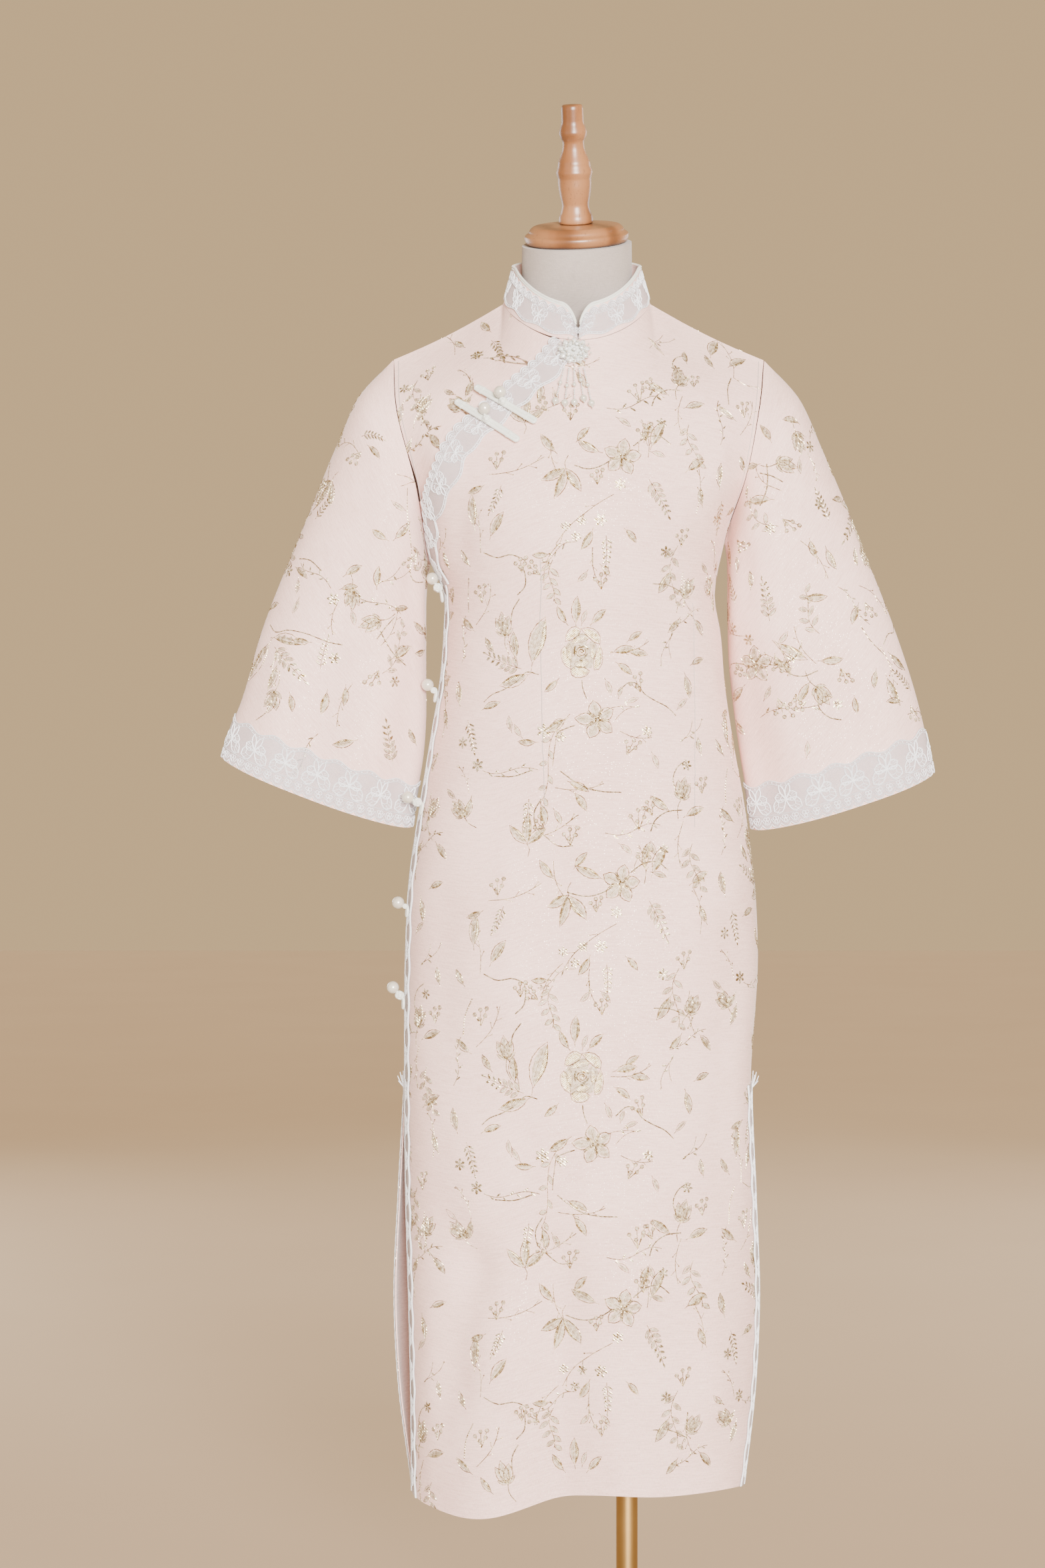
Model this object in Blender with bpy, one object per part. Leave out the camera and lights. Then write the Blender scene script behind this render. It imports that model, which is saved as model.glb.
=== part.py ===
"""A midi dress cut between a cheongsam and an ao dai, on a limbless dress form.

Metres, +Z up. The front faces -Y, so the wearer's right side, where the dress fastens, lies at -X.
Every cloth piece is a wall worked out from one surface: column runs 0 to 1 from the right side to
the left side, and height is a nominal height up the body.
"""

import math

import bmesh
import bpy
import numpy as np
from mathutils import Matrix, Vector
from mathutils.bvhtree import BVHTree

# Cloth and seams
CLOTH = 0.0014
LACE = 0.0010
SEAM = 0.0003
LACE_LIFT = 0.0006
LACE_WIDTH = 0.036
SQUARENESS = 2.3

# Heights up the dress
HEM = 0.245
SLIT_TOP = 0.644
ARMPIT = 1.172
SHOULDER = 1.390

# Lower body: height, half widths (right edge of front, right edge of back, left), depths, slit gap
BODY = (
    # height, front_right, back_right, left, front, back, slit
    (0.245, 0.163, 0.164, 0.165, 0.084, 0.098, 0.007),
    (0.345, 0.164, 0.177, 0.176, 0.089, 0.106, 0.006),
    (0.430, 0.166, 0.181, 0.180, 0.093, 0.111, 0.004),
    (0.530, 0.169, 0.177, 0.177, 0.098, 0.116, 0.002),
    (0.644, 0.170, 0.171, 0.173, 0.102, 0.119, 0.0),
    (0.777, 0.169, 0.169, 0.180, 0.104, 0.119, 0.0),
    (0.840, 0.166, 0.166, 0.177, 0.103, 0.113, 0.0),
    (0.918, 0.155, 0.155, 0.167, 0.100, 0.101, 0.0),
    (0.992, 0.143, 0.143, 0.154, 0.097, 0.090, 0.0),
    (1.041, 0.135, 0.135, 0.147, 0.096, 0.085, 0.0),
    (1.090, 0.131, 0.131, 0.143, 0.100, 0.083, 0.0),
    (1.131, 0.131, 0.131, 0.137, 0.109, 0.085, 0.0),
    (1.172, 0.1448, 0.1448, 0.1467, 0.117, 0.089, 0.0),
)
ARMPIT_RIGHT = 1.164
ARMPIT_LEFT = 1.182

# Yoke rows above the arms: nominal height, then (x, y, z) at the right armhole, the left armhole,
# the middle of the shoulder, below the neck point and (y, z) on the centre line
YOKE = {
    "front": (
        (1.236, (-0.1585, -0.050, 1.235), (0.1645, -0.050, 1.241),
         (0.131, -0.088, 1.236), (0.080, -0.111, 1.236), (-0.1195, 1.236)),
        (1.310, (-0.1765, -0.042, 1.305), (0.1780, -0.042, 1.309),
         (0.136, -0.064, 1.314), (0.080, -0.082, 1.320), (-0.1000, 1.312)),
    ),
    "back": (
        (1.236, (-0.1530, 0.046, 1.235), (0.1590, 0.046, 1.241),
         (0.128, 0.078, 1.236), (0.080, 0.091, 1.236), (0.0950, 1.236)),
        (1.310, (-0.1715, 0.042, 1.305), (0.1730, 0.042, 1.309),
         (0.134, 0.066, 1.316), (0.080, 0.081, 1.322), (0.0920, 1.322)),
    ),
}
SHOULDER_TIP = {"right": (-0.182, 0.0, 1.3636), "left": (0.186, 0.0, 1.3630)}
NECK_COLUMN = 0.32
NECK_HALF = 0.073
NECK_SIDE = 1.419
NECK_FRONT = (0.075, -0.047)
NECK_BACK = (0.058, 0.016)

# Hem line: column, front height change, back height change
HEM_LINE = (
    # column, front, back
    (0.00, -0.003, 0.000),
    (0.16, -0.010, -0.004),
    (0.34, -0.014, 0.002),
    (0.50, 0.008, 0.004),
    (0.66, 0.006, -0.003),
    (0.84, 0.006, 0.003),
    (1.00, 0.002, 0.000),
)

# Largest soft folds: start x, start z, end x, end z, half width, height (minus is a trough)
FOLDS = {
    "front": (
        (-0.113, 1.205, -0.115, 1.165, 0.012, -0.003),
        (-0.129, 0.820, -0.133, 0.694, 0.020, -0.003),
        (-0.025, 0.872, -0.022, 0.733, 0.025, -0.004),
        (0.150, 0.797, 0.148, 0.707, 0.018, -0.003),
        (-0.127, 0.520, -0.102, 0.472, 0.020, -0.004),
        (-0.102, 0.475, -0.118, 0.359, 0.022, -0.006),
        (0.140, 0.694, 0.140, 0.540, 0.020, -0.003),
        (0.128, 0.436, 0.130, 0.346, 0.026, 0.005),
        (-0.085, 0.400, -0.088, 0.230, 0.040, 0.009),
        (-0.018, 0.480, -0.020, 0.230, 0.026, -0.008),
        (0.046, 0.440, 0.052, 0.230, 0.034, 0.007),
    ),
    "back": (
        (-0.060, 0.740, -0.072, 0.230, 0.030, -0.007),
        (0.050, 0.690, 0.064, 0.230, 0.034, -0.007),
        (-0.004, 0.520, -0.006, 0.230, 0.032, 0.007),
        (0.120, 0.500, 0.122, 0.230, 0.030, 0.005),
        (-0.070, 1.045, 0.070, 1.052, 0.016, -0.004),
        (-0.055, 1.094, 0.060, 1.088, 0.013, -0.003),
        (-0.095, 1.235, -0.066, 1.150, 0.020, -0.003),
        (0.095, 1.235, 0.066, 1.150, 0.020, -0.003),
    ),
}

# Placket line over the wearer's right chest, from the neckline to the armhole: x, height
PLACKET = (
    (-0.0207, 1.374), (-0.038, 1.352), (-0.067, 1.328), (-0.102, 1.297),
    (-0.118, 1.283), (-0.129, 1.267), (-0.138, 1.246), (-0.147, 1.226), (-0.160, 1.213),
)
PLACKET_COLUMN = 0.467
UNDERLAP_END = 0.485
OVERLAP = 0.034
UNDERLAP_DROP = CLOTH + 0.0014

# Grid columns of the panels
SIDE_COLUMNS = (0.0, 0.02, 0.05, 0.09, 0.14, 0.20, 0.26, 0.32)
FRONT_NECK_COLUMNS = (0.355, 0.39, 0.425, 0.45, 0.467, 0.485, 0.5)
BACK_NECK_COLUMNS = (0.365, 0.41, 0.455, 0.5)
LACE_COLUMNS = SIDE_COLUMNS[:4]
LACE_EDGE_COLUMN = 0.026
EDGE_LACE_TOP = 1.138
LOWER_ROWS = (
    0.245, 0.290, 0.340, 0.395, 0.455, 0.515, 0.580, 0.644, 0.710, 0.777,
    0.850, 0.925, 1.000, 1.055, 1.090, 1.115, 1.138, 1.155, 1.172,
)
YOKE_STEPS = 8

# Sleeves: height share, outer x and z, inner x and z, half depth, sag of the front
SLEEVES = {
    "right": (
        # outer_x, outer_z, inner_x, inner_z, depth, sag
        (-0.2170, 1.3260, -0.1485, 1.1440, 0.062, 0.000),
        (-0.2404, 1.2746, -0.1500, 1.1200, 0.060, 0.001),
        (-0.2636, 1.2181, -0.1500, 1.0880, 0.056, 0.002),
        (-0.2882, 1.1590, -0.1500, 1.0480, 0.052, 0.004),
        (-0.3127, 1.0960, -0.1500, 1.0050, 0.049, 0.006),
        (-0.3340, 1.0240, -0.1545, 0.9560, 0.046, 0.008),
        (-0.3450, 0.9960, -0.1595, 0.9300, 0.045, 0.009),
        (-0.3532, 0.9685, -0.1640, 0.8990, 0.044, 0.010),
    ),
    "left": (
        (0.2200, 1.3260, 0.1500, 1.1600, 0.062, 0.000),
        (0.2444, 1.2733, 0.1505, 1.1340, 0.060, 0.001),
        (0.2683, 1.2175, 0.1505, 1.1020, 0.056, 0.002),
        (0.2915, 1.1590, 0.1515, 1.0620, 0.052, 0.004),
        (0.3154, 1.0980, 0.1560, 1.0180, 0.049, 0.006),
        (0.3393, 1.0240, 0.1640, 0.9620, 0.046, 0.008),
        (0.3480, 0.9880, 0.1690, 0.9320, 0.045, 0.009),
        (0.3552, 0.9532, 0.1745, 0.8968, 0.044, 0.010),
    ),
}
CUFF_LACE_ROW = 6

# Collar
COLLAR_HEIGHT = 0.038
COLLAR_ROUND = 0.019
COLLAR_LEAN = 0.34
COLLAR_BACK_LEAN = 0.14
COLLAR_LEAST = 0.003
COLLAR_ROWS = 4

# Fastenings
PEARL_RADIUS = 0.0060
CORD_RADIUS = 0.0024
FROGS = (
    # start x, start z, end x, end z, pearl x, pearl z
    (-0.0992, 1.3249, -0.0400, 1.2873, -0.0731, 1.3137),
    (-0.1180, 1.3114, -0.0566, 1.2690, -0.0872, 1.2985),
)
SIDE_BUTTONS = (
    # base column, base height, pearl x, pearl z
    (0.05, 1.131, -0.1430, 1.1440),
    (0.05, 1.031, -0.1480, 1.0390),
    (0.09, 0.920, -0.1680, 0.9280),
    (0.06, 0.819, -0.1785, 0.8240),
    (0.05, 0.728, -0.1830, 0.7400),
)
CORD_TAIL = 0.006
KNOT_ROOM = 0.0075
SEAT_REACH = 0.008
CHEST_FACING = (0.0, -0.95, 0.31)
BROOCH_CENTRE = (-0.0046, 1.3575)
TASSEL_TOPS = (-0.0130, -0.0085, -0.0040, 0.0005, 0.0050)
TASSEL_PEARLS = (
    (-0.0215, 1.3105), (-0.0128, 1.3085), (-0.0040, 1.3090), (0.0045, 1.3130), (0.0118, 1.3080),
)

# Dress form: height, half width, front depth, back depth
TORSO = (
    (0.775, 0.150, 0.088, 0.100), (0.800, 0.158, 0.093, 0.106), (0.850, 0.155, 0.092, 0.103),
    (0.918, 0.146, 0.090, 0.092), (0.992, 0.134, 0.087, 0.080), (1.060, 0.124, 0.086, 0.073),
    (1.110, 0.122, 0.092, 0.074), (1.172, 0.133, 0.104, 0.080), (1.236, 0.146, 0.104, 0.084),
    (1.300, 0.158, 0.080, 0.076), (1.335, 0.158, 0.053, 0.052), (1.3600, 0.144, 0.034, 0.034),
    (1.3820, 0.112, 0.030, 0.030), (1.4021, 0.078, 0.034, 0.032), (1.420, 0.060, 0.045, 0.038),
    (1.440, 0.0555, 0.054, 0.044),
)
NECK_TOP = 1.478
NECK_RADIUS = 0.0545
TORSO_SIDES = 28
HEAD_TILT = math.radians(17)
HEAD_ROLL = math.radians(-2.3)
CAP_PROFILE = (
    # radius, height above the neck
    (0.0, 0.0), (0.046, 0.0), (0.0505, 0.002), (0.0520, 0.006), (0.0515, 0.0095), (0.0480, 0.0115),
    (0.0465, 0.0150), (0.0430, 0.0180), (0.0200, 0.0195), (0.0, 0.0195),
)
FINIAL_PROFILE = (
    # radius, height above the cap
    (0.0, 0.0), (0.0172, 0.0), (0.0170, 0.006), (0.0148, 0.011), (0.0130, 0.018), (0.0150, 0.027),
    (0.0164, 0.036), (0.0164, 0.044), (0.0172, 0.0465), (0.0182, 0.0500), (0.0162, 0.0560),
    (0.0158, 0.0600), (0.0132, 0.0660), (0.0108, 0.0730), (0.0104, 0.0800), (0.0128, 0.0840),
    (0.0140, 0.0885), (0.0126, 0.0930), (0.0108, 0.0980), (0.0108, 0.1120), (0.0096, 0.1155),
    (0.0, 0.1160),
)
POLE_X = 0.050
POLE_RADIUS = 0.0107
BASE_RADIUS = 0.160
BASE_PROFILE = (
    (0.0, 0.0), (BASE_RADIUS - 0.002, 0.0), (BASE_RADIUS, 0.002), (BASE_RADIUS, 0.009),
    (BASE_RADIUS - 0.004, 0.0125), (0.0, 0.0140),
)
SOCKET_FOOT = 0.0143
SOCKET_PROFILE = (
    (0.0, 0.0), (0.028, 0.0), (0.027, 0.003), (0.021, 0.006), (0.018, 0.022), (0.0165, 0.026), (0.0, 0.026),
)
POLE_FOOT = SOCKET_FOOT + 0.026 + SEAM
POLE_HEAD = 0.7747

MATERIALS = {
    # colour, roughness, metallic
    "cloth": ((0.80, 0.69, 0.65, 1), 0.75, 0.0),
    "lace": ((0.86, 0.86, 0.87, 1), 0.8, 0.0),
    "satin_cord": ((0.85, 0.85, 0.80, 1), 0.45, 0.0),
    "pearl": ((0.86, 0.83, 0.76, 1), 0.2, 0.1),
    "crystal": ((0.86, 0.85, 0.80, 1), 0.15, 0.0),
    "linen": ((0.56, 0.52, 0.47, 1), 0.9, 0.0),
    "wood": ((0.55, 0.32, 0.14, 1), 0.4, 0.0),
    "brass": ((0.72, 0.52, 0.26, 1), 0.3, 1.0),
}


# Curves and the body surface

def smooth(stations, values, at):
    """Value at one place on a smooth curve through the stations."""
    stations = np.asarray(stations, float)
    values = np.asarray(values, float)
    slopes = np.gradient(values, stations, axis=0)
    i = int(np.clip(np.searchsorted(stations, at) - 1, 0, len(stations) - 2))
    step = stations[i + 1] - stations[i]
    u = (at - stations[i]) / step
    start = (1 + 2 * u) * (1 - u) ** 2 * values[i] + u * (1 - u) ** 2 * step * slopes[i]
    end = u * u * (3 - 2 * u) * values[i + 1] + u * u * (u - 1) * step * slopes[i + 1]
    return start + end


def section_point(side, row, column):
    """Point of one level section of the lower body."""
    height, front_right, back_right, left, front, back, slit = row
    angle = math.pi * column
    across = abs(math.cos(angle)) ** (2 / SQUARENESS)
    deep = max(math.sin(angle), 0.0) ** (2 / SQUARENESS)
    right = front_right if side == "front" else back_right
    x = -right * across if column < 0.5 else left * across
    y = -front * deep - slit if side == "front" else back * deep + slit
    if height == ARMPIT:
        height = ARMPIT_RIGHT + (ARMPIT_LEFT - ARMPIT_RIGHT) * column
    if height == HEM:
        columns = [entry[0] for entry in HEM_LINE]
        drops = [entry[1 if side == "front" else 2] for entry in HEM_LINE]
        height += smooth(columns, drops, column)
    return (x, y, height)


def yoke_point(row, column):
    """Point of one curved row over the chest or the shoulder blades."""
    height, edge_right, edge_left, shoulder, neck, centre = row
    mirrored = [(-x, y, z) for x, y, z in (shoulder, neck)]
    stations = (0.0, 0.16, NECK_COLUMN, 0.5, 1 - NECK_COLUMN, 0.84, 1.0)
    points = (edge_right, *mirrored, (0.0, *centre), neck, shoulder, edge_left)
    return tuple(smooth(stations, points, column))


def top_point(side, column):
    """Point on the shoulder seam or the neckline."""
    if NECK_COLUMN <= column <= 1 - NECK_COLUMN:
        turn = math.pi * (column - NECK_COLUMN) / (1 - 2 * NECK_COLUMN)
        reach, change = NECK_FRONT if side == "front" else NECK_BACK
        sign = -1 if side == "front" else 1
        return (-NECK_HALF * math.cos(turn), sign * reach * math.sin(turn),
                NECK_SIDE + change * math.sin(turn) ** 1.4)
    tip = SHOULDER_TIP["right" if column < 0.5 else "left"]
    share = min(column, 1 - column) / NECK_COLUMN
    neck_x = -NECK_HALF if column < 0.5 else NECK_HALF
    dip = -0.003 * math.sin(math.pi * share)
    return (tip[0] + (neck_x - tip[0]) * share, 0.0, tip[2] + (NECK_SIDE - tip[2]) * share + dip)


def fold_height(side, x, z):
    """Height of the soft folds at one place seen from the front."""
    total = 0.0
    for start_x, start_z, end_x, end_z, half_width, height in FOLDS[side]:
        run = np.array((end_x - start_x, end_z - start_z))
        from_start = np.array((x - start_x, z - start_z))
        share = np.clip(from_start @ run / (run @ run), 0, 1)
        away = np.linalg.norm(from_start - share * run)
        total += height * math.exp(-(away / half_width) ** 2)
    return total


COLUMN_CACHE = {}


def column_points(side, column):
    """Key points up one column, from the hem to the shoulder seam or neckline."""
    key = (side, round(column, 7))
    if key not in COLUMN_CACHE:
        points = [section_point(side, row, column) for row in BODY]
        points += [yoke_point(row, column) for row in YOKE[side]]
        points.append(top_point(side, column))
        COLUMN_CACHE[key] = np.array(points)
    return COLUMN_CACHE[key]


KEY_HEIGHTS = [row[0] for row in BODY] + [row[0] for row in YOKE["front"]] + [SHOULDER]


def surface(side, column, height):
    """Point on the outside of the dress body."""
    column = min(max(column, 0.0), 1.0)
    x, y, z = smooth(KEY_HEIGHTS, column_points(side, column), height)
    y = min(y, 0.0) if side == "front" else max(y, 0.0)
    outward = np.array((x * 0.35, y))
    outward /= np.linalg.norm(outward) + 1e-9
    lift = fold_height(side, x, z) * min(1.0, 6 * min(column, 1 - column))
    return np.array((x + outward[0] * lift, y + outward[1] * lift, z))


def outward_at(side, column, height):
    """Outward direction of the dress body; at a side or shoulder seam it is shared by both panels."""
    step = 0.004
    low = max(column - step, 0.0)
    high = min(column + step, 1.0)
    across = surface(side, high, height) - surface(side, low, height)
    top = min(height + step, SHOULDER)
    up = surface(side, column, top) - surface(side, column, top - 2 * step)
    direction = np.cross(across, up)
    if side == "back":
        direction = -direction
    at_side = column in (0.0, 1.0) and height <= ARMPIT
    at_shoulder = height >= SHOULDER - 1e-6 and not NECK_COLUMN < column < 1 - NECK_COLUMN
    if at_side or at_shoulder:
        direction[1] = 0.0
    return direction / np.linalg.norm(direction)


def placket_height(column):
    """Nominal height where the placket line crosses a column."""
    if column >= PLACKET_COLUMN:
        return SHOULDER
    xs = [x for x, _ in reversed(PLACKET)]
    zs = [z for _, z in reversed(PLACKET)]
    low, high = ARMPIT, SHOULDER
    for _ in range(30):
        middle = (low + high) / 2
        x, _, z = surface("front", column, middle)
        if z < np.interp(x, xs, zs):
            low = middle
        else:
            high = middle
    return (low + high) / 2


def front_place(x, z):
    """Column and nominal height of the front surface at a place seen from the front."""
    column, height = 0.5 + x * 1.8, z
    for _ in range(25):
        here = surface("front", column, height)
        error = np.array((x - here[0], z - here[2]))
        step = 0.002
        along = (surface("front", column + step, height) - here)[[0, 2]] / step
        up = (surface("front", column, height + step) - here)[[0, 2]] / step
        change = np.linalg.solve(np.column_stack((along, up)), error)
        column = float(np.clip(column + np.clip(change[0], -0.05, 0.05), 0.01, 0.99))
        height = float(np.clip(height + np.clip(change[1], -0.03, 0.03), HEM, SHOULDER))
    return column, height


# Meshes

def material(name):
    """The Principled material of this name, made once."""
    found = bpy.data.materials.get(name)
    if found:
        return found
    colour, roughness, metallic = MATERIALS[name]
    made = bpy.data.materials.new(name)
    made.use_nodes = True
    shader = made.node_tree.nodes["Principled BSDF"]
    shader.inputs["Base Color"].default_value = colour
    shader.inputs["Roughness"].default_value = roughness
    shader.inputs["Metallic"].default_value = metallic
    return made


def add_object(name, points, faces, finish):
    """One closed mesh object whose faces point out."""
    mesh = bpy.data.meshes.new(name)
    mesh.from_pydata([tuple(point) for point in points], [], faces)
    shape = bmesh.new()
    shape.from_mesh(mesh)
    bmesh.ops.recalc_face_normals(shape, faces=shape.faces)
    if shape.calc_volume(signed=True) < 0:
        bmesh.ops.reverse_faces(shape, faces=shape.faces)
    shape.to_mesh(mesh)
    shape.free()
    mesh.materials.append(material(finish))
    mesh.shade_smooth()
    mesh.set_sharp_from_angle(angle=math.radians(50))
    made = bpy.data.objects.new(name, mesh)
    bpy.context.scene.collection.objects.link(made)
    return made


def add_wall(name, outer, inner, finish, ring=False):
    """A wall between two grids of points, open or joined round into a ring."""
    outer = np.asarray(outer)
    inner = np.asarray(inner)
    rows, columns = outer.shape[:2]
    points = list(outer.reshape(-1, 3)) + list(inner.reshape(-1, 3))
    far = rows * columns

    def at(i, j):
        return i * columns + j % columns

    faces = []
    last = columns if ring else columns - 1
    for i in range(rows - 1):
        for j in range(last):
            a, b, c, d = at(i, j), at(i, j + 1), at(i + 1, j + 1), at(i + 1, j)
            faces += [(a, b, c), (a, c, d), (far + c, far + b, far + a), (far + d, far + c, far + a)]
    for j in range(last):
        for i, turn in ((0, 1), (rows - 1, -1)):
            a, b = at(i, j), at(i, j + 1)
            faces.append((a, far + a, far + b, b)[::turn])
    if not ring:
        for i in range(rows - 1):
            for j, turn in ((0, -1), (columns - 1, 1)):
                a, b = at(i, j), at(i + 1, j)
                faces.append((a, far + a, far + b, b)[::turn])
    return add_object(name, points, faces, finish)


def add_turned(name, profile, sides, finish, place=None):
    """A turned solid from (radius, height) points, with its ends on the axis."""
    points = []
    rings = []
    for radius, height in profile:
        if radius == 0:
            rings.append([len(points)])
            points.append((0.0, 0.0, height))
            continue
        rings.append(list(range(len(points), len(points) + sides)))
        for k in range(sides):
            turn = 2 * math.pi * k / sides
            points.append((radius * math.cos(turn), radius * math.sin(turn), height))
    faces = []
    for low, high in zip(rings, rings[1:]):
        for k in range(sides):
            corners = [low[k % len(low)], low[(k + 1) % len(low)],
                       high[(k + 1) % len(high)], high[k % len(high)]]
            faces.append(list(dict.fromkeys(corners)))
    made = add_object(name, points, faces, finish)
    if place is not None:
        made.data.transform(place)
    return made


def add_tube(name, path, radii, finish, sides=8, flat=None):
    """A capped tube along a path; flat gives a direction in which it is half as thick."""
    path = [Vector(point) for point in path]
    points = []
    for i, point in enumerate(path):
        along = (path[min(i + 1, len(path) - 1)] - path[max(i - 1, 0)]).normalized()
        guide = Vector(flat) if flat is not None else Vector((0, -1, 0.2))
        first = guide.cross(along).normalized()
        second = along.cross(first).normalized()
        thin = 0.55 if flat is not None else 1.0
        for k in range(sides):
            turn = 2 * math.pi * k / sides
            points.append(point + radii[i] * (first * math.cos(turn) + second * thin * math.sin(turn)))
    faces = []
    for i in range(len(path) - 1):
        for k in range(sides):
            a, b = i * sides + k, i * sides + (k + 1) % sides
            faces.append((a, b, b + sides, a + sides))
    faces.append(list(range(sides)))
    faces.append(list(range((len(path) - 1) * sides, len(path) * sides)))
    return add_object(name, points, faces, finish)


def add_ball(name, centre, radius, finish, sides=12, rings=6):
    profile = [(radius * math.sin(math.pi * i / rings), -radius * math.cos(math.pi * i / rings))
               for i in range(rings + 1)]
    profile[0] = (0, -radius)
    profile[-1] = (0, radius)
    return add_turned(name, profile, sides, finish, Matrix.Translation(centre))


# Dress body

def panel_grid(side, columns, rows_of, drop_of=None, thickness=CLOTH):
    """Outer and inner points of a panel, kept half a seam from the side and shoulder seams."""
    outer = []
    inner = []
    nudge = -SEAM if side == "front" else SEAM
    for column in columns:
        outer_column = []
        inner_column = []
        for height in rows_of(column):
            point = surface(side, column, height)
            direction = outward_at(side, column, height)
            drop = drop_of(column, height) if drop_of else 0.0
            on_seam = column in (0.0, 1.0) and height <= ARMPIT or height >= SHOULDER - 1e-6
            if on_seam:
                point = point + np.array((0, nudge, 0))
            outer_column.append(point - direction * drop)
            inner_column.append(point - direction * (drop + thickness))
        outer.append(outer_column)
        inner.append(inner_column)
    return np.array(outer).transpose(1, 0, 2), np.array(inner).transpose(1, 0, 2)


def mirrored_columns(half):
    """Columns from the right side to the left side of a panel."""
    return list(half) + [1 - column for column in reversed(half[:-1])]


def front_rows(column):
    top = placket_height(column)
    return list(LOWER_ROWS) + [ARMPIT + (top - ARMPIT) * k / YOKE_STEPS
                               for k in range(1, YOKE_STEPS + 1)]


def back_rows(column):
    return list(LOWER_ROWS) + [ARMPIT + (SHOULDER - ARMPIT) * k / YOKE_STEPS
                               for k in range(1, YOKE_STEPS + 1)]


def underlap_rows(column):
    low = placket_height(column) - OVERLAP
    return [low + (SHOULDER - low) * k / YOKE_STEPS for k in range(YOKE_STEPS + 1)]


def underlap_drop(column, height):
    """The underlap lies under the front panel and rises to its level towards the shoulder."""
    above = (height - placket_height(column)) / 0.05
    rise = min(max(above, 0.0), 1.0)
    near_neck = max(0.0, 1 - (PLACKET_COLUMN - column) / 0.06)
    return UNDERLAP_DROP * max(1 - rise, min(near_neck, 1.0))


FRONT_COLUMNS = mirrored_columns(SIDE_COLUMNS + FRONT_NECK_COLUMNS)
BACK_COLUMNS = mirrored_columns(SIDE_COLUMNS + BACK_NECK_COLUMNS)


def build_panels():
    add_wall("front_panel", *panel_grid("front", FRONT_COLUMNS, front_rows), "cloth")
    add_wall("back_panel", *panel_grid("back", BACK_COLUMNS, back_rows), "cloth")
    columns = [column for column in FRONT_COLUMNS if column <= UNDERLAP_END]
    grid = panel_grid("front", columns, underlap_rows, underlap_drop)
    add_wall("front_underlap", *grid, "cloth")


# Sleeves

def armhole(side):
    """Armhole points from the armpit over the front to the shoulder tip and down the back."""
    column = 0.0 if side == "right" else 1.0
    heights = [ARMPIT + (SHOULDER - ARMPIT) * k / YOKE_STEPS for k in range(YOKE_STEPS + 1)]
    loop = []
    for panel, order in (("front", heights), ("back", heights[-2:0:-1])):
        for height in order:
            loop.append((surface(panel, column, height), outward_at(panel, column, height)))
    return loop


def sleeve_rings(side):
    """Outer rings of a sleeve, from the armhole seam to the cuff."""
    loop = armhole(side)
    count = len(loop)
    points = np.array([point for point, _ in loop])
    stations = SLEEVES[side]
    rings = []
    for outer_x, outer_z, inner_x, inner_z, depth, sag in stations:
        middle = np.array(((outer_x + inner_x) / 2, 0.0, (outer_z + inner_z) / 2))
        reach = np.array((inner_x, 0.0, inner_z)) - middle
        ring = []
        for k in range(count):
            turn = 2 * math.pi * k / count
            ring.append(middle + reach * math.cos(turn)
                        + np.array((0.0, -depth * math.sin(turn), -sag * abs(math.sin(turn)))))
        rings.append(np.array(ring))
    toward = rings[0] - points
    toward /= np.linalg.norm(toward, axis=1)[:, None]
    normals = np.array([direction for _, direction in loop])
    first = points + toward * 0.0012 + normals * SEAM
    return [first] + rings


def ring_walls(rings, thickness, lift=0.0):
    """Outer and inner grids of a tube from its rings, offset along its own normals."""
    rings = np.array(rings)
    around = np.roll(rings, -1, axis=1) - np.roll(rings, 1, axis=1)
    down = np.gradient(rings, axis=0)
    normals = np.cross(around, down)
    normals /= np.linalg.norm(normals, axis=2)[:, :, None]
    centre = rings.mean(axis=1, keepdims=True)
    if ((rings - centre) * normals).sum() < 0:
        normals = -normals
    return rings + normals * lift, rings + normals * (lift - thickness)


def build_sleeves():
    for side in ("right", "left"):
        rings = sleeve_rings(side)
        add_wall(f"sleeve_{side}", *ring_walls(rings, CLOTH), "cloth", ring=True)
        cuff = np.array(rings)
        outer, inner = ring_walls(cuff, LACE, LACE_LIFT + LACE)
        add_wall(f"cuff_lace_{side}", outer[CUFF_LACE_ROW:], inner[CUFF_LACE_ROW:], "lace", ring=True)


# Collar

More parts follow.
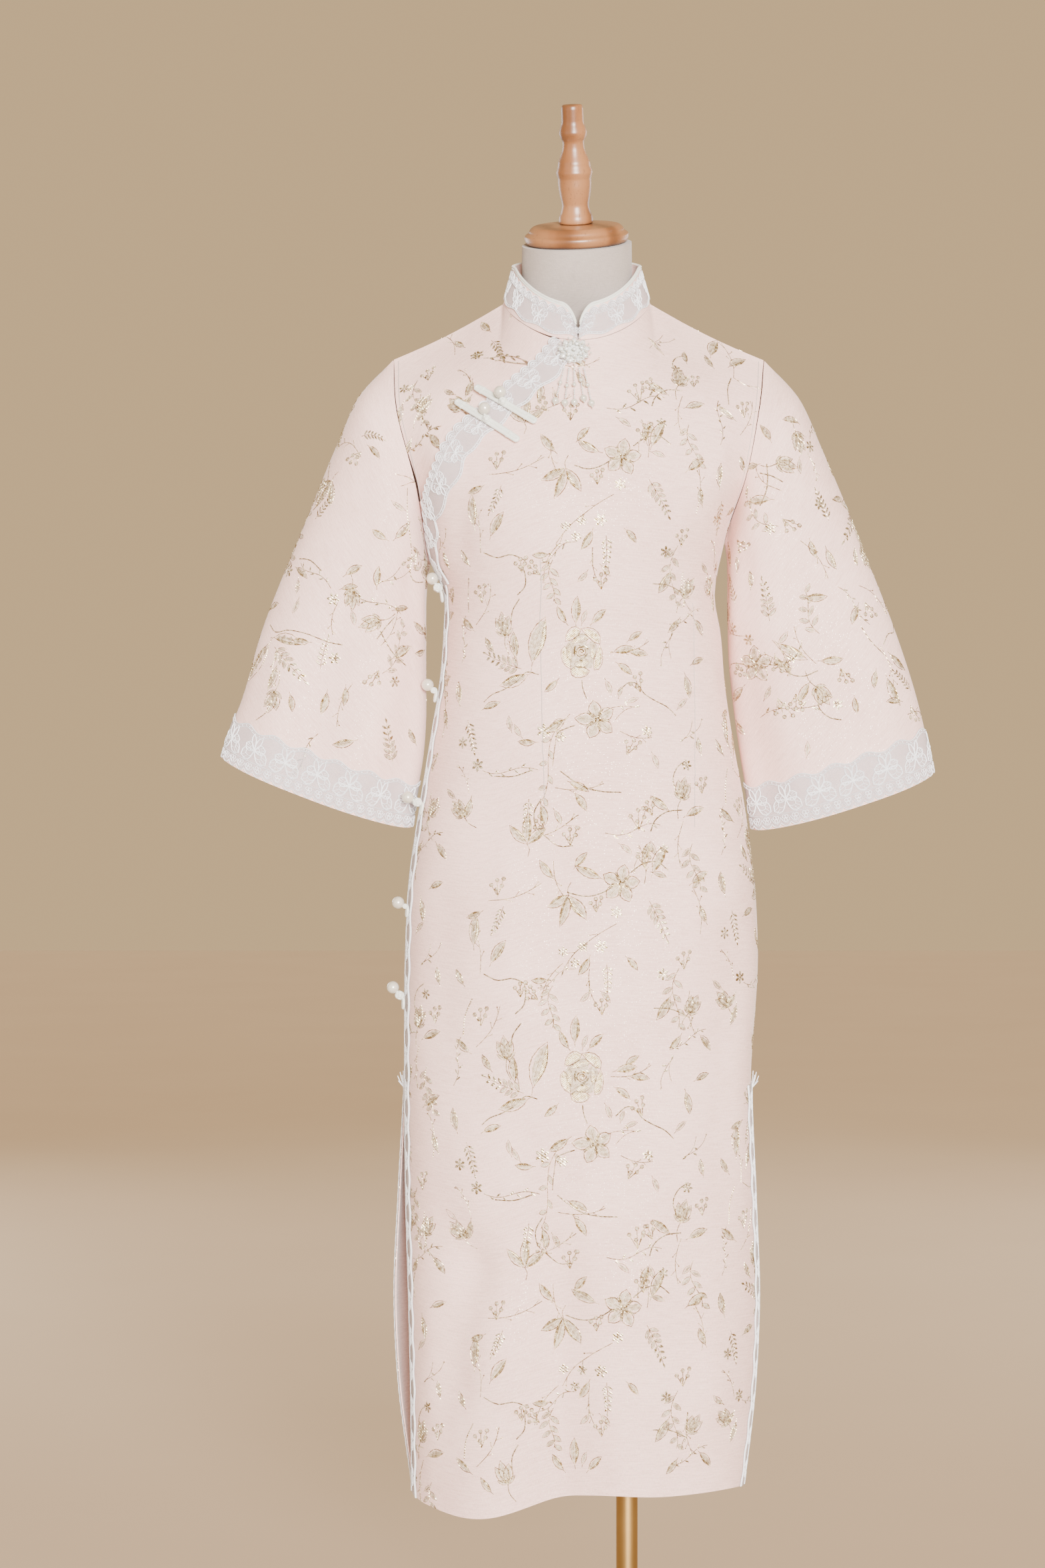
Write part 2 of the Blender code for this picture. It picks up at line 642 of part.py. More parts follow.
def collar_grid(lift, thickness, rows):
    """Outer and inner grids of the stand collar, open at the centre front."""
    front = [("front", column) for column in FRONT_COLUMNS if 0.5 <= column <= 1 - NECK_COLUMN + 1e-9]
    back = [("back", column) for column in reversed(BACK_COLUMNS)
            if NECK_COLUMN - 1e-9 <= column <= 1 - NECK_COLUMN - 1e-3]
    right = [("front", column) for column in FRONT_COLUMNS if NECK_COLUMN + 1e-3 <= column <= 0.5]
    base = [np.array(top_point(side, column)) for side, column in front + back + right]
    base[0] = base[0] + np.array((SEAM, 0, 0))
    base[-1] = base[-1] - np.array((SEAM, 0, 0))
    base = np.array(base) + np.array((0, 0, 0.0006))
    lengths = np.concatenate(([0], np.cumsum(np.linalg.norm(np.diff(base, axis=0), axis=1))))
    outer = []
    inner = []
    for k, point in enumerate(base):
        away = min(lengths[k], lengths[-1] - lengths[k])
        share = min(away / COLLAR_ROUND, 1.0)
        height = COLLAR_LEAST + (COLLAR_HEIGHT - COLLAR_LEAST) * math.sqrt(1 - (1 - share) ** 2)
        outward = np.array((point[0], point[1], 0.0))
        outward /= np.linalg.norm(outward)
        lean = COLLAR_LEAN if point[1] <= 0.01 else COLLAR_BACK_LEAN
        up = np.array((0, 0, 1.0)) - outward * lean
        up /= np.linalg.norm(up)
        across = outward + np.array((0, 0, lean))
        across /= np.linalg.norm(across)
        for store, offset in ((outer, lift), (inner, lift - thickness)):
            store.append([point + up * height * row + across * offset for row in rows])
    return np.array(outer).transpose(1, 0, 2), np.array(inner).transpose(1, 0, 2)


def build_collar():
    rows = [k / COLLAR_ROWS for k in range(COLLAR_ROWS + 1)]
    add_wall("collar", *collar_grid(0.0, CLOTH, rows), "cloth")
    lace_rows = [0.06 + 0.84 * share for share in rows]
    add_wall("collar_lace", *collar_grid(LACE_LIFT + LACE, LACE, lace_rows), "lace")


# Lace edgings

def lace_strip(name, side, columns, rows):
    """A lace strip that lies on a panel, from the panel's own points moved out."""
    outer = []
    inner = []
    nudge = -SEAM if side == "front" else SEAM
    for height in rows:
        outer_row = []
        inner_row = []
        for column in columns:
            shift = np.array((0, nudge if column in (0.0, 1.0) else 0, 0))
            point = surface(side, column, height) + shift
            direction = outward_at(side, column, height)
            outer_row.append(point + direction * (LACE_LIFT + LACE))
            inner_row.append(point + direction * LACE_LIFT)
        outer.append(outer_row)
        inner.append(inner_row)
    add_wall(name, outer, inner, "lace")


def walk(side, column, height, direction, distance, steps=6):
    """Moves over the surface from one place in a direction, and gives the column and height."""
    for _ in range(steps):
        step = 0.003
        high = min(column + step, 1.0)
        low = max(column - step, 0.0)
        across = (surface(side, high, height) - surface(side, low, height)) / (high - low)
        up = (surface(side, column, height) - surface(side, column, height - step)) / step
        basis = np.column_stack((across, up))
        change, *_ = np.linalg.lstsq(basis, direction * distance / steps, rcond=None)
        column = float(np.clip(column + change[0], 0.0, 1.0))
        height = float(np.clip(height + change[1], HEM, SHOULDER))
    return column, height


def build_placket_lace():
    """The lace over the placket, from the neckline to the armpit."""
    steps_down = 12
    places = []
    for k in range(steps_down + 1):
        share = (1 - k / steps_down) ** 1.15
        column = LACE_EDGE_COLUMN + (PLACKET_COLUMN - LACE_EDGE_COLUMN) * share
        places.append((column, min(placket_height(column), SHOULDER - 0.001)))
    edge_top = places[-1][1]
    edge_end = EDGE_LACE_TOP + SEAM
    places += [(LACE_EDGE_COLUMN, edge_top + (edge_end - edge_top) * share)
               for share in (0.25, 0.5, 0.75, 1.0)]
    path = np.array([surface("front", *place) for place in places])
    tangents = np.gradient(path, axis=0)
    tangents /= np.linalg.norm(tangents, axis=1)[:, None]
    for _ in range(3):
        tangents[1:-1] = (tangents[:-2] + 2 * tangents[1:-1] + tangents[2:]) / 4
    outer = []
    inner = []
    for k, (column, height) in enumerate(places):
        beyond = 0.0055 * min(max((column - 0.03) / 0.05, 0.0), 1.0)
        normal = outward_at("front", column, height)
        inward = np.cross(normal, tangents[k])
        inward /= np.linalg.norm(inward)
        if k == len(places) - 1:
            inward = np.array((0.2, -1.0, 0.0)) / math.hypot(0.2, 1.0)
        outer_row = []
        inner_row = []
        for reach in (-beyond, LACE_WIDTH * 0.28, LACE_WIDTH * 0.56, LACE_WIDTH - beyond):
            place = walk("front", column, height, inward, reach)
            if k == len(places) - 1:
                place = (place[0], height)
            point = surface("front", *place)
            direction = outward_at("front", *place)
            outer_row.append(point + direction * (2 * LACE_LIFT + LACE))
            inner_row.append(point + direction * 2 * LACE_LIFT)
        outer.append(outer_row)
        inner.append(inner_row)
    add_wall("placket_lace", outer, inner, "lace")


def build_edge_laces():
    slit_rows = [height for height in LOWER_ROWS if height <= SLIT_TOP]
    left_columns = [1 - column for column in LACE_COLUMNS]
    edge_rows = [height for height in LOWER_ROWS if height <= EDGE_LACE_TOP]
    lace_strip("right_edge_lace", "front", LACE_COLUMNS, edge_rows)
    lace_strip("left_slit_lace_front", "front", left_columns, slit_rows)
    lace_strip("right_slit_lace_back", "back", LACE_COLUMNS, slit_rows)
    lace_strip("left_slit_lace_back", "back", left_columns, slit_rows)


# Fastenings and brooch

def above(x, z, lift):
    """Point a given height above the front panel at a place seen from the front."""
    place = front_place(x, z)
    return surface("front", *place) + outward_at("front", *place) * lift


LACE_TOP = 2 * LACE_LIFT + LACE


def piece_tree(piece, shift=Vector((0, 0, 0))):
    """Points and search tree of a piece, moved by a shift."""
    points = [vertex.co + shift for vertex in piece.data.vertices]
    return points, BVHTree.FromPolygons(points, [face.vertices[:] for face in piece.data.polygons])


def clearance(pieces, carriers, shift):
    """Smallest gap between shifted pieces and what carries them, or 0 where they touch."""
    least = SEAT_REACH
    for piece in pieces:
        points, tree = piece_tree(piece, shift)
        middle = sum(points, Vector((0, 0, 0))) / len(points)
        size = max((point - middle).length for point in points) + SEAT_REACH
        for carrier_points, carrier_tree in carriers:
            if tree.overlap(carrier_tree):
                return 0.0
            near = [tree.find_nearest(point)[3] for point in carrier_points
                    if (point - middle).length < size]
            near += [carrier_tree.find_nearest(point)[3] for point in points]
            least = min([least] + near)
    return least


def seat(pieces, carrier_names, inward):
    """Moves pieces inwards until they lie a seam's gap from what carries them."""
    carriers = [piece_tree(bpy.data.objects[name]) for name in carrier_names]
    inward = Vector(inward).normalized()
    low, high = -SEAT_REACH / 2, SEAT_REACH
    for _ in range(14):
        middle = (low + high) / 2
        if clearance(pieces, carriers, inward * middle) > SEAM:
            low = middle
        else:
            high = middle
    for piece in pieces:
        piece.data.transform(Matrix.Translation(inward * low))


def build_frogs():
    for number, (start_x, start_z, end_x, end_z, pearl_x, pearl_z) in enumerate(FROGS, 1):
        steps = 8
        path = []
        radii = []
        for k in range(steps + 1):
            share = k / steps
            lift = LACE_TOP + SEAM + CORD_RADIUS
            path.append(above(start_x + (end_x - start_x) * share,
                              start_z + (end_z - start_z) * share, lift))
            radii.append(0.0034 if 0 < k < steps else 0.0026)
        cord = add_tube(f"frog_cord_{number}", path, radii, "satin_cord", flat=CHEST_FACING)
        seat([cord], ["placket_lace", "front_panel", "front_underlap"], -np.array(CHEST_FACING))
        top = LACE_TOP + SEAM + 2 * CORD_RADIUS
        centre = above(pearl_x, pearl_z, top + PEARL_RADIUS)
        pearl = add_ball(f"frog_pearl_{number}", centre, PEARL_RADIUS, "pearl")
        seat([pearl], [cord.name, "placket_lace"], -np.array(CHEST_FACING))


def build_side_buttons():
    for number, (column, base_z, pearl_x, pearl_z) in enumerate(SIDE_BUTTONS, 1):
        out = outward_at("front", column, base_z)
        lift = LACE_LIFT + LACE + SEAM + CORD_RADIUS * 1.2
        foot = surface("front", column, base_z) + out * lift
        tail = surface("front", column, base_z - CORD_TAIL) + out * lift
        pearl = np.array((pearl_x, foot[1] - 0.0015, pearl_z))
        toward = pearl - foot
        reach = np.linalg.norm(toward)
        toward /= reach
        neck = pearl - toward * (PEARL_RADIUS + SEAM)
        path = [tail, foot, neck]
        radii = [0.0020, CORD_RADIUS, 0.0016]
        if reach > PEARL_RADIUS + KNOT_ROOM:
            path.insert(2, neck - toward * 0.0032)
            radii.insert(2, 0.0030)
        cord = add_tube(f"side_cord_{number}", path, radii, "satin_cord")
        ball = add_ball(f"side_pearl_{number}", pearl, PEARL_RADIUS, "pearl")
        seat([cord, ball], ["right_edge_lace", "front_panel", "sleeve_right", "cuff_lace_right"], -out)


def build_brooch():
    x, z = BROOCH_CENTRE
    centre = above(x, z, LACE_TOP + 0.0052)
    petals = 7
    sides = petals * 4
    points = [(0, 0, 0.0042), (0, 0, -0.0022)]
    for k in range(sides):
        turn = 2 * math.pi * k / sides
        radius = 0.0168 + 0.0018 * math.cos(petals * turn)
        for share, height in ((0.55, 0.0036), (1.0, 0.0010), (0.94, -0.0022)):
            points.append((radius * share * math.cos(turn), radius * share * 0.86 * math.sin(turn), height))
    faces = []
    for k in range(sides):
        here, after = 2 + 3 * k, 2 + 3 * ((k + 1) % sides)
        faces += [(0, here, after), (here, here + 1, after + 1, after),
                  (here + 1, here + 2, after + 2, after + 1), (1, after + 2, here + 2)]
    rosette = add_object("brooch_rosette", points, faces, "crystal")
    facing = Vector(CHEST_FACING).to_track_quat("Z", "Y").to_matrix().to_4x4()
    rosette.data.transform(Matrix.Translation(centre) @ facing)
    carriers = ["placket_lace", "front_panel", "collar", "collar_lace"]
    seat([rosette], carriers, -np.array(CHEST_FACING))

    head_z = z - 0.0195
    lift = LACE_TOP + 0.0030
    head = [above(TASSEL_TOPS[0] - 0.001, head_z, lift), above(TASSEL_TOPS[-1] + 0.001, head_z, lift)]
    tassel = add_tube("brooch_tassel", head, (0.0018, 0.0018), "crystal", sides=6)
    pieces = [tassel]
    for number, (top_x, (pearl_x, pearl_z)) in enumerate(zip(TASSEL_TOPS, TASSEL_PEARLS)):
        start = above(top_x, head_z, lift)
        end = above(pearl_x, pearl_z, lift + 0.0012)
        strand = add_tube(f"strand_{number}", (start, (start + end) / 2 + np.array((0, -0.0006, 0)), end),
                          (0.0009,) * 3, "crystal", sides=4)
        bead = add_ball(f"strand_bead_{number}", end - np.array((0, 0, 0.0024)), 0.0034, "crystal", 8, 4)
        pieces += [strand, bead]
        for cutter in (strand, bead):
            cutter.hide_render = True
            cutter.display_type = "WIRE"
            joined = tassel.modifiers.new(cutter.name, "BOOLEAN")
            joined.operation = "UNION"
            joined.object = cutter
    seat(pieces, carriers + ["brooch_rosette"], -np.array(CHEST_FACING))


# Dress form

def torso_ring(height, half_width, front, back):
    ring = []
    for k in range(TORSO_SIDES):
        turn = 2 * math.pi * k / TORSO_SIDES
        deep = front if math.sin(turn) < 0 else back
        ring.append(Vector((half_width * math.cos(turn), deep * math.sin(turn), height)))
    return ring


def head_place():
    """Where the neck's top face lies: tilted forwards and a little to one side."""
    tilt = Matrix.Rotation(HEAD_TILT, 4, "X") @ Matrix.Rotation(HEAD_ROLL, 4, "Y")
    return Matrix.Translation((0.0, -0.006, NECK_TOP)) @ tilt


def build_form():
    rings = [torso_ring(*row) for row in TORSO]
    top = head_place()
    rings.append([top @ Vector((NECK_RADIUS * math.cos(2 * math.pi * k / TORSO_SIDES),
                                NECK_RADIUS * math.sin(2 * math.pi * k / TORSO_SIDES), 0))
                  for k in range(TORSO_SIDES)])
    points = [point for ring in rings for point in ring]
    faces = []
    for i in range(len(rings) - 1):
        for k in range(TORSO_SIDES):
            a = i * TORSO_SIDES + k
            b = i * TORSO_SIDES + (k + 1) % TORSO_SIDES
            faces.append((a, b, b + TORSO_SIDES, a + TORSO_SIDES))
    faces.append(list(range(TORSO_SIDES)))
    faces.append(list(range((len(rings) - 1) * TORSO_SIDES, len(rings) * TORSO_SIDES)))
    add_object("form_torso", points, faces, "linen")

    cap_place = top @ Matrix.Translation((0, 0, SEAM))
    add_turned("form_cap", CAP_PROFILE, 28, "wood", cap_place)
    finial_place = cap_place @ Matrix.Translation((0, 0, CAP_PROFILE[-1][1] + SEAM))
    add_turned("form_finial", FINIAL_PROFILE, 16, "wood", finial_place)
    stand = Matrix.Translation((POLE_X, 0, 0))
    pole = ((0, POLE_FOOT), (POLE_RADIUS, POLE_FOOT), (POLE_RADIUS, POLE_HEAD), (0, POLE_HEAD))
    add_turned("form_pole", pole, 20, "brass", stand)
    add_turned("form_socket", SOCKET_PROFILE, 20, "brass", stand @ Matrix.Translation((0, 0, SOCKET_FOOT)))
    add_turned("form_base", BASE_PROFILE, 40, "brass", stand)


def main():
    for found in list(bpy.data.objects):
        bpy.data.objects.remove(found, do_unlink=True)
    build_form()
    build_panels()
    build_sleeves()
    build_collar()
    build_edge_laces()
    build_placket_lace()
    build_frogs()
    build_side_buttons()
    build_brooch()


main()
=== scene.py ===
"""A midi dress cut between a cheongsam and an ao dai, on a limbless dress form, for Blender 4.5.

Metres, +Z up. The front faces -Y, so the wearer's right side, where the dress fastens, lies at -X.
Cloth follows one body surface: column runs 0 to 1 from the right side to the left side, and height is
a nominal height up the body.
"""

import math

import bpy
import numpy as np
from mathutils import Matrix, Vector


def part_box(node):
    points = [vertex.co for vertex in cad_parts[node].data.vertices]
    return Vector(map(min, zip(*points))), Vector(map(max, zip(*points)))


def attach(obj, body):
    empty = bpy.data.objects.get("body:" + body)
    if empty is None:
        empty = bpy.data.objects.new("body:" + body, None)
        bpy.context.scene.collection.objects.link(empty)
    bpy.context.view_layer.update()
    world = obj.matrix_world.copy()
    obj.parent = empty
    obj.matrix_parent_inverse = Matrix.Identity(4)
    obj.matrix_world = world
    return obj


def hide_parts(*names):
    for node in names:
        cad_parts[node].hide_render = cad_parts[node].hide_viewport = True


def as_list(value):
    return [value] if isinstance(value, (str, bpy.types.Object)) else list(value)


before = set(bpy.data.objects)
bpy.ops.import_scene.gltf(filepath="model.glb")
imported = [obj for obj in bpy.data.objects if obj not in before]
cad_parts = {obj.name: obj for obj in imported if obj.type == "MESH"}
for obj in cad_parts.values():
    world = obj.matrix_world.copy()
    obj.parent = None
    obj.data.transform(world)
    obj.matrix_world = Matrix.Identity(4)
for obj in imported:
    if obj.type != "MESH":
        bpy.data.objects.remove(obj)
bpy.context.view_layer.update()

bl_info = {
    "name": "Lace-trimmed midi dress",
    "version": (1, 0, 0),
    "blender": (4, 5, 0),
    "location": "View3D > Sidebar > Dress",
    "description": "Builds the cloth, lace, fastenings and stand of a midi dress around its solid model",
    "category": "Object",
}

# Cloth and seams
CLOTH = 0.0011
SEAM = 0.0003
LACE = 0.0006
LACE_LIFT = 0.0006
LACE_WIDTH = 0.036
SQUARENESS = 2.3

# Heights up the dress
HEM = 0.245
SLIT_TOP = 0.644
ARMPIT = 1.172
SHOULDER = 1.390

# Lower body: height, half widths (right edge of front, right edge of back, left), depths, slit gap
BODY = (
    (0.245, 0.163, 0.164, 0.165, 0.084, 0.098, 0.007),
    (0.345, 0.164, 0.177, 0.176, 0.089, 0.106, 0.006),
    (0.430, 0.166, 0.181, 0.180, 0.093, 0.111, 0.004),
    (0.530, 0.169, 0.177, 0.177, 0.098, 0.116, 0.002),
    (0.644, 0.170, 0.171, 0.173, 0.102, 0.119, 0.0),
    (0.777, 0.169, 0.169, 0.180, 0.104, 0.119, 0.0),
    (0.840, 0.166, 0.166, 0.177, 0.103, 0.113, 0.0),
    (0.918, 0.155, 0.155, 0.167, 0.100, 0.101, 0.0),
    (0.992, 0.143, 0.143, 0.154, 0.097, 0.090, 0.0),
    (1.041, 0.135, 0.135, 0.147, 0.096, 0.085, 0.0),
    (1.090, 0.131, 0.131, 0.143, 0.100, 0.083, 0.0),
    (1.131, 0.131, 0.131, 0.137, 0.109, 0.085, 0.0),
    (1.172, 0.1448, 0.1448, 0.1467, 0.117, 0.089, 0.0),
)
ARMPIT_RIGHT = 1.164
ARMPIT_LEFT = 1.182

# Yoke rows above the arms: nominal height, then (x, y, z) at the right armhole, the left armhole,
# the middle of the shoulder, below the neck point and (y, z) on the centre line
YOKE = {
    "front": (
        (1.236, (-0.1585, -0.050, 1.235), (0.1645, -0.050, 1.241),
         (0.131, -0.088, 1.236), (0.080, -0.111, 1.236), (-0.1195, 1.236)),
        (1.310, (-0.1765, -0.042, 1.305), (0.1780, -0.042, 1.309),
         (0.136, -0.064, 1.314), (0.080, -0.082, 1.320), (-0.1000, 1.312)),
    ),
    "back": (
        (1.236, (-0.1530, 0.046, 1.235), (0.1590, 0.046, 1.241),
         (0.128, 0.078, 1.236), (0.080, 0.091, 1.236), (0.0950, 1.236)),
        (1.310, (-0.1715, 0.042, 1.305), (0.1730, 0.042, 1.309),
         (0.134, 0.066, 1.316), (0.080, 0.081, 1.322), (0.0920, 1.322)),
    ),
}
SHOULDER_TIP = {"right": (-0.182, 0.0, 1.3636), "left": (0.186, 0.0, 1.3630)}
SHOULDER_COLUMN = 0.16
NECK_COLUMN = 0.32
NECK_HALF = 0.073
NECK_SIDE = 1.419
NECK_FRONT = (0.075, -0.047)
NECK_BACK = (0.058, 0.016)

# Hem line: column, front height change, back height change
HEM_LINE = (
    (0.00, -0.003, 0.000), (0.16, -0.010, -0.004), (0.34, -0.014, 0.002), (0.50, 0.008, 0.004),
    (0.66, 0.006, -0.003), (0.84, 0.006, 0.003), (1.00, 0.002, 0.000),
)

# Soft folds, then finer creases: start x, start z, end x, end z, half width, height (minus is a trough)
FOLDS = {
    "front": (
        (-0.113, 1.205, -0.115, 1.165, 0.012, -0.003),
        (-0.129, 0.820, -0.133, 0.694, 0.020, -0.003),
        (-0.025, 0.872, -0.022, 0.733, 0.025, -0.004),
        (0.150, 0.797, 0.148, 0.707, 0.018, -0.003),
        (-0.127, 0.520, -0.102, 0.472, 0.020, -0.004),
        (-0.102, 0.475, -0.118, 0.359, 0.022, -0.006),
        (0.140, 0.694, 0.140, 0.540, 0.020, -0.003),
        (0.128, 0.436, 0.130, 0.346, 0.026, 0.005),
        (-0.085, 0.400, -0.088, 0.230, 0.040, 0.009),
        (-0.018, 0.480, -0.020, 0.230, 0.026, -0.008),
        (0.046, 0.440, 0.052, 0.230, 0.034, 0.007),
    ),
    "back": (
        (-0.060, 0.740, -0.072, 0.230, 0.030, -0.007),
        (0.050, 0.690, 0.064, 0.230, 0.034, -0.007),
        (-0.004, 0.520, -0.006, 0.230, 0.032, 0.007),
        (0.120, 0.500, 0.122, 0.230, 0.030, 0.005),
        (-0.070, 1.045, 0.070, 1.052, 0.016, -0.004),
        (-0.055, 1.094, 0.060, 1.088, 0.013, -0.003),
        (-0.095, 1.235, -0.066, 1.150, 0.020, -0.003),
        (0.095, 1.235, 0.066, 1.150, 0.020, -0.003),
    ),
}
CREASES = {
    "front": (
        (-0.120, 1.150, -0.075, 1.120, 0.008, 0.0012), (-0.124, 1.100, -0.085, 1.085, 0.007, -0.0010),
        (-0.122, 1.060, -0.090, 1.040, 0.007, -0.0011), (-0.126, 1.020, -0.085, 1.012, 0.008, 0.0010),
        (0.128, 1.145, 0.090, 1.118, 0.008, 0.0012), (0.132, 1.095, 0.098, 1.078, 0.007, -0.0010),
        (0.134, 1.050, 0.100, 1.036, 0.007, 0.0010), (0.140, 0.985, 0.104, 0.965, 0.009, -0.0010),
        (-0.136, 0.960, -0.095, 0.935, 0.009, -0.0010), (-0.146, 0.900, -0.100, 0.870, 0.010, 0.0012),
        (0.155, 0.905, 0.105, 0.868, 0.010, 0.0012), (0.030, 0.905, 0.034, 0.760, 0.014, -0.0012),
        (-0.070, 0.860, -0.066, 0.700, 0.013, 0.0014), (0.078, 0.830, 0.082, 0.690, 0.013, -0.0014),
        (-0.140, 1.262, -0.112, 1.205, 0.009, 0.0014), (0.142, 1.262, 0.112, 1.205, 0.009, 0.0014),
        (0.150, 1.225, 0.120, 1.165, 0.008, -0.0014), (-0.052, 0.600, -0.050, 0.420, 0.014, -0.0015),
        (0.094, 0.560, 0.098, 0.400, 0.014, -0.0015), (0.012, 0.540, 0.014, 0.330, 0.013, 0.0014),
        (-0.146, 0.420, -0.140, 0.270, 0.012, 0.0014),
    ),
    "back": (
        (-0.122, 1.120, -0.070, 1.098, 0.008, 0.0012), (0.128, 1.118, 0.074, 1.098, 0.008, 0.0012),
        (-0.120, 1.066, -0.062, 1.070, 0.008, 0.0012), (0.128, 1.062, 0.066, 1.068, 0.008, 0.0012),
        (-0.118, 1.018, -0.060, 1.012, 0.009, -0.0012), (0.126, 1.014, 0.060, 1.012, 0.009, -0.0012),
        (-0.030, 1.205, -0.044, 1.120, 0.010, -0.0012), (0.034, 1.205, 0.046, 1.120, 0.010, -0.0012),
        (-0.096, 0.880, -0.088, 0.700, 0.014, -0.0014), (0.098, 0.880, 0.090, 0.700, 0.014, -0.0014),
        (-0.118, 0.560, -0.126, 0.300, 0.014, 0.0016), (0.020, 0.640, 0.024, 0.300, 0.014, -0.0014),
        (-0.140, 1.290, -0.105, 1.250, 0.010, 0.0012), (0.140, 1.290, 0.105, 1.250, 0.010, 0.0012),
    ),
}
# Waist darts of the front and back: x and height from the lower end to the upper end
DARTS = {
    "front": (((-0.032, 0.905), (-0.036, 1.032), (-0.036, 1.155)),
              ((0.112, 0.898), (0.114, 0.985), (0.112, 1.115))),
    "back": (((-0.068, 0.860), (-0.062, 1.000), (-0.066, 1.150)),
             ((0.068, 0.860), (0.062, 1.000), (0.066, 1.150))),
}
DART_WIDTH = 0.0016
DART_DEPTH = 0.0009
CREASE_FADE = 0.85
SIDE_PUSH = 0.35

# Placket line over the wearer's right chest, from the neckline to the armhole: x, height
PLACKET = (
    (-0.0207, 1.374), (-0.038, 1.352), (-0.067, 1.328), (-0.102, 1.297),
    (-0.118, 1.283), (-0.129, 1.267), (-0.138, 1.246), (-0.147, 1.226), (-0.160, 1.213),
)
PLACKET_COLUMN = 0.467
UNDERLAP_END = 0.485
OVERLAP = 0.034
UNDERLAP_DROP = 0.0028
LACE_EDGE_COLUMN = 0.026
EDGE_LACE_TOP = 1.138
LACE_COLUMNS_END = 0.09

# Sleeves: outer x and z, inner x and z, half depth, sag of the front
SLEEVES = {
    "right": (
        (-0.2170, 1.3260, -0.1485, 1.1440, 0.062, 0.000),
        (-0.2404, 1.2746, -0.1500, 1.1200, 0.060, 0.001),
        (-0.2636, 1.2181, -0.1500, 1.0880, 0.056, 0.002),
        (-0.2882, 1.1590, -0.1500, 1.0480, 0.052, 0.004),
        (-0.3127, 1.0960, -0.1500, 1.0050, 0.049, 0.006),
        (-0.3340, 1.0240, -0.1545, 0.9560, 0.046, 0.008),
        (-0.3450, 0.9960, -0.1595, 0.9300, 0.045, 0.009),
        (-0.3532, 0.9685, -0.1640, 0.8990, 0.044, 0.010),
    ),
    "left": (
        (0.2200, 1.3260, 0.1500, 1.1600, 0.062, 0.000),
        (0.2444, 1.2733, 0.1505, 1.1340, 0.060, 0.001),
        (0.2683, 1.2175, 0.1505, 1.1020, 0.056, 0.002),
        (0.2915, 1.1590, 0.1515, 1.0620, 0.052, 0.004),
        (0.3154, 1.0980, 0.1560, 1.0180, 0.049, 0.006),
        (0.3393, 1.0240, 0.1640, 0.9620, 0.046, 0.008),
        (0.3480, 0.9880, 0.1690, 0.9320, 0.045, 0.009),
        (0.3552, 0.9532, 0.1745, 0.8968, 0.044, 0.010),
    ),
}

# Stand collar
COLLAR_ROWS = 17
COLLAR_HEIGHT = 0.038
COLLAR_ROUND = 0.019
COLLAR_LEAN = 0.34
COLLAR_BACK_LEAN = 0.14
COLLAR_LEAST = 0.003

# Fastenings
PEARL_RADIUS = 0.0060
CORD_RADIUS = 0.0024
CHEST_FACING = (0.0, -0.95, 0.31)
SIDE_BUTTONS = (
    # base column, base height, pearl x, pearl z
    (0.05, 1.131, -0.1430, 1.1440),
    (0.05, 1.031, -0.1480, 1.0390),
    (0.09, 0.920, -0.1680, 0.9280),
    (0.06, 0.819, -0.1785, 0.8240),
    (0.05, 0.728, -0.1830, 0.7400),
)
TASSEL_TOPS = (-0.0130, -0.0085, -0.0040, 0.0005, 0.0050)
TASSEL_PEARLS = (
    (-0.0215, 1.3105), (-0.0128, 1.3085), (-0.0040, 1.3090), (0.0045, 1.3130), (0.0118, 1.3080),
)

# Dress form: height, half width, front depth, back depth
TORSO = (
    (0.775, 0.150, 0.088, 0.100), (0.800, 0.158, 0.093, 0.106), (0.850, 0.155, 0.092, 0.103),
    (0.918, 0.146, 0.090, 0.092), (0.992, 0.134, 0.087, 0.080), (1.060, 0.124, 0.086, 0.073),
    (1.110, 0.122, 0.092, 0.074), (1.172, 0.133, 0.104, 0.080), (1.236, 0.146, 0.104, 0.084),
    (1.300, 0.158, 0.080, 0.076), (1.335, 0.158, 0.053, 0.052), (1.3600, 0.144, 0.034, 0.034),
    (1.3820, 0.112, 0.030, 0.030), (1.4021, 0.078, 0.034, 0.032), (1.420, 0.060, 0.045, 0.038),
    (1.440, 0.0555, 0.054, 0.044),
)
NECK_TOP = 1.478
NECK_SHIFT = -0.006
NECK_RADIUS = 0.0545
HEAD_TILT = math.radians(17)
HEAD_ROLL = math.radians(-2.3)
CAP_PROFILE = (
    # radius, height above the neck
    (0.0, 0.0), (0.046, 0.0), (0.0505, 0.002), (0.0520, 0.006), (0.0515, 0.0095), (0.0480, 0.0115),
    (0.0465, 0.0150), (0.0430, 0.0180), (0.0200, 0.0195), (0.0, 0.0195),
)
FINIAL_PROFILE = (
    # radius, height above the cap
    (0.0, 0.0), (0.0172, 0.0), (0.0170, 0.006), (0.0148, 0.011), (0.0130, 0.018), (0.0150, 0.027),
    (0.0164, 0.036), (0.0164, 0.044), (0.0172, 0.0465), (0.0182, 0.0500), (0.0162, 0.0560),
    (0.0158, 0.0600), (0.0132, 0.0660), (0.0108, 0.0730), (0.0104, 0.0800), (0.0128, 0.0840),
    (0.0140, 0.0885), (0.0126, 0.0930), (0.0108, 0.0980), (0.0108, 0.1120), (0.0096, 0.1155),
    (0.0, 0.1160),
)
POLE_X = 0.050
POLE_RADIUS = 0.0107
POLE_HEAD = 0.7747
BASE_RADIUS = 0.160
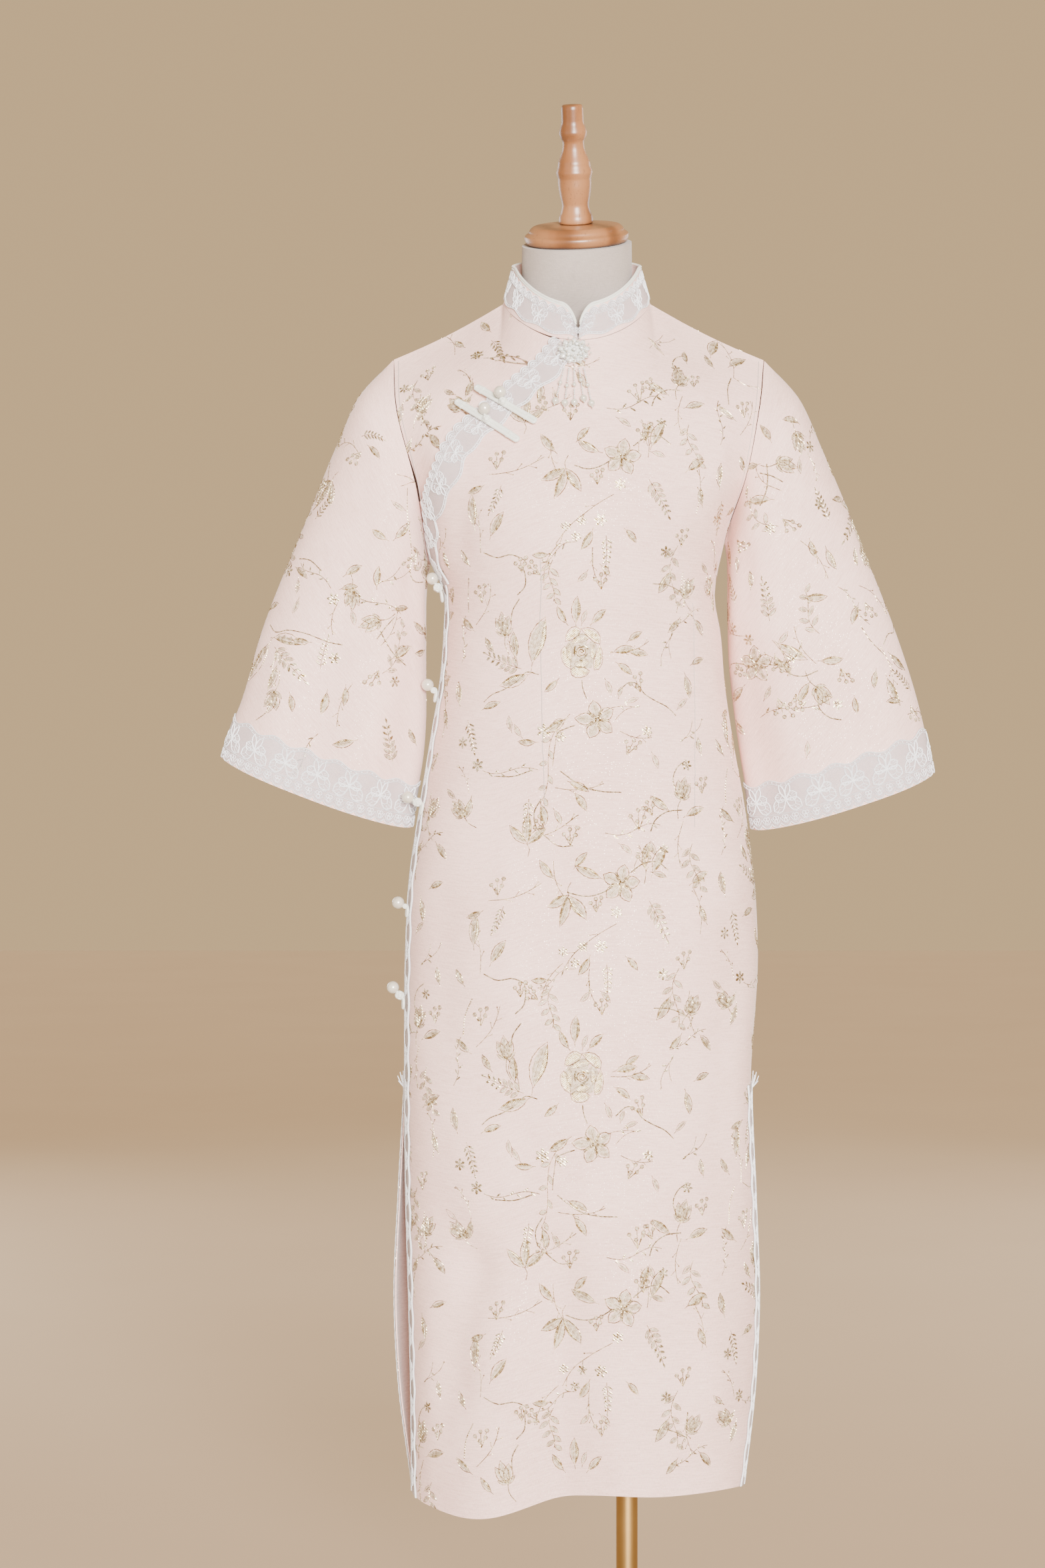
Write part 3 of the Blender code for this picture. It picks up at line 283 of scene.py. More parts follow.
BASE_PROFILE = (
    (0.0, 0.0), (BASE_RADIUS - 0.002, 0.0), (BASE_RADIUS, 0.002), (BASE_RADIUS, 0.009),
    (BASE_RADIUS - 0.004, 0.0125), (0.0, 0.0140),
)
SOCKET_FOOT = 0.0143
SOCKET_PROFILE = (
    (0.0, 0.0), (0.028, 0.0), (0.027, 0.003), (0.021, 0.006), (0.018, 0.022), (0.0165, 0.026), (0.0, 0.026),
)


# Curves and the body surface

TINY = 1e-12
HALVINGS = 26
PLACE_STEPS = 25


def unit(vectors, least=0.0):
    """Vectors brought to length one; the least length keeps empty ones from failing."""
    return vectors / (np.linalg.norm(vectors, axis=-1, keepdims=True) + least)


def walked(points):
    """Length walked along a path up to each of its points."""
    return np.concatenate(([0], np.cumsum(np.linalg.norm(np.diff(points, axis=0), axis=1))))


def smoothed(values, reach):
    """A running mean over so many neighbours on both sides."""
    window = np.ones(2 * reach + 1) / (2 * reach + 1)
    return np.convolve(np.pad(values, reach, mode="edge"), window, mode="valid")


def turns(count):
    """Angles of evenly spaced places round a circle."""
    return 2 * math.pi * np.arange(count) / count


def circle(u, v, radius, count):
    """Flat points round a circle."""
    return np.stack((u + radius * np.cos(turns(count)), v + radius * np.sin(turns(count))), 1)


def hermite(stations, values, at):
    """Points at many places on smooth curves; values run (station, place, axis)."""
    stations = np.asarray(stations, float)
    values = np.asarray(values, float)
    slopes = np.gradient(values, stations, axis=0)
    i = np.clip(np.searchsorted(stations, at) - 1, 0, len(stations) - 2)
    step = (stations[i + 1] - stations[i])[:, None]
    u = (at - stations[i])[:, None] / step
    n = np.arange(len(at)) if values.shape[1] > 1 else 0
    start = (1 + 2 * u) * (1 - u) ** 2 * values[i, n] + u * (1 - u) ** 2 * step * slopes[i, n]
    end = u * u * (3 - 2 * u) * values[i + 1, n] + u * u * (u - 1) * step * slopes[i + 1, n]
    return start + end


def section_points(side, row, column):
    """Points of one level section of the lower body."""
    height, front_right, back_right, left, front, back, slit = row
    angle = math.pi * column
    across = np.abs(np.cos(angle)) ** (2 / SQUARENESS)
    deep = np.maximum(np.sin(angle), 0.0) ** (2 / SQUARENESS)
    right = front_right if side == "front" else back_right
    x = np.where(column < 0.5, -right * across, left * across)
    y = -front * deep - slit if side == "front" else back * deep + slit
    z = np.full(len(column), height)
    if height == ARMPIT:
        z = ARMPIT_RIGHT + (ARMPIT_LEFT - ARMPIT_RIGHT) * column
    if height == HEM:
        drops = np.array([entry[1 if side == "front" else 2] for entry in HEM_LINE])[:, None, None]
        z = z + hermite([entry[0] for entry in HEM_LINE], drops, column)[:, 0]
    return np.stack((x, y, z), 1)


def yoke_points(row, column):
    """Points of one curved row over the chest or the shoulder blades."""
    edge_right, edge_left, shoulder, neck, centre = row[1:]
    mirrored = [(-x, y, z) for x, y, z in (shoulder, neck)]
    stations = (0.0, SHOULDER_COLUMN, NECK_COLUMN, 0.5, 1 - NECK_COLUMN, 1 - SHOULDER_COLUMN, 1.0)
    points = (edge_right, *mirrored, (0.0, *centre), neck, shoulder, edge_left)
    return hermite(stations, np.array(points)[:, None, :], column)


def top_points(side, column):
    """Points on the shoulder seam or the neckline."""
    column = np.asarray(column, float)
    turn = math.pi * np.clip((column - NECK_COLUMN) / (1 - 2 * NECK_COLUMN), 0, 1)
    reach, change = NECK_FRONT if side == "front" else NECK_BACK
    sign = -1 if side == "front" else 1
    neck = np.stack((-NECK_HALF * np.cos(turn), sign * reach * np.sin(turn),
                     NECK_SIDE + change * np.sin(turn) ** 1.4), 1)
    at_right = column < 0.5
    tip = np.where(at_right[:, None], SHOULDER_TIP["right"], SHOULDER_TIP["left"])
    share = np.minimum(np.minimum(column, 1 - column) / NECK_COLUMN, 1.0)
    neck_x = np.where(at_right, -NECK_HALF, NECK_HALF)
    dip = -0.003 * np.sin(math.pi * share)
    seam = np.stack((tip[:, 0] + (neck_x - tip[:, 0]) * share, 0 * share,
                     tip[:, 2] + (NECK_SIDE - tip[:, 2]) * share + dip), 1)
    over_neck = (column >= NECK_COLUMN) & (column <= 1 - NECK_COLUMN)
    return np.where(over_neck[:, None], neck, seam)


def line_distance(x, z, start_x, start_z, end_x, end_z):
    """Distance from a line seen from the front, and the share of its length."""
    run_x, run_z = end_x - start_x, end_z - start_z
    share = np.clip(((x - start_x) * run_x + (z - start_z) * run_z) / (run_x ** 2 + run_z ** 2), 0, 1)
    return np.hypot(x - start_x - share * run_x, z - start_z - share * run_z), share


def relief(side, x, z):
    """Height of the folds, creases and darts at places seen from the front."""
    total = np.zeros(len(x))
    for start_x, start_z, end_x, end_z, half_width, height in FOLDS[side]:
        away, _ = line_distance(x, z, start_x, start_z, end_x, end_z)
        total += height * np.exp(-(away / half_width) ** 2)
    for start_x, start_z, end_x, end_z, half_width, height in CREASES[side]:
        away, share = line_distance(x, z, start_x, start_z, end_x, end_z)
        fade = 1 - CREASE_FADE * share
        total += height * fade * np.exp(-(away / half_width) ** 2)
    for dart in DARTS[side]:
        for (x0, z0), (x1, z1) in zip(dart, dart[1:]):
            away, _ = line_distance(x, z, x0, z0, x1, z1)
            total -= DART_DEPTH / 2 * np.exp(-(away / DART_WIDTH) ** 2)
            total += DART_DEPTH / 3 * np.exp(-(away / (DART_WIDTH * 5)) ** 2)
    return total


KEY_HEIGHTS = [row[0] for row in BODY] + [row[0] for row in YOKE["front"]] + [SHOULDER]


def body(side, column, height):
    """Points on the outside of the dress body, for arrays of column and nominal height."""
    column, height = np.broadcast_arrays(np.asarray(column, float), np.asarray(height, float))
    shape = column.shape
    column = np.clip(column.ravel(), 0.0, 1.0)
    height = height.ravel()
    keys = [section_points(side, row, column) for row in BODY]
    keys += [yoke_points(row, column) for row in YOKE[side]]
    keys.append(top_points(side, column))
    x, y, z = hermite(KEY_HEIGHTS, np.array(keys), height).T
    y = np.minimum(y, 0.0) if side == "front" else np.maximum(y, 0.0)
    push = unit(np.stack((x * SIDE_PUSH, y), 1), 1e-9)
    lift = relief(side, x, z) * np.minimum(1.0, 6 * np.minimum(column, 1 - column))
    made = np.stack((x + push[:, 0] * lift, y + push[:, 1] * lift, z), 1)
    return made.reshape(*shape, 3)


def outward(side, column, height):
    """Outward directions of the dress body; at a side or shoulder seam both panels share them."""
    column, height = np.broadcast_arrays(np.asarray(column, float), np.asarray(height, float))
    step = 0.004
    across = (body(side, np.minimum(column + step, 1.0), height)
              - body(side, np.maximum(column - step, 0.0), height))
    top = np.minimum(height + step, SHOULDER)
    up = body(side, column, top) - body(side, column, top - 2 * step)
    direction = np.cross(across, up)
    if side == "back":
        direction = -direction
    at_side = ((column <= 0.0) | (column >= 1.0)) & (height <= ARMPIT)
    beside_neck = ~((column > NECK_COLUMN) & (column < 1 - NECK_COLUMN))
    at_shoulder = (height >= SHOULDER - 1e-6) & beside_neck
    direction[..., 1] = np.where(at_side | at_shoulder, 0.0, direction[..., 1])
    return unit(direction)


def placket_height(column):
    """Nominal heights where the placket line crosses the columns."""
    column = np.asarray(column, float)
    xs = [x for x, _ in reversed(PLACKET)]
    zs = [z for _, z in reversed(PLACKET)]
    low = np.full(column.shape, ARMPIT)
    high = np.full(column.shape, SHOULDER)
    for _ in range(HALVINGS):
        middle = (low + high) / 2
        place = body("front", column, middle)
        below = place[..., 2] < np.interp(place[..., 0], xs, zs)
        low = np.where(below, middle, low)
        high = np.where(below, high, middle)
    return np.where(column >= PLACKET_COLUMN, SHOULDER, (low + high) / 2)


def front_place(x, z):
    """Column and nominal height of places on the front, as seen from the camera."""
    x, z = np.atleast_1d(np.asarray(x, float)), np.atleast_1d(np.asarray(z, float))
    column, height = 0.5 + x * 1.8, z.copy()
    step = 0.002
    for _ in range(PLACE_STEPS):
        here = body("front", column, height)
        along = (body("front", column + step, height) - here) / step
        up = (body("front", column, height + step) - here) / step
        a, b, c, d = along[:, 0], up[:, 0], along[:, 2], up[:, 2]
        off_x, off_z = x - here[:, 0], z - here[:, 2]
        share = a * d - b * c
        share = np.where(np.abs(share) < 1e-9, 1e-9, share)
        column = np.clip(column + np.clip((d * off_x - b * off_z) / share, -0.05, 0.05), 0.01, 0.99)
        height = np.clip(height + np.clip((a * off_z - c * off_x) / share, -0.03, 0.03), HEM, SHOULDER)
    return column, height


def above(x, z, lift):
    """Point a given height above the front panel at a place seen from the front."""
    column, height = front_place(x, z)
    return (body("front", column, height) + outward("front", column, height) * lift)[0]


# Cloth grids: every trim is placed on the grid of the piece that carries it

class Cloth:
    """A grid of points over the outside of a piece, with its own flat measure."""

    def __init__(self, points, normals):
        self.points = points
        self.normals = normals
        across = np.linalg.norm(np.diff(points, axis=1), axis=2)
        up = np.linalg.norm(np.diff(points, axis=0), axis=2)
        middle = points.shape[1] // 2
        self.u = np.concatenate((np.zeros((len(points), 1)), np.cumsum(across, axis=1)), axis=1)
        self.u -= self.u[:, middle:middle + 1]
        self.v = np.concatenate((np.zeros((1, points.shape[1])), np.cumsum(up, axis=0)), axis=0)

    def at(self, i, j, lift=0.0):
        """Points and normals at fractional rows and columns."""
        rows, columns = self.points.shape[:2]
        i = np.clip(i, 0, rows - 1.001)
        j = np.clip(j, 0, columns - 1.001)
        a, b = i.astype(int), j.astype(int)
        s, t = (i - a)[..., None], (j - b)[..., None]

        def mix(grid):
            return ((grid[a, b] * (1 - t) + grid[a, b + 1] * t) * (1 - s)
                    + (grid[a + 1, b] * (1 - t) + grid[a + 1, b + 1] * t) * s)

        normal = unit(mix(self.normals))
        return mix(self.points) + normal * np.asarray(lift)[..., None], normal

    def seen(self, x, z):
        """Row and column of the point seen at a place from the front or back, and how far off it is."""
        away = (self.points[..., 0] - x) ** 2 + (self.points[..., 2] - z) ** 2
        away = away + (np.abs(self.normals[..., 1]) < EDGE_ON)
        return nearest(away)

    def flat(self, u, v):
        """Row and column of the point at a place of the flat measure, and how far off it is."""
        away = (self.u - u) ** 2 + (self.v - v) ** 2
        return nearest(away)

    def around(self, i, j, u, v):
        """Rows and columns at flat steps u across and v up from one grid place."""
        rows, columns = self.points.shape[:2]
        a, b = int(np.clip(i, 1, rows - 2)), int(np.clip(j, 1, columns - 2))
        along = (self.points[a, b + 1] - self.points[a, b - 1]) / 2
        up = (self.points[a + 1, b] - self.points[a - 1, b]) / 2
        level = unit(along)
        rise = unit(up - level * (up @ level))
        basis = np.array(((along @ level, up @ level), (along @ rise, up @ rise)))
        steps = np.linalg.solve(basis, np.stack((np.ravel(u), np.ravel(v))))
        return i + steps[1].reshape(np.shape(u)), j + steps[0].reshape(np.shape(u))


def nearest(away):
    """Row and column of the least squared distance in a grid, and that distance."""
    i, j = np.unravel_index(np.argmin(away), away.shape)
    return float(i), float(j), math.sqrt(away[i, j])


EDGE_ON = 0.12


def ring_normals(rings, centre):
    """Unit normals of rings of points, facing away from their middle line."""
    across = np.roll(rings, -1, axis=1) - np.roll(rings, 1, axis=1)
    normals = unit(np.cross(across, np.gradient(rings, axis=0)), TINY)
    return -normals if ((rings - centre) * normals).sum() < 0 else normals


def panel_cloth(side, columns, heights):
    """Cloth grid of a body panel; heights is a (row, column) array."""
    wide = np.broadcast_to(columns, heights.shape)
    return Cloth(body(side, wide, heights), outward(side, wide, heights))


# Meshes

SMOOTH_ANGLE = 60


class Batch:
    """Points and faces gathered for one mesh, with a finish number for each face."""

    def __init__(self):
        self.points = []
        self.faces = []
        self.finishes = []
        self.corners = []
        self.count = 0

    def add(self, points, faces, finish=0, corners=None):
        """Adds points and the faces that number them, and gives the number of the first point."""
        base = self.count
        self.points.append(np.asarray(points).reshape(-1, 3))
        self.count += len(self.points[-1])
        self.cover(faces, base, finish, corners)
        return base

    def cover(self, faces, base, finish=0, corners=None):
        """Adds faces over points that are there already, numbered from the given one."""
        faces = np.asarray(faces)
        self.faces.append(faces + base)
        self.finishes.append(np.full(len(faces), finish))
        self.corners.append(np.zeros((*faces.shape, 2)) if corners is None else corners)

    def mesh(self, name):
        """A bare mesh of what was gathered."""
        made = bpy.data.meshes.new(name)
        faces = [face for group in self.faces for face in group.tolist()]
        made.from_pydata(np.concatenate(self.points).tolist(), [], faces)
        return made

    def piece(self, name, finishes, smooth=SMOOTH_ANGLE):
        """The mesh object of what was gathered, with its map and finishes."""
        mesh = self.mesh(name)
        mesh.polygons.foreach_set("material_index", np.concatenate(self.finishes).astype(np.int32))
        flat = mesh.uv_layers.new(name="UVMap")
        corners = np.concatenate([group.reshape(-1, 2) for group in self.corners])
        flat.data.foreach_set("uv", corners.astype(np.float32).ravel())
        for finish in finishes:
            mesh.materials.append(material(finish))
        if smooth:
            soften(mesh, smooth)
        mesh.update()
        return shown(name, mesh)


def soften(mesh, degrees):
    """Smooth shading, with edges sharper than the angle left sharp."""
    mesh.shade_smooth()
    mesh.set_sharp_from_angle(angle=math.radians(degrees))


def shown(name, data):
    """A new object of this data, put into the scene."""
    made = bpy.data.objects.new(name, data)
    bpy.context.scene.collection.objects.link(made)
    return made


def settle(made, slot, nodes=()):
    """Fixes a finished piece to the dress and hides the solids it stands for; the slot is not used."""
    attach(made, "root")
    if nodes:
        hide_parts(*nodes)
    return made


def quad_grid(rows, columns, ring=False):
    """Corner numbers of the quads of a grid, with their rows and columns."""
    i, j = np.meshgrid(np.arange(rows - 1), np.arange(columns if ring else columns - 1), indexing="ij")
    i, j = i.ravel(), j.ravel()
    k = (j + 1) % columns
    quads = np.stack((i * columns + j, i * columns + k, (i + 1) * columns + k, (i + 1) * columns + j), 1)
    return quads, i, j


def wall(batch, outer, inner, ring=False):
    """A closed wall between two grids of points, with its flat measure as the map."""
    rows, columns = outer.shape[:2]
    quads, i, j = quad_grid(rows, columns, ring)
    closed = np.concatenate((outer, outer[:, :1]), axis=1) if ring else outer
    across = np.linalg.norm(np.diff(closed, axis=1), axis=2)
    u = np.concatenate((np.zeros((rows, 1)), np.cumsum(across, axis=1)), axis=1)
    u -= u[:, closed.shape[1] // 2][:, None]
    v = np.concatenate((np.zeros((1, closed.shape[1])),
                        np.cumsum(np.linalg.norm(np.diff(closed, axis=0), axis=2), axis=0)))
    uv = np.stack((u, v), 2)
    corners = np.stack((uv[i, j], uv[i, j + 1], uv[i + 1, j + 1], uv[i + 1, j]), 1)
    far = rows * columns
    faces = [quads, far + quads[:, ::-1]]
    maps = [corners, corners[:, ::-1]]
    first, last = i == 0, i == rows - 2
    a, b, c, d = quads.T
    bands = [(first, (b, a, a + far, b + far), (1, 0, 0, 1)), (last, (d, c, c + far, d + far), (3, 2, 2, 3))]
    if not ring:
        bands += [(j == 0, (a, d, d + far, a + far), (0, 3, 3, 0)),
                  (j == columns - 2, (c, b, b + far, c + far), (2, 1, 1, 2))]
    for chosen, order, corner in bands:
        faces.append(np.stack(order, 1)[chosen])
        maps.append(corners[chosen][:, corner])
    faces = np.concatenate(faces)
    maps = np.concatenate(maps)
    points = np.concatenate((outer.reshape(-1, 3), inner.reshape(-1, 3)))
    p = points[quads]
    normal = np.cross(p[:, 2] - p[:, 0], p[:, 3] - p[:, 1])
    if (normal * (points[quads[:, 0]] - points[far + quads[:, 0]])).sum() < 0:
        faces, maps = faces[:, ::-1], maps[:, ::-1]
    batch.add(points, faces, corners=maps)


def ends(rows, sides):
    """Both end faces of a row of rings."""
    k = np.arange(sides)
    return np.stack((k[::-1], (rows - 1) * sides + k))


def ring_map(i, j, step, along):
    """Map corners of quads round a ring: steps round it, and lengths along it."""
    return np.stack((np.stack((j, j + 1, j + 1, j), 1) * step, along[np.stack((i, i, i + 1, i + 1), 1)]), 2)


def turned(batch, profile, sides, place):
    """A turned solid from (radius, height) points, with its ends on the axis."""
    turn = turns(sides)
    radii = np.array([radius for radius, _ in profile])[1:-1, None]
    heights = np.array([height for _, height in profile])[1:-1, None]
    rings = np.stack((radii * np.cos(turn), radii * np.sin(turn), heights + 0 * turn), 2)
    points = np.concatenate((rings.reshape(-1, 3), [(0, 0, profile[0][1]), (0, 0, profile[-1][1])]))
    matrix = np.array(place)
    points = points @ matrix[:3, :3].T + matrix[:3, 3]
    rows = len(rings)
    quads, i, j = quad_grid(rows, sides, ring=True)
    step = 2 * math.pi * float(radii.max()) / sides
    corners = ring_map(i, j, step, walked(np.concatenate((radii, heights), axis=1)))
    k = np.arange(sides)
    after = (k + 1) % sides
    foot, head = rows * sides, rows * sides + 1
    bottom = np.stack((after, k, np.full(sides, foot)), 1)
    top = np.stack(((rows - 1) * sides + k, (rows - 1) * sides + after, np.full(sides, head)), 1)
    batch.cover(np.concatenate((bottom, top)), batch.add(points, quads, corners=corners))


ROUND_STEPS = 4


def rounded(profile, radius):
    """A profile with its corners rounded off."""
    made = [profile[0]]
    for before, here, after in zip(profile, profile[1:], profile[2:]):
        back, ahead = np.array(before) - here, np.array(after) - here
        cut = min(radius, 0.45 * np.linalg.norm(back), 0.45 * np.linalg.norm(ahead))
        start = here + back / np.linalg.norm(back) * cut
        end = here + ahead / np.linalg.norm(ahead) * cut
        for k in range(ROUND_STEPS + 1):
            t = k / ROUND_STEPS
            made.append(tuple((1 - t) ** 2 * start + 2 * t * (1 - t) * np.array(here) + t * t * end))
    return made + [profile[-1]]


def spline(points, count):
    """Evenly numbered points on a smooth curve through the given points."""
    points = np.asarray(points, float)
    lengths = walked(points)
    if len(points) == 2:
        return points[0] + (points[1] - points[0]) * np.linspace(0, 1, count)[:, None]
    return hermite(lengths, points[:, None, :], np.linspace(0, lengths[-1], count))


def run_of(path, closed=False):
    """Directions along a path at each of its points."""
    if closed:
        return unit(np.roll(path, -1, axis=0) - np.roll(path, 1, axis=0), TINY)
    return unit(np.gradient(path, axis=0), TINY)


def tube(batch, path, radius, sides=8, guide=(0, -1, 0.2), thin=1.0, closed=False):
    """A round or flattened tube along a path of points, capped unless it is a closed loop."""
    path = np.asarray(path, float)
    count = len(path)
    radii = np.broadcast_to(np.asarray(radius, float), (count,))
    along = run_of(path, closed)
    guide = np.broadcast_to(np.asarray(guide, float), path.shape)
    first = unit(np.cross(guide, along), TINY)
    second = np.cross(along, first)
    turn = turns(sides)
    rings = (path[:, None] + radii[:, None, None] * (first[:, None] * np.cos(turn)[None, :, None]
             + thin * second[:, None] * np.sin(turn)[None, :, None]))
    lengths = walked(path)
    rows = np.concatenate((rings, rings[:1])) if closed else rings
    quads, i, j = quad_grid(len(rows), sides, ring=True)
    lengths = np.append(lengths, lengths[-1]) if closed else lengths
    corners = ring_map(i, j, 2 * math.pi * float(radii.max()) / sides, lengths)
    base = batch.add(rings, quads % (count * sides), corners=corners)
    if not closed:
        batch.cover(ends(count, sides), base)


def ball(batch, centre, radius, sides, rings, stretch=(1.0, 1.0, 1.0)):
    """A round bead."""
    profile = [(radius * math.sin(math.pi * k / rings), -radius * math.cos(math.pi * k / rings))
               for k in range(rings + 1)]
    turned(batch, profile, sides, Matrix.Translation(centre) @ Matrix.Diagonal((*stretch, 1)))


def taken(node, name):
    """A plain copy of an evaluated Geometry Nodes object, with the object itself removed."""
    made_from = node.evaluated_get(bpy.context.evaluated_depsgraph_get())
    mesh = bpy.data.meshes.new_from_object(made_from)
    mesh.name = name
    source = node.data
    bpy.data.objects.remove(node, do_unlink=True)
    bpy.data.meshes.remove(source)
    return shown(name, mesh)


REPEAT_NAME = "Repeated trim"
REPEAT_INPUTS = (("Geometry", "Geometry"), ("Shape", "Object"), ("Size", "Float"), ("Size change", "Float"),
                 ("Finish", "Material"))
REPEAT_SEED = 7


def repeated_tree():
    """Node tree that stands one small shape on every point, turned to its normal and its run."""
    tree = bpy.data.node_groups.new(REPEAT_NAME, "GeometryNodeTree")
    tree.interface.new_socket("Geometry", in_out="OUTPUT", socket_type="NodeSocketGeometry")
    for name, kind in REPEAT_INPUTS:
        tree.interface.new_socket(name, in_out="INPUT", socket_type=f"NodeSocket{kind}")
    nodes, links = tree.nodes, tree.links

    def add(kind, settings=(), **values):
        node = nodes.new(kind)
        for key, value in settings:
            setattr(node, key, value)
        for key, value in values.items():
            socket = node.inputs[key.replace("_", " ")]
            if isinstance(value, bpy.types.NodeSocket):
                links.new(value, socket)
            else:
                socket.default_value = value
        return node

    given = add("NodeGroupInput")
    normal = add("GeometryNodeInputNamedAttribute", [("data_type", "FLOAT_VECTOR")], Name="out")
    along = add("GeometryNodeInputNamedAttribute", [("data_type", "FLOAT_VECTOR")], Name="along")
    upright = add("FunctionNodeAlignRotationToVector", [("axis", "Z")], Vector=normal.outputs["Attribute"])
    turned_on = add("FunctionNodeAlignRotationToVector", [("axis", "X"), ("pivot_axis", "Z")],
                    Rotation=upright.outputs["Rotation"], Vector=along.outputs["Attribute"])
    chance = add("FunctionNodeRandomValue", [("data_type", "FLOAT")])
    chance.inputs["Seed"].default_value = REPEAT_SEED
    chance.inputs[2].default_value = -1.0
    chance.inputs[3].default_value = 1.0
    change = add("ShaderNodeMath", [("operation", "MULTIPLY_ADD")])
    links.new(chance.outputs[1], change.inputs[0])
    links.new(given.outputs["Size change"], change.inputs[1])
    links.new(given.outputs["Size"], change.inputs[2])
    shape = add("GeometryNodeObjectInfo", Object=given.outputs["Shape"])
    placed = add("GeometryNodeInstanceOnPoints", Points=given.outputs["Geometry"],
                 Instance=shape.outputs["Geometry"], Rotation=turned_on.outputs["Rotation"],
                 Scale=change.outputs[0])
    real = add("GeometryNodeRealizeInstances", Geometry=placed.outputs["Instances"])
    finished = add("GeometryNodeSetMaterial", Geometry=real.outputs["Geometry"],
                   Material=given.outputs["Finish"])
    result = add("NodeGroupOutput")
    links.new(finished.outputs["Geometry"], result.inputs["Geometry"])
    return tree


def repeat(name, points, normals, along, shape, finish, size, change):
    """One mesh with a small shape on every point."""
    points = np.asarray(points, float).reshape(-1, 3)
    mesh = bpy.data.meshes.new(name)
    mesh.from_pydata(points.tolist(), [], [])
    for key, values in (("out", normals), ("along", along)):
        layer = mesh.attributes.new(key, "FLOAT_VECTOR", "POINT")
        layer.data.foreach_set("vector", np.asarray(values, np.float32).reshape(-1, 3).ravel())
    spots = shown(name + "_points", mesh)
    tree = bpy.data.node_groups.get(REPEAT_NAME) or repeated_tree()
    modifier = spots.modifiers.new("Repeat", "NODES")
    modifier.node_group = tree
    sockets = {item.name: item.identifier for item in tree.interface.items_tree
               if item.item_type == "SOCKET" and item.in_out == "INPUT"}
    inputs = {"Shape": shape, "Size": float(size), "Size change": float(change), "Finish": material(finish)}
    for key, value in inputs.items():
        modifier[sockets[key]] = value
    bpy.context.view_layer.update()
    made = taken(spots, name)
    soften(made.data, SMOOTH_ANGLE)
    return made


def small_shape(name, draw):
    """A small shape for repeating, drawn once and kept out of the scene."""
    found = bpy.data.objects.get(name)
    if found:
        return found
    batch = Batch()
    draw(batch)
    return bpy.data.objects.new(name, batch.mesh(name))


# Finishes

def tint(red, green, blue):
    """Linear colour of a screen colour given in 0 to 255."""
    made = []
    for level in (red, green, blue):
        level /= 255
        made.append(level / 12.92 if level <= 0.04045 else ((level + 0.055) / 1.055) ** 2.4)
    return (*made, 1.0)


class Amount:
    """A number socket of a finish, used in plain arithmetic."""

    def __init__(self, finish, socket):
        self.finish = finish
        self.socket = socket

    def worked(self, operation, *values):
        return self.finish.amount("ShaderNodeMath", [("operation", operation)], dict(enumerate(values)))

    def __add__(self, other):
        return self.worked("ADD", self, other)

    __radd__ = __add__

    def __mul__(self, other):
        return self.worked("MULTIPLY", self, other)

    __rmul__ = __mul__

    def __sub__(self, other):
        return self.worked("SUBTRACT", self, other)

    def __rsub__(self, other):
        return self.worked("SUBTRACT", other, self)

    def __pow__(self, other):
        return self.worked("POWER", self, other)

    def over(self, limit):
        return self.worked("GREATER_THAN", self, limit)

    def under(self, limit):
        return self.worked("LESS_THAN", self, limit)

    def sine(self):
        return self.worked("SINE", self)

    def held(self):
        """The amount held between 0 and 1."""
        return self.worked("MAXIMUM", self.worked("MINIMUM", self, 1.0), 0.0)


NOISE_ROUGHNESS = 0.55


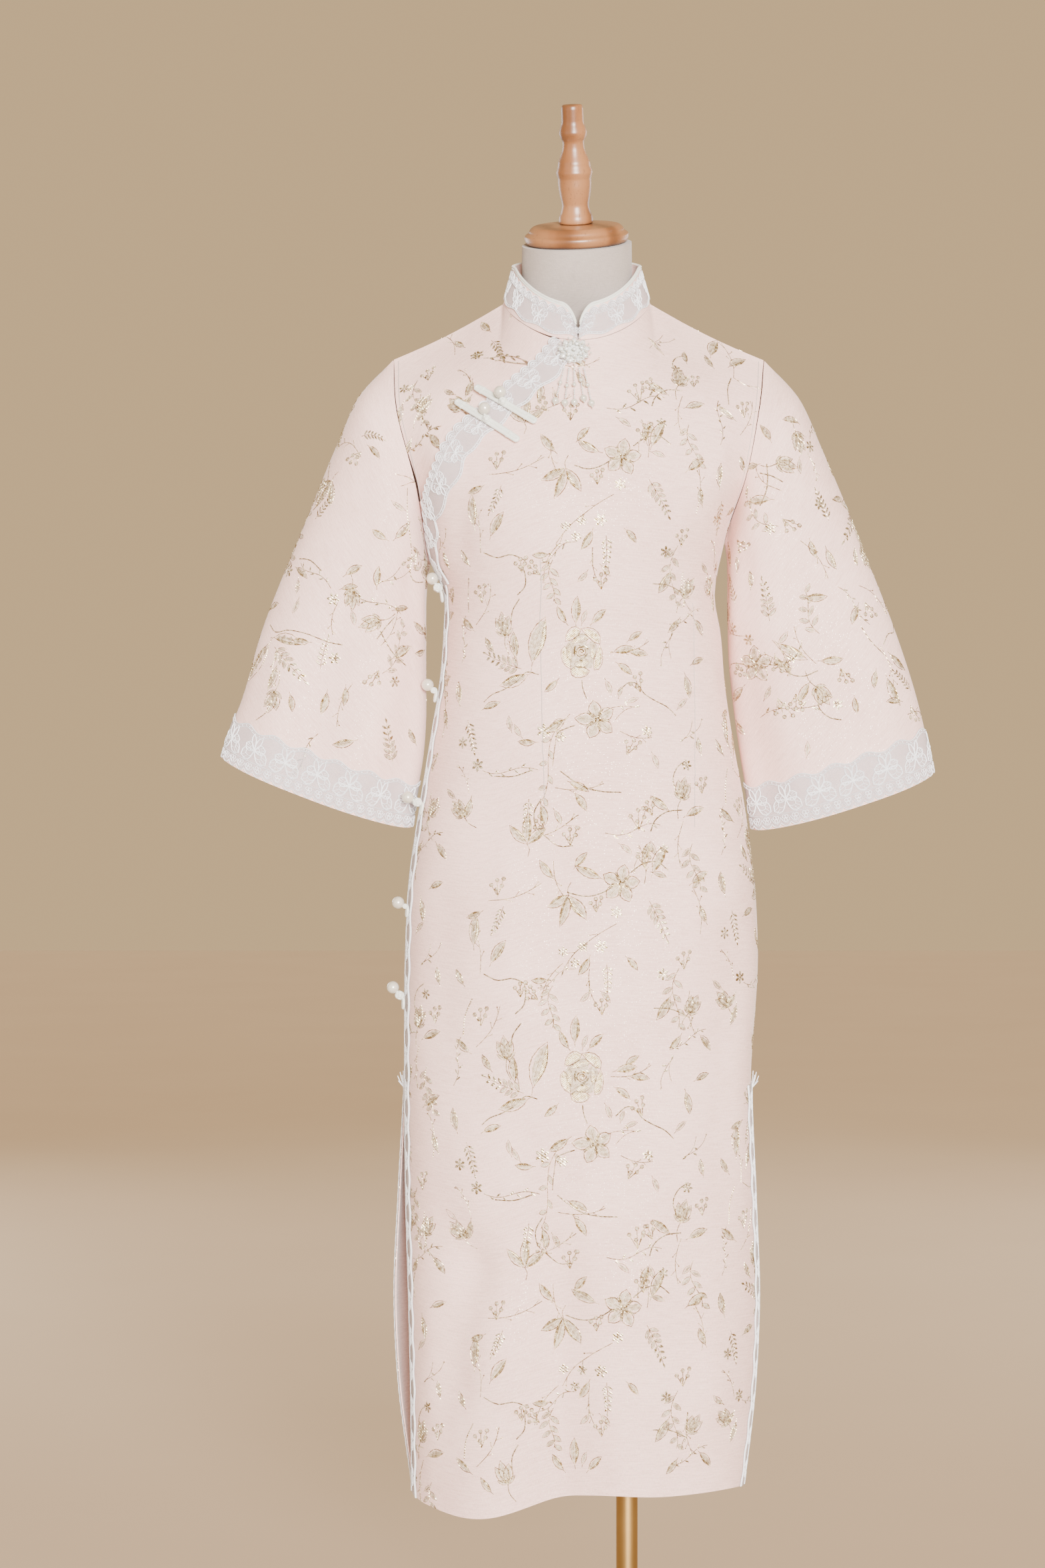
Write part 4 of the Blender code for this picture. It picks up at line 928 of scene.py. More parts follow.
class Finish:
    """One material while it is made."""

    def __init__(self, name, **constants):
        self.made = bpy.data.materials.new(name)
        self.made.use_nodes = True
        self.tree = self.made.node_tree
        self.shader = self.tree.nodes["Principled BSDF"]
        for key, value in constants.items():
            self.shader.inputs[key.replace("_", " ")].default_value = value

    def node(self, kind, settings=(), values=None):
        """Any node: its settings are set first, then the values or links of its sockets."""
        made = self.tree.nodes.new(kind)
        for key, value in settings:
            if key == "stops":
                ramp = made.color_ramp
                while len(ramp.elements) > 1:
                    ramp.elements.remove(ramp.elements[-1])
                for k, (place, colour) in enumerate(value):
                    stop = ramp.elements[0] if k == 0 else ramp.elements.new(place)
                    stop.position, stop.color = place, colour
            else:
                setattr(made, key, value)
        for key, value in (values or {}).items():
            self.feed(made.inputs[key], value)
        return made

    def feed(self, socket, value):
        """Links or sets one socket."""
        if isinstance(value, Amount):
            self.tree.links.new(value.socket, socket)
        elif isinstance(value, bpy.types.NodeSocket):
            self.tree.links.new(value, socket)
        else:
            socket.default_value = value

    def amount(self, kind, settings=(), values=None):
        """The first output of a node, for arithmetic."""
        return Amount(self, self.node(kind, settings, values).outputs[0])

    def place(self, space="Object", scale=(1, 1, 1), turn=(0, 0, 0)):
        """Object or UV coordinates in metres, scaled and turned."""
        given = self.node("ShaderNodeTexCoord").outputs[space]
        values = {"Vector": given, "Scale": scale, "Rotation": turn}
        return self.node("ShaderNodeMapping", (), values).outputs[0]

    def axis(self, vector, number):
        """One part of a vector."""
        return Amount(self, self.node("ShaderNodeSeparateXYZ", (), {0: vector}).outputs[number])

    def noise(self, where, scale, detail):
        """Soft clouds, so many to the metre."""
        values = {"Vector": where, "Scale": scale, "Detail": detail, "Roughness": NOISE_ROUGHNESS}
        return self.amount("ShaderNodeTexNoise", (), values)

    def cells(self, where, scale, feature="F1", output="Distance", random=1.0):
        """Distances or colours of scattered cells, so many to the metre."""
        values = {"Vector": where, "Scale": scale, "Randomness": random}
        made = self.node("ShaderNodeTexVoronoi", [("feature", feature)], values)
        return Amount(self, made.outputs[output])

    def mix(self, share, low, high):
        """Colour between two colours."""
        return self.node("ShaderNodeMix", [("data_type", "RGBA")], {0: share, 6: low, 7: high}).outputs[2]

    def ramp(self, amount, *stops):
        """Colour along a row of stops."""
        return self.node("ShaderNodeValToRGB", [("stops", stops)], {0: amount}).outputs[0]

    def bump(self, height, distance):
        """Relief of the surface, in metres."""
        values = {"Height": height, "Distance": distance, "Strength": 1.0}
        self.feed(self.shader.inputs["Normal"], self.node("ShaderNodeBump", (), values).outputs[0])

    def give(self, **sockets):
        """Feeds the shader and hands over the material."""
        for key, value in sockets.items():
            self.feed(self.shader.inputs[key.replace("_", " ")], value)
        return self.made


# Threads per metre of the weaves, with how coarse they are along the thread
FINE_WEAVE = 2600
FINE_RUN = 260
LINEN_WEAVE = 1500
LINEN_RUN = 120
SLUBS = (55, 620, 1)
FLECK_SIZE = 0.22
FLECK_CHANCE = 0.70
NET_CELLS = 760.0
NET_THREAD = 0.16


def cloth_finish(name, look):
    """Fine woven cloth with slubs and tiny metal flecks."""
    made = Finish(name, Sheen_Weight=0.25, Sheen_Roughness=0.4, Specular_IOR_Level=0.35)
    weft = made.noise(made.place("UV", (FINE_RUN, FINE_WEAVE, 1)), 1.0, 2.0)
    warp = made.noise(made.place("UV", (FINE_WEAVE, FINE_RUN, 1)), 1.0, 2.0)
    cloud = made.noise(made.place("Object"), 9.0, 3.0)
    slub = made.noise(made.place("UV", SLUBS), 1.0, 2.0)
    grain = (weft + warp) * 0.35 + slub * 0.3
    where = made.place("UV")
    spot = made.cells(where, look.fleck_scale).under(FLECK_SIZE)
    chance = made.axis(made.cells(where, look.fleck_scale, output="Color").socket, 0).over(FLECK_CHANCE)
    fleck = spot * chance
    share = (grain - 0.5) * 4.0 + (cloud - 0.5) * 0.9 + 0.62
    colour = made.mix(share.held(), look.cloth_shade, look.cloth_colour)
    colour = made.mix(fleck * 0.6, colour, tint(255, 248, 234))
    made.bump(grain, 0.00022)
    return made.give(Base_Color=colour, Roughness=0.82 - fleck * 0.35, Metallic=fleck * 0.4)


def thread_finish(name, low, high, metallic, roughness, hatch):
    """Metal-wrapped thread with a fine diagonal hatch."""
    made = Finish(name, Specular_IOR_Level=0.5)
    where = made.place("Object", turn=(0, 0.6, 0))
    x, z = made.axis(where, 0), made.axis(where, 2)
    lines = ((x + z * 0.35) * hatch).sine() * 0.5 + 0.5
    speck = made.noise(made.place("Object"), 330.0, 2.0)
    share = ((speck - 0.5) * 3.2 + 0.22 + lines * 0.3).held()
    made.bump(lines * 0.5 + speck, 0.0004)
    return made.give(Base_Color=made.mix(share, low, high),
                     Roughness=roughness + 0.2 * speck, Metallic=metallic - 0.3 * share)


def net_finish(name):
    """Tulle: a honeycomb of fine white threads that lets the cloth show."""
    made = Finish(name, Specular_IOR_Level=0.3, Sheen_Weight=0.2)
    where = made.place("UV")
    thread = made.cells(where, NET_CELLS, "DISTANCE_TO_EDGE", random=0.25).under(NET_THREAD)
    cloud = made.noise(made.place("Object"), 160.0, 2.0)
    solid = thread * 0.30 + 0.13 + cloud * 0.12
    made.bump(thread, 0.00015)
    return made.give(Base_Color=made.mix(cloud, tint(212, 207, 213), tint(234, 229, 232)),
                     Roughness=0.7, Alpha=solid)


def stitch_finish(name, low, high):
    """White stitched thread with a satin twist for the lace; the seam lines use the same thread in a dark
    grey-pink, which is painted shade of the seam creases.
    """
    made = Finish(name, Specular_IOR_Level=0.4, Sheen_Weight=0.2)
    twist = made.noise(made.place("Object", (1, 1, 0.35)), 1300.0, 2.0)
    cloud = made.noise(made.place("Object"), 60.0, 2.0)
    made.bump(twist, 0.00015)
    return made.give(Base_Color=made.mix(twist * 0.6 + cloud * 0.4, low, high), Roughness=0.6 + 0.2 * twist)


def satin_finish(name):
    """Satin ribbon: fine threads run along the cord, with a soft gloss."""
    made = Finish(name, Specular_IOR_Level=0.6, Sheen_Weight=0.3, Coat_Weight=0.15, Coat_Roughness=0.35)
    thread = made.noise(made.place("UV", (2400, 160, 1)), 1.0, 2.0)
    cloud = made.noise(made.place("Object"), 90.0, 2.0)
    made.bump(thread, 0.00012)
    colour = made.mix(thread * 0.5 + cloud * 0.5, tint(214, 218, 208), tint(248, 250, 242))
    return made.give(Base_Color=colour, Roughness=0.34 + 0.2 * thread)


def pearl_finish(name):
    """Nacre: cream with faint pink and green clouds under a clear gloss."""
    made = Finish(name, Specular_IOR_Level=0.6, Coat_Weight=0.8, Coat_Roughness=0.06, Sheen_Weight=0.2)
    cloud = made.noise(made.place("Object"), 110.0, 2.0)
    blush = made.noise(made.place("Object", (1, 1, 1.7)), 60.0, 1.0)
    colour = made.mix(cloud, tint(192, 184, 164), tint(232, 228, 214))
    colour = made.mix(blush * 0.15, colour, tint(222, 200, 190))
    made.bump(cloud, 0.00008)
    return made.give(Base_Color=colour, Roughness=0.22 + 0.12 * cloud, Metallic=0.12)


def crystal_finish(name):
    """Milky cut glass; the white lines along the cell edges are painted glints of its facets."""
    made = Finish(name, Specular_IOR_Level=0.8, Coat_Weight=1.0, Coat_Roughness=0.04, IOR=1.55)
    cloud = made.noise(made.place("Object"), 420.0, 2.0)
    # Lines along the cell edges, painted white below as glints of cut facets.
    painted_facet_glint = made.cells(made.place("Object"), 520.0, "DISTANCE_TO_EDGE").under(0.08)
    colour = made.mix(cloud, tint(184, 188, 182), tint(242, 244, 238))
    made.bump(made.cells(made.place("Object"), 520.0), 0.0004)
    return made.give(Base_Color=made.mix(painted_facet_glint * 0.5, colour, tint(255, 255, 255)),
                     Roughness=0.1 + 0.25 * cloud)


def linen_finish(name):
    """Grey-beige linen with slubs in both directions."""
    made = Finish(name, Sheen_Weight=0.2, Specular_IOR_Level=0.25)
    weft = made.noise(made.place("UV", (LINEN_RUN, LINEN_WEAVE, 1)), 1.0, 2.0)
    warp = made.noise(made.place("UV", (LINEN_WEAVE, LINEN_RUN, 1)), 1.0, 2.0)
    cloud = made.noise(made.place("Object"), 14.0, 3.0)
    grain = (weft + warp) * 0.5
    made.bump(grain, 0.0004)
    colour = made.mix(grain * 0.75 + cloud * 0.3, tint(122, 110, 102), tint(202, 190, 181))
    return made.give(Base_Color=colour, Roughness=0.95)


def wood_finish(name):
    """Light brown turned wood with rings and fine pores under a gloss varnish."""
    made = Finish(name, Specular_IOR_Level=0.5, Coat_Weight=0.2, Coat_Roughness=0.25)
    where = made.place("Object", (14, 14, 3.0), (0.15, 0.1, 0.0))
    wander = made.noise(where, 1.6, 3.0)
    x, y = made.axis(where, 0), made.axis(where, 1)
    rings = (((x + 1.1) * 9.0 + y * 5.0 + wander * 5.0).sine() * 0.5 + 0.5) ** 1.6
    pores = made.noise(made.place("Object", (900, 900, 45)), 1.0, 2.0).over(0.66)
    colour = made.ramp(rings, (0.0, tint(156, 108, 70)), (0.55, tint(138, 90, 54)), (1.0, tint(112, 70, 40)))
    colour = made.mix(pores * 0.45, colour, tint(92, 58, 32))
    made.bump(rings + pores * 0.6, 0.00010)
    return made.give(Base_Color=colour, Roughness=0.36 + 0.25 * pores)


def brass_finish(name):
    """Brushed brass, a little duller in patches."""
    made = Finish(name, Specular_IOR_Level=0.5)
    brush = made.noise(made.place("Object", (420, 420, 9)), 1.0, 3.0)
    patch = made.noise(made.place("Object"), 12.0, 4.0)
    made.bump(brush, 0.00006)
    return made.give(Base_Color=made.mix(patch, tint(138, 108, 62), tint(190, 156, 98)),
                     Metallic=1.0, Roughness=0.26 + 0.2 * patch + 0.1 * brush)


def paper_finish(name, look):
    """Matt floor paper."""
    made = Finish(name, Specular_IOR_Level=0.2)
    cloud = made.noise(made.place("Object"), 1.5, 3.0)
    made.bump(made.noise(made.place("Object"), 700.0, 2.0), 0.0001)
    return made.give(Base_Color=made.mix(cloud, look.floor_shade, look.floor_colour), Roughness=0.9)


def material(name):
    """The finish of this name, made once; the solids' own plain materials have the bare names."""
    made_name = f"{name}_finish"
    found = bpy.data.materials.get(made_name)
    if found:
        return found
    look = bpy.context.scene.dress_looks
    dull, pale = tint(184, 162, 134), tint(230, 212, 192)
    deep, bright = tint(146, 125, 88), tint(250, 238, 206)
    makers = {
        "cloth": lambda: cloth_finish(name, look),
        "gold_fill": lambda: thread_finish(name, dull, pale, 0.40, 0.36, 5200.0),
        "gold_rim": lambda: thread_finish(name, deep, bright, 0.85, 0.22, 2600.0),
        "gold_satin": lambda: thread_finish(name, look.thread_shade, look.thread_colour, 0.85, 0.28, 4200.0),
        "lace_net": lambda: net_finish(name),
        "lace_thread": lambda: stitch_finish(name, tint(226, 229, 236), tint(255, 255, 255)),
        # The seam lines' dark grey-pink is painted shade of the sewn creases.
        "seam_thread": lambda: stitch_finish(name, tint(172, 158, 152), tint(204, 190, 184)),
        "satin_cord": lambda: satin_finish(name),
        "pearl": lambda: pearl_finish(name),
        "crystal": lambda: crystal_finish(name),
        "linen": lambda: linen_finish(name),
        "wood": lambda: wood_finish(name),
        "brass": lambda: brass_finish(name),
        "floor_paper": lambda: paper_finish(name, look),
    }
    made = makers[name]()
    made.name = made_name
    return made


# Body panels, sleeves and collar

PANEL_COLUMNS = np.linspace(0.0, 1.0, 126)
LOWER_COUNT = 170
YOKE_COUNT = 44
SLEEVE_ROWS = 110
SLEEVE_AROUND = 96
ARMHOLE_STEP = 0.0012
SLEEVE_FLUTES = (
    # turn round the sleeve in degrees, half width in degrees, start share, end share, height
    (35, 16, 0.30, 1.0, -0.0050), (66, 15, 0.40, 1.0, 0.0045), (98, 14, 0.16, 1.0, -0.0048),
    (128, 15, 0.45, 1.0, 0.0036), (24, 11, 0.02, 0.42, 0.0030), (48, 10, 0.02, 0.35, -0.0026),
    (232, 16, 0.40, 1.0, 0.0040), (262, 14, 0.25, 1.0, -0.0048), (296, 15, 0.40, 1.0, 0.0042),
    (326, 15, 0.30, 1.0, -0.0046), (336, 11, 0.02, 0.42, 0.0028), (312, 10, 0.02, 0.35, -0.0026),
    (204, 14, 0.55, 1.0, -0.0028),
)
COLLAR_ALONG = 150
PIPING_STEPS = 180
PIPING_RADIUS = 0.00115
PIPING_LIFT = 0.0011
UP = np.array((0, 0, 1.0))


def panel_heights(top):
    """Nominal heights of a panel's grid, rows from the hem up to the given top of each column."""
    lower = np.linspace(HEM, ARMPIT, LOWER_COUNT, endpoint=False)[:, None] + 0 * top[None]
    upper = ARMPIT + (top - ARMPIT)[None] * np.linspace(0, 1, YOKE_COUNT)[:, None]
    return np.concatenate((lower, upper))


def full_heights():
    """Nominal heights of a panel that runs from the hem to the shoulder seam."""
    return panel_heights(np.full(len(PANEL_COLUMNS), SHOULDER))


def seam_nudge(side, columns, heights):
    """Moves panel edges half a seam apart along the side and shoulder seams."""
    at_side = ((columns <= 0.0) | (columns >= 1.0)) & (heights <= ARMPIT)
    nudge = np.where(at_side | (heights >= SHOULDER - 1e-6), SEAM, 0.0)
    return np.stack((0 * nudge, nudge if side == "back" else -nudge, 0 * nudge), -1)


def panel_wall(side, columns, heights, drop=0.0):
    """Closed wall of cloth over part of the body."""
    wide = np.broadcast_to(columns, heights.shape)
    points = body(side, wide, heights) + seam_nudge(side, wide, heights)
    normals = outward(side, wide, heights)
    drop = np.asarray(drop)[..., None]
    kept = np.arange(len(heights))
    if len(heights) > LOWER_COUNT:
        kept = kept[(kept % 2 == 0) | (kept >= LOWER_COUNT)]
    batch = Batch()
    wall(batch, (points - normals * drop)[kept], (points - normals * (drop + CLOTH))[kept])
    return batch


def underlap_drop(column, height, placket):
    """The underlap lies under the front panel and rises to its level towards the shoulder."""
    rise = np.clip((height - placket) / 0.05, 0.0, 1.0)
    near_neck = np.clip(1 - (PLACKET_COLUMN - column) / 0.06, 0.0, 1.0)
    return UNDERLAP_DROP * np.maximum(1 - rise, near_neck)


def armhole_loop(side, count):
    """Armhole points and directions from the armpit over the front to the shoulder and down the back."""
    column = 0.0 if side == "right" else 1.0
    half = count // 2
    share = np.arange(count) / half
    front = share <= 1
    heights = ARMPIT + (SHOULDER - ARMPIT) * np.where(front, share, 2 - share)
    columns = np.full(count, column)
    points = np.where(front[:, None], body("front", columns, heights), body("back", columns, heights))
    normals = np.where(front[:, None], outward("front", columns, heights), outward("back", columns, heights))
    return points, normals


def sleeve_grid(side):
    """Outer points of a sleeve, rows running from the armhole to the cuff."""
    points, normals = armhole_loop(side, SLEEVE_AROUND)
    turn = turns(SLEEVE_AROUND)
    rings = []
    for outer_x, outer_z, inner_x, inner_z, depth, sag in SLEEVES[side]:
        middle = np.array(((outer_x + inner_x) / 2, 0.0, (outer_z + inner_z) / 2))
        reach = np.array((inner_x, 0.0, inner_z)) - middle
        ring = middle + reach * np.cos(turn)[:, None]
        ring[:, 1] -= depth * np.sin(turn)
        ring[:, 2] -= sag * np.abs(np.sin(turn))
        rings.append(ring)
    rings = np.array([points + unit(rings[0] - points) * ARMHOLE_STEP + normals * SEAM] + rings)
    stations = np.concatenate(([0], np.cumsum(np.linalg.norm(np.diff(rings, axis=0), axis=2).mean(axis=1))))
    share = np.linspace(0, 1, SLEEVE_ROWS)
    fine = np.array([hermite(stations, rings, np.full(SLEEVE_AROUND, at)) for at in share * stations[-1]])
    fine[0] = rings[0]
    centre = fine.mean(axis=1, keepdims=True)
    degrees = np.degrees(turn)[None]
    along = share[:, None]
    lift = np.zeros(fine.shape[:2])
    for middle, half_width, start, end, height in SLEEVE_FLUTES:
        away = (degrees - middle + 180) % 360 - 180
        inside = np.clip((along - start) / 0.25, 0, 1) * np.clip((end + 0.12 - along) / 0.2, 0, 1)
        growth = 0.35 + 0.65 * along if end == 1.0 else 1.0
        lift += height * np.exp(-(away / half_width) ** 2) * inside ** 1.5 * growth
    fine = fine + ring_normals(fine, centre) * lift[..., None]
    return fine, ring_normals(fine, centre)


def collar_grid(rows, along=COLLAR_ALONG):
    """Points and directions up the stand collar, from the centre front round the back and forward."""
    third = along // 3
    front = np.linspace(0.5, 1 - NECK_COLUMN, third, endpoint=False)
    back = np.linspace(1 - NECK_COLUMN, NECK_COLUMN, third, endpoint=False)
    right = np.linspace(NECK_COLUMN, 0.5, third)
    base = np.concatenate((top_points("front", front), top_points("back", back), top_points("front", right)))
    base[0, 0] += SEAM
    base[-1, 0] -= SEAM
    base[:, 2] += 2 * SEAM
    lengths = walked(base)
    away = np.minimum(lengths, lengths[-1] - lengths)
    share = np.minimum(away / COLLAR_ROUND, 1.0)
    height = COLLAR_LEAST + (COLLAR_HEIGHT - COLLAR_LEAST) * np.sqrt(1 - (1 - share) ** 2)
    out = unit(base * (1, 1, 0))
    lean = smoothed(np.where(base[:, 1] <= 0.01, COLLAR_LEAN, COLLAR_BACK_LEAN), 6)[:, None]
    up = unit(UP - out * lean)
    across = unit(out + UP * lean)
    rows = np.asarray(rows)[:, None, None]
    points = base[None] + up[None] * height[None, :, None] * rows
    return points, np.broadcast_to(across, points.shape)


CLOTHS = {}


def carrier(name):
    """The grid of a piece that trim is laid on, worked out once."""
    if name not in CLOTHS:
        if name in ("front", "back"):
            CLOTHS[name] = panel_cloth(name, PANEL_COLUMNS, full_heights())
        elif name == "collar":
            CLOTHS[name] = Cloth(*collar_grid(np.linspace(0, 1, COLLAR_ROWS)))
        else:
            CLOTHS[name] = Cloth(*sleeve_grid(name.split("_")[1]))
    return CLOTHS[name]


def underlap_grid():
    """Columns and nominal heights of the upper front under the placket."""
    columns = PANEL_COLUMNS[PANEL_COLUMNS <= UNDERLAP_END]
    low = placket_height(columns) - OVERLAP
    return columns, low + (SHOULDER - low) * np.linspace(0, 1, YOKE_COUNT)[:, None]


def build_panels():
    """The front, the back and the upper front under the placket."""
    columns, heights = underlap_grid()
    drop = underlap_drop(columns, heights, placket_height(columns))
    front = panel_heights(placket_height(PANEL_COLUMNS))
    walls = (
        ("front_cloth", "front_panel", panel_wall("front", PANEL_COLUMNS, front)),
        ("back_cloth", "back_panel", panel_wall("back", PANEL_COLUMNS, full_heights())),
        ("underlap_cloth", "front_underlap", panel_wall("front", columns, heights, drop)),
    )
    for name, node, batch in walls:
        settle(batch.piece(name, ["cloth"]), "cloth", [node])


def build_sleeve(side):
    """One bell sleeve, open at the armhole and at the cuff."""
    grid = carrier(f"sleeve_{side}")
    batch = Batch()
    kept = np.unique((*range(0, len(grid.points), 2), len(grid.points) - 1))
    outer = grid.points[kept]
    wall(batch, outer, outer - grid.normals[kept] * CLOTH, ring=True)
    settle(batch.piece(f"sleeve_cloth_{side}", ["cloth"]), "cloth", [f"sleeve_{side}"])


def build_collar():
    """The stand collar and the satin piping along its upper edge."""
    points, normals = carrier("collar").points, carrier("collar").normals
    batch = Batch()
    wall(batch, points, points - normals * CLOTH)
    settle(batch.piece("collar_cloth", ["cloth"]), "cloth", ["collar"])
    piping = Batch()
    for drop in (0.0, 2 * PIPING_RADIUS):
        path = points[-1] + normals[-1] * (PIPING_LIFT - CLOTH / 2) - UP * drop
        tube(piping, spline(path[1:-1], PIPING_STEPS), PIPING_RADIUS)
    settle(piping.piece("collar_piping", ["satin_cord"]), "satin_cord")


# Dress form

TORSO_SIDES = 72
TORSO_ROWS = 120
NECK_ROWS = 8
TORSO_INSET = 0.992


def torso_rings():
    """Smooth level rings of the padded body, then the neck up to its tilted top."""
    turn = turns(TORSO_SIDES)
    heights = [row[0] for row in TORSO]
    sizes = np.array([row[1:] for row in TORSO])[:, None, :]
    rings = []
    for height in np.linspace(heights[0], heights[-1], TORSO_ROWS):
        half_width, front, back = hermite(heights, sizes, np.array([height]))[0] * TORSO_INSET
        deep = np.where(np.sin(turn) < 0, front, back)
        rings.append(np.stack((half_width * np.cos(turn), deep * np.sin(turn), height + 0 * turn), 1))
    place = np.array(head_place())
    top = np.stack((NECK_RADIUS * np.cos(turn), NECK_RADIUS * np.sin(turn), 0 * turn), 1)
    top = top @ place[:3, :3].T + place[:3, 3]
    shoulder = rings[-1]
    rings += [shoulder + (top - shoulder) * share for share in np.linspace(0, 1, NECK_ROWS + 1)[1:]]
    return np.array(rings)


def head_place():
    """Where the neck's top face lies: tilted forwards and a little to one side."""
    tilt = Matrix.Rotation(HEAD_TILT, 4, "X") @ Matrix.Rotation(HEAD_ROLL, 4, "Y")
    return Matrix.Translation((0.0, NECK_SHIFT, NECK_TOP)) @ tilt


def lofted(batch, rings):
    """A closed solid through level rings of points."""
    rows, count = rings.shape[:2]
    quads, i, j = quad_grid(rows, count, ring=True)
    closed = np.concatenate((rings, rings[:, :1]), axis=1)
    u = np.cumsum(np.linalg.norm(np.diff(closed, axis=1), axis=2), axis=1)
    u = np.concatenate((np.zeros((rows, 1)), u), axis=1)
    v = rings[:, 0, 2]
    corners = np.stack((np.stack((u[i, j], u[i, j + 1], u[i + 1, j + 1], u[i + 1, j]), 1),
                        v[np.stack((i, i, i + 1, i + 1), 1)]), 2)
    batch.cover(ends(rows, count), batch.add(rings, quads, corners=corners))


def build_form():
    """The padded torso, the wooden cap and finial, and the brass stand."""
    torso = Batch()
    lofted(torso, torso_rings())
    settle(torso.piece("torso_linen", ["linen"]), "linen", ["form_torso"])
    cap_place = head_place() @ Matrix.Translation((0, 0, SEAM))
    finial_place = cap_place @ Matrix.Translation((0, 0, CAP_PROFILE[-1][1] + SEAM))
    stand = Matrix.Translation((POLE_X, 0, 0))
    foot = SOCKET_FOOT + SOCKET_PROFILE[-1][1] + SEAM
    pole = ((0, foot), (POLE_RADIUS, foot), (POLE_RADIUS, POLE_HEAD), (0, POLE_HEAD))
    turned_pieces = (
        # name, solid, finish, profile, sides, place
        ("cap_wood", "form_cap", "wood", rounded(CAP_PROFILE, 0.0018), 64, cap_place),
        ("finial_wood", "form_finial", "wood", rounded(FINIAL_PROFILE, 0.0025), 40, finial_place),
        ("pole_brass", "form_pole", "brass", rounded(pole, 0.0012), 48, stand),
        ("socket_brass", "form_socket", "brass", rounded(SOCKET_PROFILE, 0.0015), 64,
         stand @ Matrix.Translation((0, 0, SOCKET_FOOT))),
        ("base_brass", "form_base", "brass", rounded(BASE_PROFILE, 0.0015), 128, stand),
    )
    for name, node, finish, profile, sides, place in turned_pieces:
        batch = Batch()
        turned(batch, profile, sides, place)
        settle(batch.piece(name, [finish], 40), finish, [node])


# Flat shapes laid on cloth

SUNK = -0.0001
RIM_RISE = 0.00022
BRIGHT_RISE = 0.00014
VEIN_RISE = 0.00012
BRIGHT_SIDE = np.array((0.34, 0.68, 1.0))
LEAST_HALF = 0.00008


def patch(batch, place, u, v, lift, finish):
    """A closed low relief over a grid of flat places; its edge is sunk and its underside is one face."""
    rows, columns = u.shape
    edge = np.ones(u.shape, bool)
    edge[1:-1, 1:-1] = False
    points = place(u, v, np.where(edge, SUNK, lift))
    quads, _, _ = quad_grid(rows, columns)
    number = np.arange(rows * columns).reshape(rows, columns)
    loop = np.concatenate((number[0], number[1:, -1], number[-1, -2::-1], number[-2:0:-1, 0]))
    batch.cover(loop[::-1][None], batch.add(points, quads, finish), finish)


def ribbon(batch, place, line, width, height, finish, closed=False, low=SUNK):
    """A three-sided cord along a flat line, raised in its middle."""
    line = np.asarray(line, float)
    along = run_of(line, closed)
    side = np.stack((-along[:, 1], along[:, 0]), 1) * (np.broadcast_to(width, (len(line),)) / 2)[:, None]
    across = np.stack((line - side, line, line + side), 1)
    points = place(across[..., 0], across[..., 1], np.broadcast_to((low, height, low), across.shape[:2]))
    quads, _, _ = quad_grid(len(line) + (1 if closed else 0), 3, ring=True)
    base = batch.add(points, quads[:, ::-1] % (3 * len(line)), finish)
    if not closed:
        batch.cover(ends(len(line), 3)[:, ::-1], base, finish)


def turned_place(cloth, row, column, angle):
    """Places flat shapes round one grid point of a cloth, turned by an angle."""
    cos, sin = math.cos(angle), math.sin(angle)

    def place(u, v, lift):
        rows, columns = cloth.around(row, column, u * cos - v * sin, u * sin + v * cos)
        return cloth.at(rows, columns, lift)[0]

    return place


def petal_line(length, width, rows, bend=0.0, fullness=1.0, blunt=1.0, foot=(0.0, 0.0), angle=0.0):
    """Middle line, half widths and sideways directions of a petal or leaf."""
    t = np.linspace(0, 1, rows)
    half = width / 2 * np.sin(math.pi * np.clip(t, 0.004, 0.996) ** fullness) ** blunt
    middle = np.stack((bend * length * t * t, length * t), 1)
    run = unit(np.gradient(middle, axis=0))
    side = np.stack((run[:, 1], -run[:, 0]), 1)
    cos, sin = math.cos(angle), math.sin(angle)
    turn = np.array(((cos, sin), (-sin, cos)))
    return middle @ turn + foot, half + LEAST_HALF, side @ turn


def outline_of(middle, half, side):
    """The closed outline of a petal from its middle line, half widths and sideways directions."""
    return np.concatenate((middle + side * half[:, None], (middle - side * half[:, None])[-2:0:-1]))


def petal(batch, place, length, width, fill, rim, lift, edge, half, vein=True, **shape):
    """A filled petal or leaf with a raised rim and a middle vein; half lays metal thread over one side."""
    middle, reach, side = petal_line(length, width, **shape)
    share = np.linspace(-1, 1, 3)
    grid = middle[:, None] + side[:, None] * (reach[:, None] * share)[..., None]
    crown = lift * (0.35 + 0.65 * (1 - share ** 2)) * np.ones((len(middle), 1))
    if vein:
        crown = crown - 0.35 * lift * np.exp(-(share * 4) ** 2)
    patch(batch, place, grid[..., 0], grid[..., 1], crown, fill)
    if half:
        bright = middle[:, None] + side[:, None] * (reach[:, None] * BRIGHT_SIDE)[..., None]
        patch(batch, place, bright[..., 0], bright[..., 1], np.full(bright.shape[:2], lift + BRIGHT_RISE), 2)
    if rim is not None:
        ribbon(batch, place, outline_of(middle, reach, side), edge, lift + RIM_RISE, rim, closed=True)
    if vein and rim is not None:
        ribbon(batch, place, middle[1:-1], edge * 0.7, lift + VEIN_RISE, rim)


def dot(batch, place, u, v, radius, finish, lift, count=8):
    """A small round raised spot."""
    points = [place(*circle(u, v, reach, count).T, np.full(count, height))
              for reach, height in ((radius, SUNK), (radius * 0.6, lift))]
    k = np.arange(count)
    after = (k + 1) % count
    base = batch.add(points, np.stack((k, after, count + after, count + k), 1), finish)
    batch.cover(ends(2, count), base, finish)


# Lace edgings

